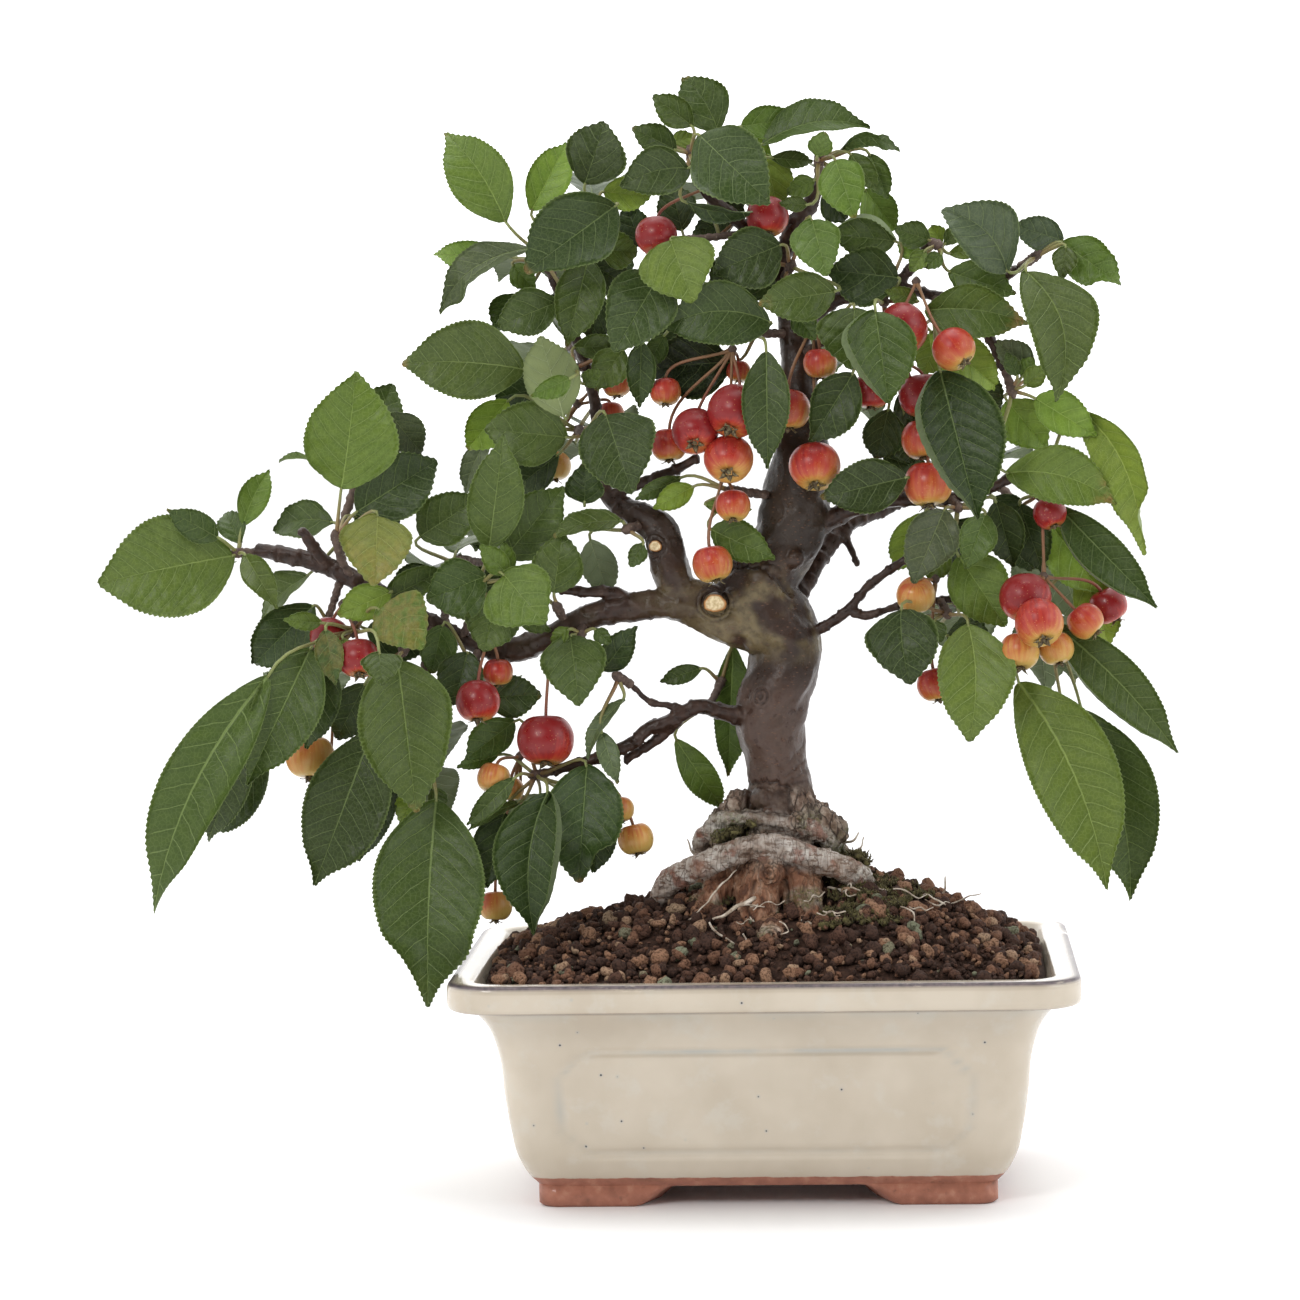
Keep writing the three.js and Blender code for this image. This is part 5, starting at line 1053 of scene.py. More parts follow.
def bark_finish():
    """Trunk, limbs and roots: pale belts, red-brown base, dark limbs, and old scars."""
    f = Finish("bark", Specular_IOR_Level=0.30)
    pale, base = f.value("pale"), f.value("foot")
    up = f.up()
    broad = f.noise(14.0, 3.0, where=f.place((1, 1, 0.35)))
    middle = f.noise(3.2, 5.0)
    flakes = f.noise(1.1, 6.0, 0.65)
    # the trunk by height: red-brown, a violet belt, an olive one, and darker above
    colour = f.ramp(broad, (0.32, (0.020, 0.010, 0.006)), (0.5, (0.038, 0.020, 0.013)),
                    (0.68, (0.078, 0.047, 0.032)))
    violet = f.times(f.rise(up, 124.0, 134.0), f.fall(up, 158.0, 168.0, 0.7))
    belt = f.ramp(middle, (0.35, (0.050, 0.026, 0.019)), (0.65, (0.150, 0.098, 0.078)))
    colour = f.mix(violet, colour, belt)
    olive = f.times(f.rise(up, 168.0, 180.0), f.fall(up, 192.0, 206.0, 0.9),
                    f.rise(f.noise(16.0, 2.0), 0.40, 0.56))
    colour = f.mix(olive, colour, (0.170, 0.132, 0.066))
    upper = f.ramp(broad, (0.35, (0.010, 0.007, 0.004)), (0.65, (0.028, 0.019, 0.012)))
    colour = f.mix(f.rise(up, 200.0, 212.0, 0.0, 0.8), colour, upper)
    colour = f.mix(f.rise(middle, 0.42, 0.72, 0.0, 0.6), colour, (0.024, 0.014, 0.010))
    freckles = f.fall(f.cells(2.4, f.place((1, 1, 2.4))), 0.12, 0.24)
    colour = f.mix(f.times(freckles, 0.45), colour, (0.17, 0.085, 0.050))
    dark = f.ramp(middle, (0.3, (0.017, 0.008, 0.005)), (0.6, (0.042, 0.021, 0.014)),
                  (0.8, (0.095, 0.060, 0.044)))
    colour = f.mix(f.value("thin"), colour, dark)
    # the base of the trunk and the roots: brown, with grey just under the trunk
    brown = f.ramp(f.noise(5.0, 5.0, 0.6, f.place((1, 1, 0.35))), (0.32, (0.080, 0.034, 0.019)),
                   (0.46, (0.19, 0.080, 0.041)), (0.56, (0.31, 0.170, 0.103)), (0.72, (0.53, 0.42, 0.34)))
    grey = f.ramp(middle, (0.32, (0.050, 0.030, 0.021)), (0.5, (0.20, 0.145, 0.110)),
                  (0.68, (0.43, 0.37, 0.31)))
    brown = f.mix(f.rise(up, 102.0, 112.0, 0.0, 0.85), brown, grey)
    brown = f.mix(f.rise(flakes, 0.5, 0.7, 0.0, 0.45), brown, (0.12, 0.060, 0.038))
    colour = f.mix(base, colour, brown)
    # the two pale roots that cross the base: chalky, with wrinkles, red-brown patches and ring lines
    wrinkle = f.noise(1.3, 4.0, 0.6, f.place((0.22, 1, 1)))
    chalk = f.ramp(f.noise(4.0, 6.0, 0.6), (0.30, (0.19, 0.130, 0.10)), (0.44, (0.37, 0.32, 0.275)),
                   (0.62, (0.54, 0.50, 0.455)))
    chalk = f.mix(f.fall(wrinkle, 0.38, 0.48, 0.85), chalk, (0.13, 0.080, 0.056))
    chalk = f.mix(f.rise(f.noise(7.0, 4.0), 0.53, 0.66, 0.0, 0.8), chalk, (0.22, 0.085, 0.054))
    rings = f.fall(f.edges(5.5, f.place((2.6, 0.6, 0.6))), 0.0, 0.05, 0.75)
    chalk = f.mix(rings, chalk, (0.085, 0.052, 0.036))
    colour = f.mix(pale, colour, chalk)
    green = f.ramp(f.noise(0.9), (0.35, (0.020, 0.030, 0.008)), (0.7, (0.14, 0.16, 0.035)))
    colour = f.mix(f.times(f.value("moss"), f.rise(flakes, 0.35, 0.55)), colour, green)
    cracks_and_crease_shade = f.fall(f.edges(4.6, f.place((1.6, 1.6, 0.6))), 0.0, 0.10)
    cracks_and_crease_shade = f.times(cracks_and_crease_shade, f.times(base, f.fall(pale, 0.1, 0.7, 0.9)), f.rise(up, 100.0, 112.0, 0.4, 1.0))
    # painted shade: the seam value darkens the creases and the troughs round the scars, together with the
    # cracks
    cracks_and_crease_shade = f.math("MAXIMUM", cracks_and_crease_shade, f.value("seam"))
    colour = f.mix(f.times(cracks_and_crease_shade, 0.85), colour, (0.022, 0.012, 0.008))
    height = f.minus(f.plus(f.times(middle, 0.5), f.times(flakes, 0.4)), f.times(cracks_and_crease_shade, 0.7))
    height = f.plus(height, f.times(freckles, 0.12), f.times(pale, wrinkle, 1.6))
    matte = f.plus(f.rise(middle, 0.3, 0.7, 0.26, 0.41), f.times(base, 0.28))
    return f.done(Base_Color=colour, Roughness=matte,
                  Normal=f.bump(height, 0.9, f.rise(base, 0.0, 1.0, 0.45, 0.9)))


def scar_finish():
    f = Finish("cut_wood", Roughness=0.7)
    colour = f.ramp(f.noise(0.9, 5.0), (0.35, (0.45, 0.33, 0.17)), (0.65, (0.72, 0.60, 0.38)))
    colour = f.mix(f.value("rim"), colour, (0.36, 0.15, 0.035))
    return f.done(Base_Color=colour, Normal=f.bump(f.noise(0.5), 0.3, 0.6))


def skin_finish():
    """Fruit skin: yellow ground, red cheek in streaks, pale dots."""
    f = Finish("fruit_skin", Specular_IOR_Level=0.36)
    around, down, wild = f.parts(f.vector("skin"))
    lines = f.put("CombineXYZ", X=f.times(around, 9.0), Y=f.times(down, 0.9), Z=wild)
    streak = f.put("TexNoise", Vector=lines.outputs[0], Scale=2.2, Detail=5.0, Roughness=0.6).outputs["Fac"]
    red = f.plus(f.value("ripe"), f.times(f.value("cheek"), 0.34), f.times(f.minus(streak, 0.5), 0.62),
                 f.times(f.minus(f.noise(6.0, 2.0), 0.5), 0.35))
    colour = f.ramp(red, (0.10, (0.50, 0.33, 0.09)), (0.40, (0.47, 0.21, 0.050)),
                    (0.60, (0.40, 0.085, 0.028)), (0.80, (0.34, 0.028, 0.018)), (1.0, (0.20, 0.010, 0.011)))
    colour = f.mix(f.times(f.fall(f.cells(1.15), 0.07, 0.17), 0.4), colour, (0.72, 0.42, 0.20))
    return f.done(Base_Color=colour, Roughness=f.rise(f.noise(3.0), 0.3, 0.7, 0.26, 0.42),
                  Normal=f.bump(f.noise(1.6, 3.0), 0.12, 0.4))


def glaze_finish():
    """Cream glaze on the pot, thin and dark where it breaks, and bare clay below its edge."""
    f = Finish("glaze", Specular_IOR_Level=0.55, Coat_Weight=0.35, Coat_Roughness=0.08)
    cream = f.ramp(f.noise(28.0, 3.0), (0.35, (0.470, 0.402, 0.312)), (0.65, (0.535, 0.468, 0.375)))
    cream = f.mix(f.rise(f.noise(9.0, 4.0), 0.52, 0.72, 0.0, 0.35), cream, (0.54, 0.52, 0.46))
    grain = f.fall(f.cells(0.75), 0.05, 0.16)
    cream = f.mix(f.times(grain, 0.22), cream, (0.40, 0.31, 0.20))
    blue = f.times(f.value("groove"), f.rise(f.noise(24.0, 3.0), 0.35, 0.6, 0.05, 0.6),
                   f.rise(f.up(), 20.0, 40.0, 0.25, 1.0))
    cream = f.mix(blue, cream, (0.33, 0.36, 0.36))
    spot = f.cells(9.0)
    cream = f.mix(f.fall(spot, 0.03, 0.11, 0.35), cream, (0.30, 0.34, 0.36))
    cream = f.mix(f.fall(spot, 0.028, 0.048), cream, (0.035, 0.035, 0.045))
    line = f.times(f.value("worn"), f.rise(f.noise(5.0, 6.0, 0.7, f.place((0.35, 0.35, 2.2))), 0.30, 0.42))
    dark = f.ramp(f.noise(1.6), (0.3, (0.030, 0.020, 0.028)), (0.7, (0.115, 0.078, 0.086)))
    cream = f.mix(line, cream, dark)
    clay = f.ramp(f.noise(5.0, 5.0), (0.3, (0.235, 0.085, 0.050)), (0.55, (0.335, 0.125, 0.075)),
                  (0.8, (0.46, 0.23, 0.15)))
    clay = f.mix(f.rise(f.noise(2.0, 5.0), 0.58, 0.75, 0.0, 0.5), clay, (0.14, 0.055, 0.035))
    is_bare = f.rise(f.plus(f.value("bare"), f.times(f.minus(f.noise(4.0), 0.5), 0.5)), 0.42, 0.58)
    height = f.plus(f.times(f.noise(6.0, 3.0), 0.6), f.times(grain, -0.15))
    height = f.minus(height, f.times(is_bare, f.noise(0.7, 5.0), 0.9))
    matte = f.math("MAXIMUM", is_bare, f.times(line, 0.5))
    return f.done(Base_Color=f.mix(is_bare, cream, clay), Roughness=f.rise(matte, 0.0, 1.0, 0.2, 0.8),
                  Normal=f.bump(height, 0.25, 0.35))


def granule_finish():
    """Grains of soil: dark earth, tan fired clay and a few grey-green stones, by their kind."""
    f = Finish("granules", Roughness=0.88, Specular_IOR_Level=0.3)
    pits = f.noise(0.8, 5.0, 0.65)
    colour = f.ramp(f.value("kind"), (0.0, (0.050, 0.025, 0.017)), (0.42, (0.100, 0.048, 0.031)),
                    (0.62, (0.210, 0.105, 0.063)), (0.78, (0.305, 0.165, 0.098)), (0.9, (0.41, 0.270, 0.175)),
                    (0.95, (0.17, 0.180, 0.115)), (1.0, (0.25, 0.26, 0.175)))
    colour = f.shaded(f.fall(pits, 0.38, 0.54, 0.85), colour, (0.22, 0.17, 0.14))
    return f.done(Base_Color=colour, Normal=f.bump(pits, 0.9, 1.0))


def plain_finish(name, grain, stops, relief, **sockets):
    """A finish of noise alone; relief is its noise, distance and strength."""
    f = Finish(name, **sockets)
    if relief:
        lumps, distance, strength = relief
        f.done(Normal=f.bump(f.noise(*lumps), distance, strength))
    return f.done(Base_Color=f.ramp(f.noise(*grain), *stops))


LEAF_TOP, LEAF_UNDER = leaf_finish("leaf_top", False), leaf_finish("leaf_under", True)
STALK, TWIG, BARK, SCAR = stalk_finish(), twig_finish(), bark_finish(), scar_finish()
SKIN, GLAZE, GRANULES = skin_finish(), glaze_finish(), granule_finish()
CALYX = plain_finish("calyx", (0.8,), [
    (0.3, (0.034, 0.020, 0.012)), (0.5, (0.12, 0.085, 0.042)), (0.75, (0.27, 0.25, 0.12)),
], ((0.4,), 0.3, 0.8), Roughness=0.85)
SOIL = plain_finish("soil", (2.0, 6.0, 0.65), [
    (0.35, (0.024, 0.012, 0.008)), (0.6, (0.070, 0.035, 0.023)), (0.8, (0.130, 0.070, 0.045)),
], ((1.2, 6.0, 0.7), 1.2, 1.0), Roughness=0.92, Specular_IOR_Level=0.25)
MOSS = plain_finish("moss", (1.4,), [
    (0.3, (0.034, 0.022, 0.010)), (0.52, (0.085, 0.072, 0.024)), (0.75, (0.20, 0.18, 0.065)),
], None, Roughness=0.9)
FINE_ROOTS = plain_finish("fine_roots", (2.5,), [
    (0.3, (0.16, 0.095, 0.060)), (0.5, (0.45, 0.38, 0.30)), (0.7, (0.66, 0.60, 0.52)),
], ((0.7,), 0.2, 0.6), Roughness=0.75)
NET = plain_finish("net", (1.5,), [
    (0.3, (0.010, 0.010, 0.010)), (0.7, (0.024, 0.024, 0.024)),
], ((0.6,), 0.1, 0.5), Roughness=0.55)


# ------------------------------------------------------------------ leaves
# a blade's arch as a share of its length, its wave as one of its width, and the radius of a stem's spur
ARCH, WAVE, SPUR = 0.07, 0.03, 2.3
# half the solids' blade thickness, and the distance of the rows of points along a blade
SOLID_HALF, ROW_STEP = 0.33, 0.74
# lengths from which blades have so many columns, and the columns' places from midrib to edge
COLUMNS = [(30, [0.07, 0.2, 0.4, 0.62, 0.84, 1]), (16, [0.08, 0.25, 0.5, 0.78, 1]), (0, [0.1, 0.35, 0.7, 1])]


def solid_points(node):
    """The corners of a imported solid, in the tables' millimetres."""
    return np.array([v.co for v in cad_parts[node].data.vertices]) / MM - SHIFT


def moves(y):
    """Moves by which the part's source may have shifted a leaf or fruit at depth y along its sight line."""
    outward = -1 if y < 0 else 1
    return [s for step in range(19) for s in (1.5 * step * outward, -0.75 * step * outward)]


def settled_blade(corners, row, back):
    """The blade of a row where the part's source left it, which its tip's corners show."""
    tries = moves(row[2])
    misses = [max(corners.find(p)[2] for p in Blade(row, back, s).marks()) for s in tries]
    return Blade(row, back, tries[int(np.argmin(misses))] if min(misses) < 0.3 else 0.0)


class Blade:
    """The place and axes of a leaf, from its row."""

    def __init__(self, row, back, shift):
        u0, v0, y0, u1, v1, y1, self.width, self.roll, self.bow = (*row, 0, 0)[:9]
        self.seed = u0
        self.foot, self.tip = at(u0, v0, y0 + shift), at(u1, v1, y1 + shift)
        self.span = self.tip - self.foot
        self.length = np.linalg.norm(self.span)
        self.way = unit(self.span)
        facing = np.array([0, 0.5, 1.0]) if back else unit(EYE - self.foot)
        face = unit(facing - facing.dot(self.way) * self.way)
        turn = math.radians(self.roll)
        self.face = face * math.cos(turn) + np.cross(self.way, face) * math.sin(turn)
        self.side = np.cross(self.way, self.face)
        self.half = self.width / 2 * (1 + y0 / -EYE[1])

    def marks(self):
        """The two corners of the solid's tip."""
        return [self.tip + self.face * SOLID_HALF, self.tip - self.face * SOLID_HALF]


def section(sign, curl, shares, fold):
    """Across and up of a half blade's section, for places from the midrib to the edge."""
    s = np.linspace(0, 1, 41)
    angle = fold + 0.26 * s + curl * math.pi * 0.85 * np.clip((s - 0.4) / 0.6, 0, 1) ** 1.2
    step = s[1]
    x = np.concatenate([[0], np.cumsum(np.cos(angle[1:])) * step])
    z = np.concatenate([[0], np.cumsum(np.sin(angle[1:])) * step])
    scale = 1 / x.max()
    return sign * np.interp(shares, s, x) * scale, np.interp(shares, s, z) * scale


def blade_parts(b, tone, curl, turn, dry_place, dice):
    """A leaf blade with quilted skins and a toothed edge, and apart from it the lower skin's faces."""
    half = next(np.array(places) for least, places in COLUMNS if b.length > least)
    shares = np.concatenate([-half[::-1], [0], half])
    rows = int(np.clip(b.length / ROW_STEP, 10, 90)) // 2 * 2 + 1
    t = np.linspace(0, 1, rows)
    wide = b.half * np.maximum(np.sin(math.pi * t ** 0.85), 0) ** 0.8
    point = 0.5 - 0.34 * smooth(0.5, 0.72, b.width / b.length)
    wide = wide * (1 - point * smooth(0.76, 0.97, t)) + 0.35 * (1 - smooth(0, 0.06, t)) + 0.06
    swell = 4 * t * (1 - t)
    droop = dice.uniform(-0.02, 0.12) * np.maximum(0, (t - 0.5) / 0.5) ** 2
    mid = (b.foot + b.span * t[:, None] + b.face * ((ARCH * swell - droop) * b.length)[:, None]
           - b.side * (b.bow * swell)[:, None])
    angle = turn * smooth(0.64, 0.80, t) + (dice.gauss(0, 0.28) * (t - 0.4) if b.length > 16 else 0 * t)
    side = b.side * np.cos(angle)[:, None] + b.face * np.sin(angle)[:, None]
    face = b.face * np.cos(angle)[:, None] - b.side * np.sin(angle)[:, None]
    curls = {-1: 0.0, 1: 0.0}
    if curl:
        curls[curl[0]] = curl[1]
    x, z = np.zeros((2, len(shares)))
    fold = dice.uniform(0.04, 0.38)
    for sign in (-1, 1):
        here = shares * sign > 0
        x[here], z[here] = section(sign, curls[sign], np.abs(shares[here]), fold)
    phase = dice.uniform(0, 6)
    edge = np.abs(shares) ** 2
    ripple = dice.uniform(0.5, 1.9)
    wave = ripple * WAVE * b.width * np.sin(9 * t[:, None] + 2.3 * np.sign(shares) + b.seed) * edge
    wave = wave + 0.018 * b.width * np.sin(24 * t[:, None] + phase + 1.9 * np.sign(shares)) * edge
    uneven = 1 + 0.05 * dice.gauss(0, 1) * np.sign(shares)
    across = wide[:, None] * x * (uneven + 0.03 * np.sin(6.5 * t[:, None] + phase + np.sign(shares)))
    points = (mid[:, None] + side[:, None] * across[..., None]
              + face[:, None] * (wide[:, None] * z + wave)[..., None])
    tooth = (0.12 + 0.011 * b.width) * smooth(0.08, 0.2, t) * (1 - 0.5 * smooth(0.9, 1, t))
    tooth[::2] = 0
    for column, sign in ((0, -1), (len(shares) - 1, 1)):
        out = unit(points[:, column] - points[:, column - sign])
        ahead = b.way * (0.5 * b.length / rows)
        points[:, column] += out * tooth[:, None] + ahead * (tooth > 0)[:, None]
    normals = unit(np.cross(np.gradient(points, axis=1), np.gradient(points, axis=0)))
    if normals[rows // 2, len(shares) // 2].dot(b.face) < 0:
        normals = -normals
    veins = float(np.clip(round(b.length / 5.2), 4, 11))
    a = across / b.length
    run = (t[:, None] - VEIN_LEAN * np.abs(a) - VEIN_BEND * a * a) * veins + VEIN_OFFSET * np.sign(a) + 0.5
    quilt = 0.021 * b.width * (np.abs(np.sin(math.pi * (run - 0.5))) ** 0.6 - 0.5)
    quilt = quilt * (1 - np.abs(shares) ** 4) * (smooth(0, 0.1, t) * (1 - smooth(0.85, 1, t)))[:, None]
    rib = np.exp(-(across / 0.42) ** 2)
    top = points + normals * (quilt - 0.16 * rib)[..., None]
    thick = 0.30 - 0.14 * edge + 0.5 * rib * (1 - 0.75 * t)[:, None]
    low = points + normals * (quilt - thick)[..., None]
    # the skins' faces, the edge's between them, and the values for the materials
    cols = len(shares)
    count = rows * cols
    flip = np.cross(top[1, 1] - top[1, 0], top[2, 0] - top[1, 0]).dot(normals[1, 0]) > 0
    blade = np.stack([np.broadcast_to(t[:, None], a.shape), a, np.broadcast_to(shares, a.shape)], -1)
    shade = np.array(TONES[tone]) * dice.uniform(0.68, 1.02)
    shade = shade * [dice.uniform(0.94, 1.12), 1, dice.uniform(0.8, 1.1)]
    dry = 0.7 * smooth(0.93, 1.0, t) * (dice.random() < 0.15)
    if dry_place:
        start, end, share = dry_place
        dry = np.maximum(dry, share * smooth(start, end, t) if start else share)
    dry = np.repeat(dry * np.ones(rows), cols)
    ring = np.concatenate([np.arange(cols), np.arange(1, rows) * cols + cols - 1,
                           (rows - 1) * cols + np.arange(cols - 2, -1, -1),
                           np.arange(rows - 2, 0, -1) * cols])
    after = np.roll(ring, -1)
    rim = np.stack([ring, after, after + count, ring + count], 1)
    skin = Part(np.concatenate([top.reshape(-1, 3), low.reshape(-1, 3)]),
                np.concatenate([grid_faces(rows, cols, flip=not flip), rim if flip else rim[:, ::-1]]),
                blade=np.tile(blade.reshape(-1, 3), (2, 1)), tint=shade, veins=veins, dry=np.tile(dry, 2))
    return skin, grid_faces(rows, cols, flip=flip) + count


def leaf_stalk(b, start, dice):
    path = bent(start, b.foot + b.way * 0.6, b.way, 0.4, 8)
    blush = np.linspace(dice.uniform(0.2, 0.75), 0.08, 8)
    return tube(path, np.linspace(0.75, 0.5, 8), 5, finish=2, blush=blush)


def stem_parts(rows, dice):
    """A spray's stem with its ringed spur and bud."""
    knots = [(u, v, y, max(r, 1.2)) for u, v, y, r in rows]
    knots[0] = (*rows[0][:3], 1.5)
    knots[-1] = (*rows[-1][:3], 1.5)
    path, radii = strand(knots, 0.8)
    rings = 1 + 0.13 * np.sin(np.arange(len(path)) * 1.9 + dice.uniform(0, 6))
    end = unit(path[-1] - path[-3])
    levels = np.array([-2.4, -1.6, -0.9, -0.2, 0.5, 1.2, 1.9, 2.6, 3.2])
    fat = np.array([0.55, 0.92, 0.78, 1.0, 0.84, 0.9, 0.66, 0.42, 0.12]) * 1.9
    return [tube(path, radii * rings, 8, ribbed(0.08, 3), finish=3),
            tube(path[-1] + levels[:, None] * end, fat, 9, ribbed(0.09, 4, 1.3), finish=3)]


def petiole_start(joints, target):
    """Inside the joint of the stem nearest to the target; the last joint is the fat spur."""
    spots = [at(u, v, y) for u, v, y, _ in joints[1:]]
    nearest = min(range(len(spots)), key=lambda i: np.linalg.norm(spots[i] - target))
    reach = 0.3 * SPUR if nearest == len(spots) - 1 else 0.0
    return spots[nearest] + unit(target - spots[nearest]) * reach


def make_spray(name, spray):
    dice = random.Random(name)
    corners = tree_of(solid_points("leaves_" + name))
    parts = stem_parts(spray["stem"], dice)
    rows = [(row, "front", tone) for row, tone in zip(spray.get("leaves", []), spray.get("tones", ""))]
    rows += [(row, "back", tone) for row, tone in zip(spray.get("back", []), spray.get("back_tones", ""))]
    rows += [(row, "small", dice.choice("lmml")) for row in spray.get("small", [])]
    lowers = []
    for number, (row, kind, tone) in enumerate(rows):
        b = Blade(row, False, 0.0) if kind == "small" else settled_blade(corners, row, kind == "back")
        start = petiole_start(spray["stem"], at(*row[:3]))
        key = (name, number) if kind == "front" else None
        skin, lower = blade_parts(b, tone, CURLS.get(key), TURNS.get(key, 0.0), DRY.get(key), dice)
        lowers.append((len(parts), lower))
        parts += [skin, leaf_stalk(b, start, dice)]
    # the lower skins' faces are one more part, of another finish, which uses the others' points
    offsets = np.cumsum([0] + [len(p.points) for p in parts])
    faces = np.concatenate([lower + offsets[i] for i, lower in lowers]) - offsets[-1]
    piece("spray_" + name, [*parts, Part([], faces, finish=1)], [LEAF_TOP, LEAF_UNDER, STALK, TWIG],
          ["leaves_" + name])


# ------------------------------------------------------------------ fruit
def fruit_parts(centre, r, down, stalk_from, ripe, dice):
    """A small apple with its dimples, dried calyx and stalk."""
    down = unit(down)
    across = unit(np.cross(down, [0.2, 1, 0.1]))
    other = np.cross(down, across)
    rows, sides = 20, 26
    p = np.linspace(0.04, math.pi - 0.04, rows)[:, None]
    a = circle(sides)[None]
    lean = dice.uniform(0, 6)
    lobes = 1 + 0.022 * np.cos(5 * a) * smooth(1.7, 2.9, p)
    lobes = lobes + 0.02 * np.cos(2 * a + lean) + 0.015 * np.cos(3 * a - lean)
    girth = r * np.sin(p) ** 0.9 * lobes
    drop = -r * 0.96 * np.cos(p) * (1 + 0.03 * np.cos(a + lean))
    drop = drop + r * 0.20 * np.exp(-(p / 0.42) ** 2) - r * 0.17 * np.exp(-((math.pi - p) / 0.42) ** 2)
    points = (centre + drop[..., None] * down + (girth * np.cos(a))[..., None] * across
              + (girth * np.sin(a))[..., None] * other)
    ends = np.stack([points[0].mean(0), points[-1].mean(0)])
    flat = points.reshape(-1, 3)
    sun = unit(np.array([-0.35, -0.6, 0.8]))
    cheek = unit(flat - centre).dot(sun) - 0.9 * np.repeat(smooth(2.2, 3.0, p[:, 0]), sides)
    wild = dice.uniform(0, 50)
    skin = np.stack([np.broadcast_to(np.abs(a - math.pi) / math.pi, (rows, sides)),
                     np.broadcast_to(p / math.pi, (rows, sides)), np.full((rows, sides), wild)], -1)
    skin = skin.reshape(-1, 3)
    parts = [Part(np.concatenate([flat, ends]), grid_faces(rows, sides, closed=True), end_caps(rows, sides),
                  ripe=ripe + dice.uniform(-0.05, 0.05), skin=np.concatenate([skin, skin[[0, -1]]]),
                  cheek=np.concatenate([cheek, cheek[[0, -1]]]))]
    floor = centre + down * r * 0.80
    for k in range(5):
        angle = k * 2 * math.pi / 5 + lean
        out = across * math.cos(angle) + other * math.sin(angle)
        turned = np.cross(down, out)
        t = np.linspace(0, 1, 6)
        curl = dice.uniform(0.05, 0.3)
        path = (floor + out * (r * (0.14 + 0.10 * t + 0.20 * t * t))[:, None]
                + down * (r * (-0.04 + 0.40 * t - curl * t * t))[:, None])
        half = r * 0.15 * (1 - t ** 1.6) + 0.05
        sheet = np.stack([path - turned * half[:, None], path + down * 0.18, path + turned * half[:, None],
                          path - down * 0.12], 1)
        parts.append(Part(sheet, grid_faces(6, 4, closed=True),
                          [[0, 2, 1], [0, 3, 2], [20, 21, 22], [20, 22, 23]], 1))
    parts.append(tube(floor + down * np.linspace(-0.06, 0.13, 4)[:, None] * r,
                      r * np.array([0.15, 0.13, 0.09, 0.03]), 10, ribbed(0.22, 5), finish=1))
    top = centre - down * r * 0.70
    path = bent(stalk_from, top, down, 0.35, 14)
    radii = np.linspace(0.5, 0.56, 14)
    radii[:2] = 0.8
    parts.append(tube(path, radii, 7, finish=2, blush=np.linspace(0.55, 0.75 + 0.25 * (ripe > 0.8), 14)))
    return parts


def make_bunch(name, bunch):
    dice = random.Random(name)
    corners = solid_points("fruit_" + name)
    spur = at(*bunch["spur"])
    near = corners[np.argsort(np.linalg.norm(corners - spur, axis=1))[:8]].mean(0)
    spur = spur + (near - spur) * (np.linalg.norm(near - spur) < 6)
    parts = [tube(spur + np.array([[0, 0, h] for h in (-1.5, -0.7, 0.2, 1.0, 1.7)]),
                  np.array([0.5, 1.4, 1.6, 1.1, 0.3]), 8, ribbed(0.1, 3), finish=3)]
    for (u, v, y, r, lean_x, lean_y), tone in zip(bunch["fruits"], bunch["ripe"]):
        down = unit([lean_x, -lean_y, -1])

        def on_ring(shift):
            """How many corners lie on the ring that the moved fruit has above its middle."""
            ways = corners - (at(u, v, y + shift) - down * 0.36 * 0.96 * r)
            level = np.abs(ways.dot(down)) < 0.06
            return np.count_nonzero(level & (np.abs(np.linalg.norm(ways, axis=1) - 0.98 * r) < 0.06))
        shift = max(moves(y), key=lambda s: (on_ring(s), -abs(s)))
        parts += fruit_parts(at(u, v, y + shift), r, down, spur, RIPENESS[tone], dice)
    piece("bunch_" + name, parts, [SKIN, CALYX, STALK, TWIG], ["fruit_" + name])


# ------------------------------------------------------------------ trunk, limbs and roots
BELTS = ROOTS[:2]
NECK = [
    [(-5, 127, -4, 3.4), (-10.5, 122.5, -6, 3.8), (-15.5, 117.5, -8, 3.9), (-18, 111, -8, 3.6)],
    [(12, 129, -3, 3.2), (13.5, 123.5, -5, 3.4), (19, 118, -6, 4.2), (24, 111, -5, 4.0)],
    [(8.5, 129.5, -8.5, 1.8), (9.8, 124, -10.5, 2.3), (10.6, 119, -12.5, 2.6), (14, 113, -14, 2.4)],
    [(-7, 126.5, -7.5, 1.4), (-8.2, 122, -9.5, 1.8), (-10, 118, -11.5, 1.8)],
    [(13.2, 127, -6.0, 1.5), (14.5, 122, -9.5, 1.6), (17.5, 115, -11, 1.8)],
    [(22, 112, -2, 3.2), (24, 116, -2, 3.0), (23, 119, -2, 2.0)],
]
BENDS = [
    [(-3, 125, -6.5, 4.0), (1, 125.2, -8.6, 4.5), (5, 124.7, -7.4, 4.1)],
    [
        (-11, 190.5, -3.5, 6.5), (-2, 187, -5.2, 8), (6, 181.5, -5.4, 8.2), (10.8, 175, -4.0, 8),
        (9.5, 168, -4.0, 8.2), (5, 160.5, -4.2, 8.6), (1.5, 153, -3.6, 8.8), (0.5, 146, -0.8, 9),
    ],
]
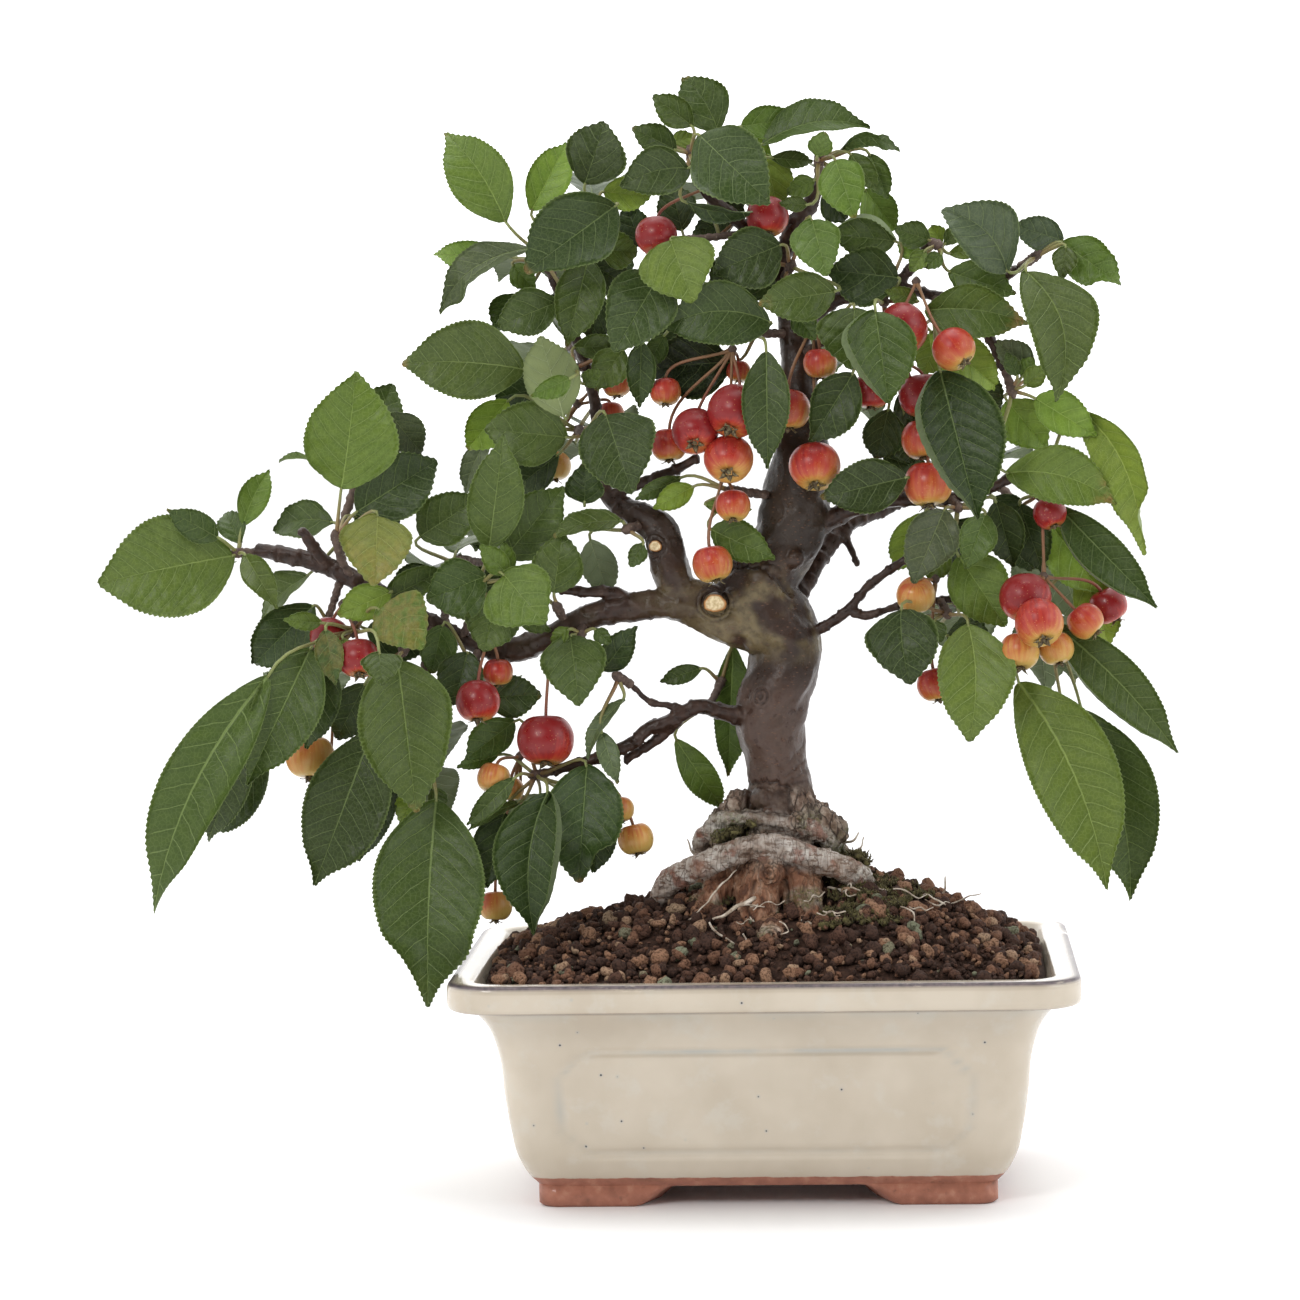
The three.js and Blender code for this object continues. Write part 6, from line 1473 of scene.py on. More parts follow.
# creases of the bark: places along each, its depth and its width; each is dented in, and painted darker with
# shade that grows with its depth
SEAMS = [
    ([(-12, 199.8), (-7, 201.8), (-1, 201.3), (4, 198), (9.3, 191.9)], 0.9, 0.8),
    ([(-6, 203.5), (0, 203.6), (6, 200.5)], 0.4, 0.5),
    ([(-8, 129.4), (-2, 130.8), (4, 130.6), (9, 128.8)], 1.0, 0.55),
    ([(-9, 121.6), (0, 121.2), (8, 120.2)], 0.8, 0.6),
    ([(-7.2, 129), (-8.2, 125.4), (-7.8, 121.4)], 0.7, 0.5),
    ([(7.6, 129), (7.4, 124.8), (8.4, 120.6)], 0.8, 0.5),
    ([(-6, 127.4), (0, 127.8), (6, 127.2)], 0.25, 0.3),
    ([(6.5, 133.0), (10, 135.2), (14.5, 140.5)], 0.35, 0.5),
    ([(8, 130.8), (11.5, 133), (15.4, 138)], 0.4, 0.5),
    ([(5.0, 135.8), (9, 138.5), (13, 144)], 0.3, 0.5),
    ([(-20, 117.5), (-14, 116.2), (-8, 115.8), (0, 115.6), (8, 113.2), (18, 109.8)], 0.5, 0.6),
    ([(-4, 98), (-6, 90), (-5, 82)], 0.7, 0.7),
    ([(6, 98), (7, 90), (9, 82)], 0.7, 0.7),
    ([(1.5, 94), (2, 89), (1.5, 85.5)], 0.4, 0.5),
]
# the fused wood's voxels and the triangles left of it
VOXEL, TREE_FACES = 0.62, 186000
# ring ridges round old scars: their middles and reach, and the way from ring to ring; the troughs between the
# ridges are painted dark as shade
RING_STEP = 1.7
SCAR_RINGS = [(-15.5, 189.7, -12.4, 6.5), (0.8, 100.5, -28, 5.6), (1, 80.5, -41, 5.4), (-14, 112.5, -16.4, 5),
              (-34.7, 208.7, -12, 5), (-1.4, 159, -12.0, 4.2), (10.5, 117.5, -19.4, 3.6)]


def make_tree():
    """The wood: tubes fused into one skin, then given its relief."""
    parts, samples = [], []
    for lines, sides, deep, is_belt, step in (
            ([TRUNK], 24, 0.05, False, 1.6), (LIMBS, 12, 0.07, False, 1.2), (BELTS, 14, 0.07, True, 1.6),
            (BENDS, 16, 0.04, False, 1.6), (NECK, 12, 0.12, False, 1.2), (ROOTS[2:], 14, 0.10, False, 1.6)):
        for rows in lines:
            path, radii = strand(rows, step)
            parts.append(tube(path, radii, sides, knobbly(len(parts), deep)))
            samples.extend((*p, r, is_belt, step * k) for k, (p, r) in enumerate(zip(path, radii)))
    for u, v, y, r in KNOTS:
        if 118 < v < 130 and abs(u) < 25:
            r *= 0.75
        levels = np.linspace(-0.95, 0.95, 9)
        path = at(u, v, y) + np.array([[0, 0, h * r] for h in levels])
        parts.append(tube(path, r * np.sqrt(1 - levels ** 2), 12, knobbly(u, 0.06)))
    rough = piece("tree_rough", parts, [])
    fuse = rough.modifiers.new("fuse", "REMESH")
    fuse.mode, fuse.voxel_size, fuse.use_smooth_shade = "VOXEL", VOXEL * MM, True
    ease = rough.modifiers.new("ease", "SMOOTH")
    ease.factor, ease.iterations = 0.5, 3
    mesh = worked(rough)
    paint_tree(mesh, np.array(samples))
    carrier = added("carrier", mesh)
    fewer = carrier.modifiers.new("fewer", "DECIMATE")
    fewer.ratio = min(1.0, TREE_FACES / (2 * len(mesh.polygons)))
    mesh = worked(carrier)
    mesh.materials.clear()
    mesh.materials.append(BARK)
    mesh.name = "tree_wood"
    show(mesh, "tree_wood", ["tree"])


def noise_at(points):
    return np.array([noise.noise(Vector(p)) for p in points])


def paint_tree(mesh, samples):
    """Adds the bark's relief, and the values that colour it, to the fused wood.

    Samples are points of the wood's lines: place, radius, whether in a belt, and way from the line's start.
    """
    n = len(mesh.vertices)
    co, normals = np.empty((2, n * 3), np.float32)
    mesh.vertices.foreach_get("co", co)
    mesh.vertex_normals.foreach_get("vector", normals)
    co = co.reshape(-1, 3) / MM - SHIFT
    normals = normals.reshape(-1, 3)
    tree = tree_of(samples[:, :3])
    # the wood's radius under each point, eased where one form runs into the next
    girth, nearest = np.empty(n), np.empty(n, int)
    for k, p in enumerate(co):
        hits = tree.find_n(p, 24)
        which = np.array([h[1] for h in hits])
        depth = np.array([h[2] for h in hits]) - samples[which, 3]
        weight = np.exp(-(depth - depth.min()) / 0.9)
        girth[k] = (weight * samples[which, 3]).sum() / weight.sum()
        nearest[k] = which[0]
    belts = samples[samples[:, 4] == 1]
    belt_tree = tree_of(belts[:, :3])
    belt_gap = np.array([gap / belts[i, 3] for _, i, gap in (belt_tree.find(p) for p in co)])
    height = co[:, 2]
    foot = 1 - smooth(118, 127, height)
    pale = (1 - smooth(1.05, 1.35, belt_gap)) * foot
    thin = (1 - smooth(3.0, 8.5, girth)) * (1 - foot)
    seen = (co - EYE) / (1 - co[:, 1:2] / EYE[1]) + EYE
    # the smoother middle of the neck, on its front
    block = smooth(8.8, 7.0, np.abs(seen[:, 0] - 0.3)) * smooth(5.0, 3.6, np.abs(height - 125))
    bark_foot = (1 - smooth(126, 132, height)) * (1 - 0.85 * (block * (co[:, 1] < 0)))
    short = co.astype(np.float32)
    lump, fine = noise_at(short * 0.16), noise_at(short * 0.6)
    crease = np.abs(noise_at(co * (0.55, 0.55, 0.16)))
    relief = (0.5 * lump * (1 - thin) + 0.22 * fine * (1 - 0.3 * thin)
              + bark_foot * (1 - pale) * (1.3 * crease - 0.4) + pale * 0.25 * fine)
    relief += thin * 0.25 * np.sin(height * 0.9 + co[:, 0] * 0.8 + 6 * lump) * 0.5
    node_gap = np.abs((samples[nearest, 5] + 2.5 * lump) % 7.0 - 3.5)
    relief += thin * 0.42 * np.exp(-(node_gap / 0.75) ** 2)
    ridge = noise_at(co * (0.75, 0.75, 0.10) + (0, 0, 9))
    relief += bark_foot * (1 - pale) * 0.9 * (0.35 - np.abs(ridge) * 2.0)
    across = noise_at(co * (0.5, 0.16, 0.16) + (0, 0, 4))
    relief -= pale * 0.7 * np.exp(-(across / 0.05) ** 2)
    relief += pale * 0.5 * lump
    rings = np.zeros(n)
    for u, v, y, reach in SCAR_RINGS:
        gap = np.linalg.norm(co - at(u, v, y), axis=1)
        near = 1 - smooth(0.75 * reach, 1.15 * reach, gap)
        waves = np.cos(gap * 2 * math.pi / RING_STEP)
        relief += near * 0.42 * waves
        # painted shade: the troughs between the ring ridges are darkened, carried in the seam value
        rings = np.maximum(rings, near * (waves < -0.6) * 0.7)
    seam = np.zeros(n)
    for rows, deep, wide in SEAMS:
        line = spline(np.array([(u, 0.0, v, 0.0) for u, v in rows]), 0.5)[0][:, [0, 2]]
        low, high = line.min(0) - 3 * wide, line.max(0) + 3 * wide
        near = np.all((seen[:, [0, 2]] > low) & (seen[:, [0, 2]] < high), axis=1) & (co[:, 1] < 0)
        where = seen[near][:, [0, 2]] + 1.6 * np.stack([lump, fine], 1)[near] * 0.8
        gap = np.linalg.norm(where[:, None] - line[None], axis=2).min(1)
        relief[near] -= deep * np.exp(-(gap / wide) ** 2)
        # painted shade in the crease, darker as the crease is deeper
        seam[near] = np.maximum(seam[near], min(1.0, 1.3 * deep) * np.exp(-(gap / (0.8 * wide)) ** 2))
    co = co + normals * relief[:, None]
    mesh.vertices.foreach_set("co", ((co + SHIFT) * MM).astype(np.float32).ravel())
    broad = noise_at(co.astype(np.float32) * 0.09 + (7, 3, 1))
    moss_near = np.exp(-(np.linalg.norm(co - at(-10, 113.5, -14), axis=1) / 6.5) ** 2)
    moss_near += np.exp(-(np.linalg.norm(co - at(24, 104, -6), axis=1) / 9) ** 2)
    moss = np.clip(moss_near + foot * (1 - pale) * smooth(0.15, 0.45, broad) * 0.6, 0, 1)
    pale = np.clip(pale * (0.75 + 0.5 * broad) + 0.35 * foot * smooth(0.1, 0.4, broad), 0, 1)
    # seam holds the shade painted into the creases and the ring troughs
    for key, value in (("pale", pale), ("foot", bark_foot), ("thin", thin), ("moss", moss),
                       ("seam", np.maximum(seam, rings))):
        paint(mesh, key, value)
    mesh.update()


def make_scars():
    """The three pale pruning cuts."""
    cuts = [((-15.5, 189.7, -16.6), 3.5, 2.7), ((-34.7, 208.7, -15.3), 2.0, 1.7),
            ((-30.5, 213.5, -10.5), 1.5, 1.3)]
    sides, parts = 22, []
    for (u, v, y), wide, tall in cuts:
        centre = at(u, v, y)
        out = unit(EYE - centre + np.array([-120, 0, 60]))
        right = unit(np.cross([0, 0, 1], out)) * -1
        up = np.cross(out, right) * -1
        shares = np.array([0.0, 0.3, 0.55, 0.78, 0.9, 1.0, 1.06, 1.02])
        lift = np.array([0.35, 0.36, 0.34, 0.42, 0.5, 0.3, -0.4, -2.4])
        a = circle(sides)
        jag = 1 + 0.05 * np.sin(3 * a + u) + 0.03 * np.sin(7 * a)
        points = (centre + out * lift[:, None, None]
                  + right * (shares[:, None] * wide * np.cos(a) * jag)[..., None]
                  + up * (shares[:, None] * tall * np.sin(a) * jag)[..., None])
        rim = np.repeat(smooth(0.8, 0.95, shares[1:]), sides)
        turned = np.cross(points[2, 0] - points[1, 0], points[1, 1] - points[1, 0]).dot(out) > 0
        order = -1 if turned else 1
        rows, ends = len(shares) - 1, [centre + out * lift[0], centre + out * lift[-1]]
        parts.append(Part(np.concatenate([points[1:].reshape(-1, 3), ends]),
                          grid_faces(rows, sides, closed=True)[:, ::order],
                          end_caps(rows, sides)[:, ::order], rim=np.concatenate([rim, [0, 1]])))
    piece("pruning_scars", parts, [SCAR])


# ------------------------------------------------------------------ pot
# the wall's thickness and top, the depth of the panel's line, the foot's half length and its arches' rise
WALL, WALL_TOP, GROOVE = 6.5, 65.6, 1.1
FOOT_HALF, ARCH_RISE = 72, 6.6


def rounded(half_x, half_y, corner, z, per_corner=12):
    """Points round a rounded rectangle, counterclockwise from the right, evenly laid."""
    points = []
    for quarter, (sx, sy) in enumerate(((1, 1), (-1, 1), (-1, -1), (1, -1))):
        cx, cy = sx * (half_x - corner), sy * (half_y - corner)
        for i in range(per_corner):
            angle = math.pi / 2 * (quarter + i / (per_corner - 1))
            points.append((cx + corner * math.cos(angle), cy + corner * math.sin(angle)))
        nx, ny = ((-1, 1), (-1, -1), (1, -1), (1, 1))[quarter]
        start = np.array(points[-1])
        end = np.array([nx * (half_x - corner) + (corner * nx if quarter % 2 else 0),
                        ny * (half_y - corner) + (0 if quarter % 2 else corner * ny)])
        count = (56, 36)[quarter % 2]
        points.extend(tuple(start + (end - start) * k / count) for k in range(1, count))
    return np.array([(x, y, z) for x, y in points])


def pot_corner(half):
    """Radius of the wall's corners, which grows with its half length."""
    return 6 + (half - 72) * 0.36


def profile_half(z):
    """Half length of the outer wall at height z, eased between the profile's rows."""
    zs, halves = (np.array(c, float) for c in zip(*POT_PROFILE))
    return between(halves, zs, np.gradient(halves, zs), z)


def inner_half(z):
    """Half length of the pot's inner wall at height z."""
    half = profile_half(min(z, 65)) - WALL + 5 * max(0, (min(z, 71) - 60) / 15)
    return min(half, LENGTH / 2 - RIM_WIDTH)


def panel_gap(x, z):
    """Distance from the notched outline of the panel, in millimetres."""
    half, low, high, notch = (PANEL[k] for k in ("half", "low", "high", "notch"))
    mid, tall = (low + high) / 2, (high - low) / 2
    dx, dz = np.abs(x) - half, np.abs(z - mid) - tall
    corner = (dx + dz + notch * 1.1) / 1.35
    return np.maximum(np.maximum(dx, dz), corner)


def make_pot():
    rings, bare, worn, groove = [], [], [], []

    def ring(points, clay=0.0, wear=0.0, line=0.0):
        rings.append(points)
        for values, value in ((bare, clay), (worn, wear), (groove, line)):
            values.append(np.broadcast_to(value, len(points)))
    for z in np.linspace(FLOOR_UNDER, WALL_TOP, 56):
        half = profile_half(z)
        points = rounded(half, half - SHORTER, pot_corner(half), z)
        long_side = np.abs(points[:, 1]) > half - SHORTER - 0.5
        gap = panel_gap(points[:, 0], z)
        sunk = np.exp(-((gap + GROOVE) / 1.15) ** 2) * long_side
        points[:, 1] -= np.sign(points[:, 1]) * GROOVE * sunk
        ring(points, 1 - float(smooth(8.6, 11.2, z)), 0.7 * float(smooth(WALL_TOP - 1, WALL_TOP, z)),
             np.maximum(sunk ** 2, 0.5 * float(smooth(61, WALL_TOP, z))))
    bottom = HEIGHT - RIM_DROP
    # half length, height and wear of the glaze, from the rim's underside over its edge to its inner side
    lip = [(96.5, bottom - 0.35, 0.8), (98.6, bottom - 0.3, 0.5), (99.6, bottom + 0.3, 0.0),
           (100, bottom + 1.4, 0), (100, bottom + 3, 0), (100, bottom + 4.6, 0),
           (100, HEIGHT - 2.6, 0), (99.9, HEIGHT - 1.5, 0.15),
           (99.5, HEIGHT - 0.6, 1.0), (98.9, HEIGHT - 0.15, 1.0), (98.0, HEIGHT, 0.75), (96.5, HEIGHT, 0.05),
           (94, HEIGHT, 0), (92.3, HEIGHT - 0.15, 0), (91.3, HEIGHT - 0.7, 0.1), (90.8, HEIGHT - 1.8, 0.1)]
    for half, z, wear in lip:
        corner = 16 - (100 - half) * 0.75
        ring(rounded(half, half - SHORTER, corner, z), 0, wear)
    for z in (70, 64, 57, 48, 37, 26, FLOOR_TOP):
        half = inner_half(z)
        ring(rounded(half, half - SHORTER, pot_corner(half), z), 0.8 if z < 66 else 0)
    wall = Part(np.concatenate(rings), grid_faces(len(rings), len(rings[0]), closed=True),
                bare=np.concatenate(bare), worn=np.concatenate(worn), groove=np.concatenate(groove))
    piece("pot_body", [wall, *floor_parts(rings[-1], rings[0]), foot_part()], [GLAZE], ["pot"])


def floor_parts(inside, outside):
    """Upper and lower skins of the floor, each with two round holes, and the holes' walls."""
    def rim(side, angles, z):
        """Points on the rim of a hole, at height z."""
        return np.stack([side * HOLE_X + HOLE_RADIUS * np.cos(angles), HOLE_RADIUS * np.sin(angles),
                         np.full(len(angles), z)], 1)
    parts = []
    for ring, z, up in ((inside, inside[0, 2], True), (outside, outside[0, 2], False)):
        for side in (-1, 1):
            # each half of the floor runs from its hole out to its share of the wall
            half = ring[ring[:, 0] * side > 0.01]
            seam = np.array([(0.0, y, z) for y in np.linspace(half[:, 1].min(), half[:, 1].max(), 15)])
            loop = np.concatenate([half, seam])
            angle = np.arctan2(loop[:, 1], loop[:, 0] - side * HOLE_X)
            loop = loop[np.argsort(angle)]
            parts.append(Part(np.concatenate([rim(side, np.sort(angle), z), loop]),
                              grid_faces(2, len(loop), closed=True, flip=not up), bare=1.0))
    for side in (-1, 1):
        walls = [rim(side, circle(28), z) for z in (FLOOR_UNDER, FLOOR_TOP)]
        parts.append(Part(np.concatenate(walls), grid_faces(2, 28, closed=True, flip=True), bare=1.0))
    return parts


def foot_part():
    """The bare clay ring under the pot: four corner feet with arches between them."""
    narrow, wide = (rounded(h, h - SHORTER, pot_corner(FOOT_HALF), 0) for h in (72.4, 73.4))
    inner = rounded(60, 60 - SHORTER, 3, 0)
    x, y = wide[:, 0], wide[:, 1]
    on_long = np.abs(y) > FOOT_HALF - SHORTER - 6.5
    gap = np.where(on_long, np.abs(x) - 36, np.abs(y) - 26)
    lift = ARCH_RISE * (1 - smooth(-5.5, 6.5, gap)) ** 0.8
    lift = np.where(on_long | (np.abs(x) > 65), lift, ARCH_RISE)
    levels = [(inner, 7.2), (inner, lift + 0.3), (inner * [1.01, 1.01, 1], lift), (narrow, lift),
              (wide, np.minimum(lift + 1.0, 7.1)), (wide, 7.2), (narrow, 7.3), (inner, 7.2)]
    rings = [np.stack([base[:, 0], base[:, 1], z * np.ones(len(x))], 1) for base, z in levels]
    return Part(np.concatenate(rings), grid_faces(len(rings), len(x), closed=True), bare=1.0)


def make_nets():
    """Woven nets of 11 threads each way over the drain holes."""
    threads, knots, radius = 11, 27, 0.27
    line = np.linspace(-13, 13, knots)
    for side, name in ((-1, "left"), (1, "right")):
        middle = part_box("drain_mesh_" + name)[0].z / MM + 0.45
        parts = []
        for k in range(threads):
            place = -12.6 + 2.52 * k
            lift = 0.18 * np.cos(np.arange(knots) * math.pi + k * math.pi)
            along_x = np.stack([side * HOLE_X + line, np.full(knots, place), middle + lift], 1)
            along_y = np.stack([np.full(knots, side * HOLE_X + place), line, middle - lift], 1)
            parts += [tube(along_x, radius, 6), tube(along_y, radius, 6)]
        piece("drain_net_" + name, parts, [NET], ["drain_mesh_" + name])


# ------------------------------------------------------------------ soil, moss and fine roots
# how square the soil's outline is, and how far its skin lies under the grains
SQUARE, SUNK = 7, 1.3
# the vector noise that sways the fine roots would start from the clock without a seed
SWAY_SEED = 1795514944


def inner_reach(x, y):
    """1 at the pot's inner wall, 0 at the middle of the soil."""
    a, b = (LENGTH / 2 - RIM_WIDTH - 1.6), (DEPTH / 2 - RIM_WIDTH - 1.6)
    return (np.abs(x / a) ** SQUARE + np.abs(y / b) ** SQUARE) ** (1 / SQUARE)


def mound(x, y):
    """Height of the soil."""
    away = np.abs(y) / (DEPTH / 2 - RIM_WIDTH)
    share = np.minimum(1, away ** 1.5)
    return np.interp(x, *zip(*MOUND)) * (1 - share) + SOIL_EDGE * share


def make_soil():
    a, b = LENGTH / 2 - RIM_WIDTH - 1.2, DEPTH / 2 - RIM_WIDTH - 1.2
    sides, shares = 120, np.linspace(0.0, 1.0, 34)[1:]
    angle = circle(sides)
    reach = (np.abs(np.cos(angle)) ** SQUARE + np.abs(np.sin(angle)) ** SQUARE) ** (-1 / SQUARE)
    x = shares[:, None] * a * reach * np.cos(angle)
    y = shares[:, None] * b * reach * np.sin(angle)
    z = mound(x, y) - SUNK
    rough = np.array([noise.noise(Vector((p, q, 0)) * 0.35) + 0.6 * noise.noise(Vector((p, q, 5)) * 0.9)
                      for p, q in zip(x.ravel(), y.ravel())]).reshape(x.shape)
    z = z + 1.1 * rough * smooth(1.0, 0.9, shares)[:, None]
    rings = [np.stack([x[k], y[k], z[k]], 1) for k in range(len(shares))]
    for level in (62, 50, 38, 26, SOIL_UNDER):
        half = inner_half(level) - 1.5
        rings.append(np.stack([x[-1] / a * half, y[-1] / b * (half - SHORTER), np.full(sides, level)], 1))
    points = np.concatenate([*rings, [[0, 0, mound(0.0, 0.0) - SUNK], [0, 0, SOIL_UNDER]]])
    n = len(rings)
    bed = Part(points, grid_faces(n, sides, closed=True, flip=True), end_caps(n, sides, flip=True))
    piece("soil_bed", [bed], [SOIL], ["soil"])


def ball(level):
    """Points and triangles of a round grain, from a subdivided icosahedron."""
    g = (1 + 5 ** 0.5) / 2
    corners = [(-1, g, 0), (1, g, 0), (-1, -g, 0), (1, -g, 0), (0, -1, g), (0, 1, g),
               (0, -1, -g), (0, 1, -g), (g, 0, -1), (g, 0, 1), (-g, 0, -1), (-g, 0, 1)]
    points = [unit(p) for p in corners]
    tris = [(0, 11, 5), (0, 5, 1), (0, 1, 7), (0, 7, 10), (0, 10, 11), (1, 5, 9), (5, 11, 4), (11, 10, 2),
            (10, 7, 6), (7, 1, 8), (3, 9, 4), (3, 4, 2), (3, 2, 6), (3, 6, 8), (3, 8, 9), (4, 9, 5),
            (2, 4, 11), (6, 2, 10), (8, 6, 7), (9, 8, 1)]
    for _ in range(level):
        halves, finer = {}, []

        def half(i, j):
            key = (min(i, j), max(i, j))
            if key not in halves:
                halves[key] = len(points)
                points.append(unit(points[i] + points[j]))
            return halves[key]
        for i, j, k in tris:
            ij, jk, ki = half(i, j), half(j, k), half(k, i)
            finer += [(i, ij, ki), (j, jk, ij), (k, ki, jk), (ij, jk, ki)]
        tris = finer
    return np.array(points), np.array(tris)


def grains(count, size, level, seed, kinds):
    """Grains strewn over the mound, half sunk in it."""
    rng = np.random.default_rng(seed)
    form, tris = ball(level)
    x = rng.uniform(-91, 91, count * 2)
    y = rng.uniform(-66, 66, count * 2)
    keep = inner_reach(x, y) < 0.985
    x, y = x[keep][:count], y[keep][:count]
    n = len(x)
    r = rng.uniform(*size, n) / 2 * rng.choice([0.8, 1.0, 1.25], n)
    z = mound(x, y) + rng.uniform(-0.9, 0.5, n) + 0.3 * r
    centres = np.stack([x, y, z], 1)
    bumps = 1 + 0.17 * np.sin(form @ rng.normal(0, 2.3, (n, 3, 1)) + rng.uniform(0, 6, (n, 1, 1)))[..., 0]
    bumps = bumps + 0.11 * np.sin(form @ rng.normal(0, 5.0, (n, 3, 1)) + rng.uniform(0, 6, (n, 1, 1)))[..., 0]
    stretch = rng.uniform(0.62, 1.25, (n, 1, 3)) * [1, 1, 0.85]
    turn = np.linalg.qr(rng.normal(size=(n, 3, 3)))[0]
    turn *= np.sign(np.linalg.det(turn))[:, None, None]
    points = (form[None] * bumps[..., None] * stretch) @ turn * r[:, None, None] + centres[:, None]
    faces = (tris[None] + (np.arange(n) * len(form))[:, None, None]).reshape(-1, 3)
    names, odds = zip(*kinds)
    kind = rng.choice(names, n, p=odds) + rng.uniform(-0.03, 0.03, n)
    kind = np.repeat(kind, len(form))
    return Part(points.reshape(-1, 3), (), faces, kind=kind)


def make_granules():
    earth = [(0.1, 0.26), (0.4, 0.26), (0.6, 0.22), (0.78, 0.15), (0.88, 0.07), (0.96, 0.04)]
    piece("granules_coarse", [grains(1250, (2.6, 5.2), 1, 11, earth)], [GRANULES])
    crumbs = [(0.05, 0.50), (0.35, 0.26), (0.6, 0.12), (0.78, 0.07), (0.88, 0.03), (0.96, 0.02)]
    piece("granules_fine", [grains(5000, (1.0, 2.6), 0, 12, crumbs)], [GRANULES])


def make_moss():
    """Tufts of moss right of the foot, on the left knot and in the creases of the roots."""
    dice = random.Random(5)
    spots = [((21, 101), (52, 95), 46, -8), ((22, 96), (46, 90), 60, -20), ((20, 90), (40, 86), 34, -32),
             ((-17, 111.5), (-7, 115.5), 20, -14.5), ((-24, 98), (-12, 96), 10, -16),
             ((23, 106), (34, 104), 18, -6)]
    form, tris = ball(0)
    parts = []
    for (u0, v0), (u1, v1), tufts, y in spots:
        for _ in range(tufts):
            share, spread = dice.random(), dice.uniform(-3, 3)
            centre = at(u0 + (u1 - u0) * share + spread, v0 + (v1 - v0) * share + spread * 0.6,
                        y + dice.uniform(-5, 5))
            ground = mound(centre[0], centre[1])
            if centre[2] < ground - 1 or v0 < 104:
                centre[2] = ground + 0.4
            swell = np.array([dice.uniform(0.7, 1.3) for _ in form])[:, None] * dice.uniform(0.9, 1.9)
            parts.append(Part(centre + form * swell * [1, 1, 0.7], (), tris))
            for _ in range(14):
                root = centre + np.array([dice.gauss(0, 1.1), dice.gauss(0, 1.1), dice.gauss(0, 0.3) + 0.6])
                lean = unit([dice.gauss(0, 0.6), dice.gauss(0, 0.6) - 0.3, 1])
                tall = dice.uniform(0.6, 1.6)
                path = root + lean * np.array([[-0.6], [0.5], [1.0]]) * tall
                parts.append(tube(path, np.array([0.30, 0.24, 0.04]), 3))
    piece("moss", parts, [MOSS])


def make_fine_roots():
    """Pale fine roots and twigs that lie on the soil and leave the foot."""
    rows = [
        [(-10, 102, -20, 0.35), (-16, 96, -24, 0.45), (-21, 90, -28, 0.4), (-26, 85.5, -31, 0.3)],
        [(-4, 92.5, -27, 1.0), (-9, 90, -31, 1.0), (-14, 87.5, -34, 0.8), (-18, 85.5, -36, 0.5)],
        [(-19, 84.5, -36, 0.5), (-15, 80, -40, 0.6), (-11, 77.5, -42, 0.4)],
        [(-8, 81, -38, 0.45), (-6.5, 77, -41, 0.5), (-4.5, 75.5, -43, 0.3)],
        [(0, 75.5, -44, 0.4), (6, 75, -45, 0.6), (11, 74.5, -45, 0.35)],
        [(20, 95.5, -16, 0.6), (27, 94.8, -18, 0.8), (34, 95.4, -18, 0.7), (40, 94.5, -17, 0.4)],
        [(36, 94, -18, 0.4), (40, 91, -21, 0.4), (42, 89, -22, 0.3)],
        [(44, 93, -14, 0.5), (49, 90, -17, 0.8), (54, 86, -20, 0.7), (56, 85, -21, 0.4)],
        [(44, 90, -20, 0.6), (43.5, 86, -23, 0.7), (42, 83, -25, 0.3)],
        [(11, 86, -30, 0.8), (14, 84, -32, 0.9), (17, 81.5, -34, 0.5)],
        [(27, 107, -6, 0.7), (31, 109.5, -7, 0.5), (32, 112.5, -7, 0.3)],
        [(25, 110, -4, 0.7), (29, 112, -5, 0.5), (30.5, 114, -5, 0.3)],
        [(55, 91, -6, 0.5), (58, 95, -6, 0.5), (58.5, 99, -6, 0.3)],
        [(60, 90, -8, 0.3), (65, 92, -8, 0.4), (70, 93.5, -8, 0.25)],
        [(-22, 106, -8, 0.6), (-25, 109, -8, 0.5), (-26, 112, -8, 0.3)],
    ]
    parts = []
    dice = random.Random(8)
    for _ in range(16):
        u, way, y = dice.uniform(-24, 56), dice.uniform(-1.2, 1.2), dice.uniform(-44, -12)
        row = []
        for _ in range(6):
            x, depth, _ = at(u, 80, y)
            row.append((u, float(mound(x, depth)) + dice.uniform(-0.2, 1.4), y, dice.uniform(0.2, 0.42)))
            u, y, way = u + 2.3 * math.cos(way), y - 1.6 * math.sin(way), way + dice.gauss(0, 0.5)
        rows.append(row)
    noise.seed_set(SWAY_SEED)
    for number, row in enumerate(rows):
        path, radii = strand(row, 0.9)
        sway = np.array([noise.noise_vector(Vector(p) * 0.22) for p in path])
        parts.append(tube(path + 0.8 * sway, 0.72 * radii, 5, knobbly(number, 0.12)))
    piece("fine_roots", parts, [FINE_ROOTS])


# ------------------------------------------------------------------ camera, floor and light
YAW, PITCH, ROLL = (math.radians(a) for a in (-3.23, 4.09, -1.05))
FOCAL_PX, FRAME_PX, SENSOR = 4296.0, 1300.0, 36.0
SKY_FRONT, SKY_BACK = 0.20, 1.75
FLOOR_HALF = 12.0


def make_camera():
    ahead = np.array([math.sin(YAW) * math.cos(PITCH), math.cos(YAW) * math.cos(PITCH), -math.sin(PITCH)])
    right = np.array([math.cos(YAW), -math.sin(YAW), 0.0])
    up = np.cross(right, ahead)
    x = right * math.cos(ROLL) + up * math.sin(ROLL)
    y = -right * math.sin(ROLL) + up * math.cos(ROLL)
    data = bpy.data.cameras.new("camera")
    data.sensor_width = SENSOR
    data.lens = SENSOR * FOCAL_PX / FRAME_PX
    camera = added("camera", data)
    turn = Matrix([x, y, -ahead]).transposed().to_4x4()
    camera.matrix_world = Matrix.Translation(Vector((EYE + SHIFT) * MM)) @ turn
    bpy.context.scene.camera = camera


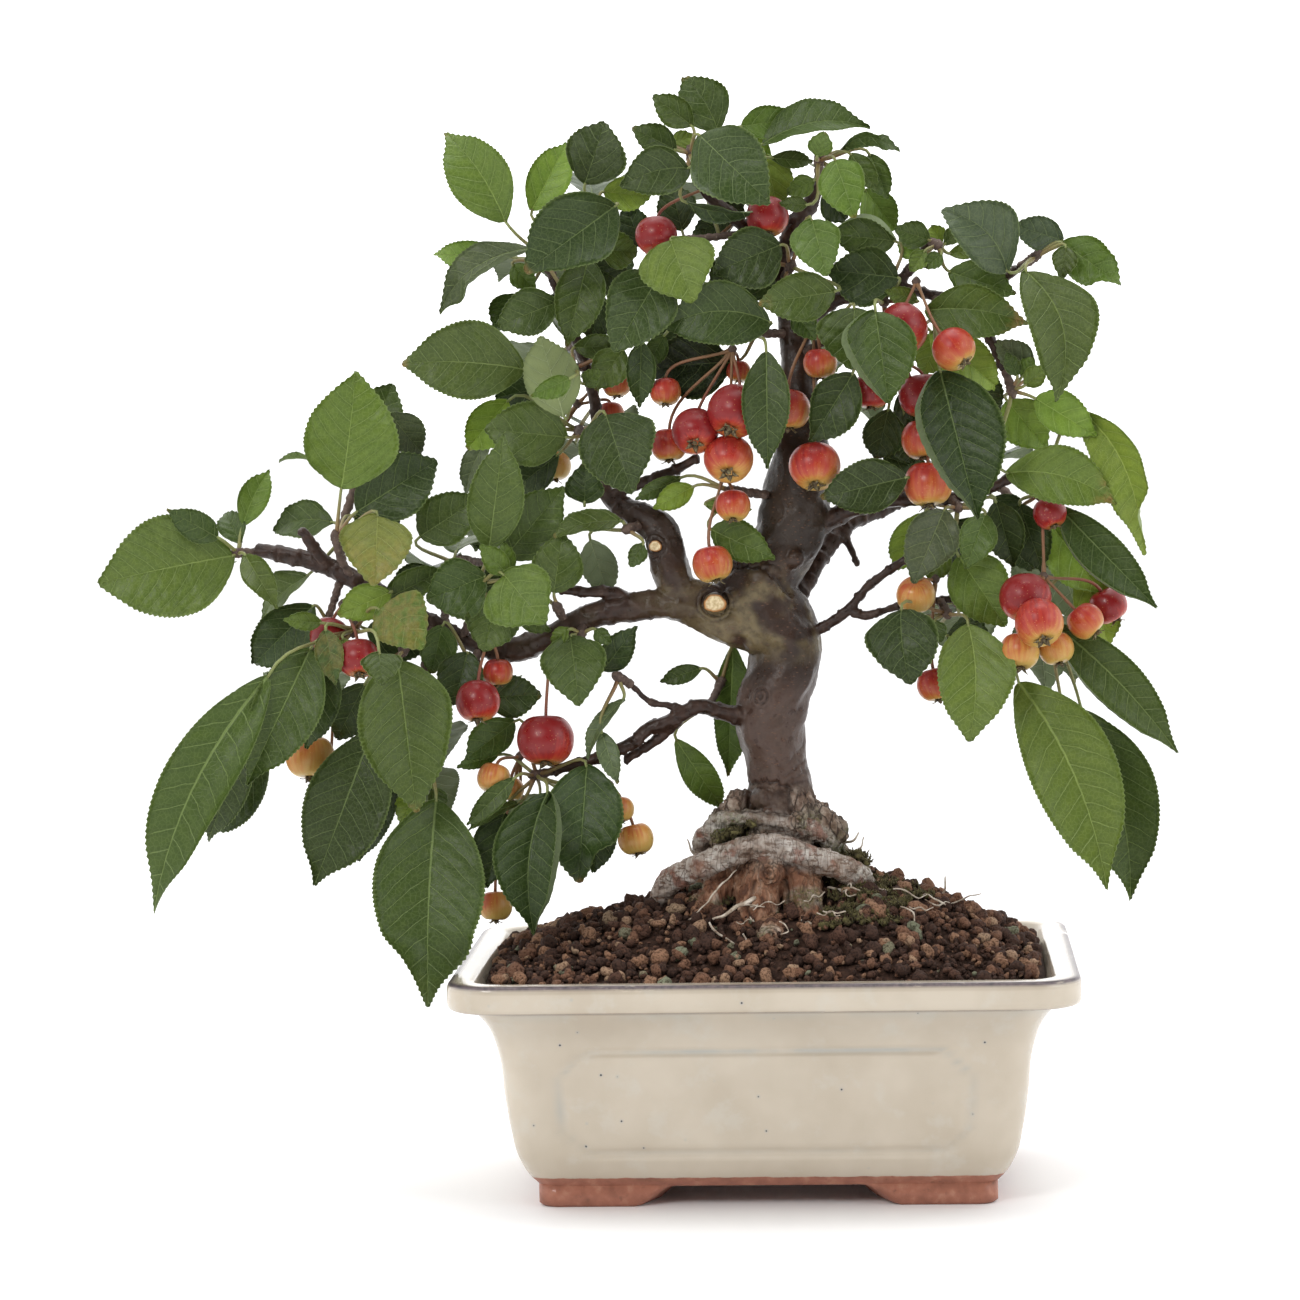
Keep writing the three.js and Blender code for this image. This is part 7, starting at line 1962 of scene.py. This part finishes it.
def make_floor():
    mesh = bpy.data.meshes.new("floor")
    corners = [(x * FLOOR_HALF, y * FLOOR_HALF, 0) for x, y in ((-1, -1), (1, -1), (1, 1), (-1, 1))]
    mesh.from_pydata(corners, [], [(0, 1, 2, 3)])
    f = Finish("floor_paint", Roughness=0.6)
    f.done(Base_Color=f.ramp(f.noise(400.0, 2.0), (0.4, (0.86, 0.86, 0.87)), (0.6, (0.88, 0.88, 0.885))))
    mesh.materials.append(f.material)
    floor = added("floor", mesh)


def make_light():
    middle = Vector((0.0, 0.0, 0.2))
    for name, place, size, power, colour in (
            ("key", (-0.7, -1.45, 1.15), 0.5, 11.5, (1.0, 0.99, 0.97)),
            ("fill", (1.5, -0.9, 0.9), 0.8, 4.5, (0.98, 0.99, 1.0)),
            ("top", (0.1, 0.1, 1.9), 1.2, 12.0, (1.0, 1.0, 1.0))):
        data = bpy.data.lights.new(name, "AREA")
        data.shape, data.size, data.energy, data.color = "SQUARE", size, power, colour
        lamp = added(name, data)
        lamp.location = place
        lamp.rotation_euler = (middle - Vector(place)).to_track_quat("-Z", "Y").to_euler()
    world = bpy.data.worlds.new("studio")
    world.use_nodes = True
    nodes, links = world.node_tree.nodes, world.node_tree.links
    # a light tent: bright behind and above the tree, darker on the camera's side
    ways = nodes.new("ShaderNodeSeparateXYZ")
    links.new(nodes.new("ShaderNodeTexCoord").outputs["Generated"], ways.inputs[0])
    glow = nodes.new("ShaderNodeMapRange")
    glow.interpolation_type = "SMOOTHSTEP"
    for socket, value in zip(glow.inputs[1:5], (-0.6, 0.75, SKY_FRONT, SKY_BACK)):
        socket.default_value = value
    aside = nodes.new("ShaderNodeMath")
    aside.operation = "ABSOLUTE"
    links.new(ways.outputs["X"], aside.inputs[0])
    sum_up = nodes.new("ShaderNodeMath")
    sum_up.operation = "MULTIPLY_ADD"
    sum_up.inputs[1].default_value = 0.95
    links.new(aside.outputs[0], sum_up.inputs[0])
    links.new(ways.outputs["Y"], sum_up.inputs[2])
    links.new(sum_up.outputs[0], glow.inputs[0])
    links.new(glow.outputs[0], nodes["Background"].inputs["Strength"])
    nodes["Background"].inputs["Color"].default_value = (1.0, 1.0, 1.0, 1.0)
    bpy.context.scene.world = world
    bpy.context.scene.view_settings.view_transform = "Standard"


# ------------------------------------------------------------------ all together
for make in (make_camera, make_floor, make_light, make_pot, make_nets, make_soil, make_granules,
             make_moss, make_fine_roots, make_tree, make_scars):
    make()
for spray_name, spray_rows in SPRAYS.items():
    make_spray(spray_name, spray_rows)
for bunch_name, bunch_rows in BUNCHES.items():
    make_bunch(bunch_name, bunch_rows)
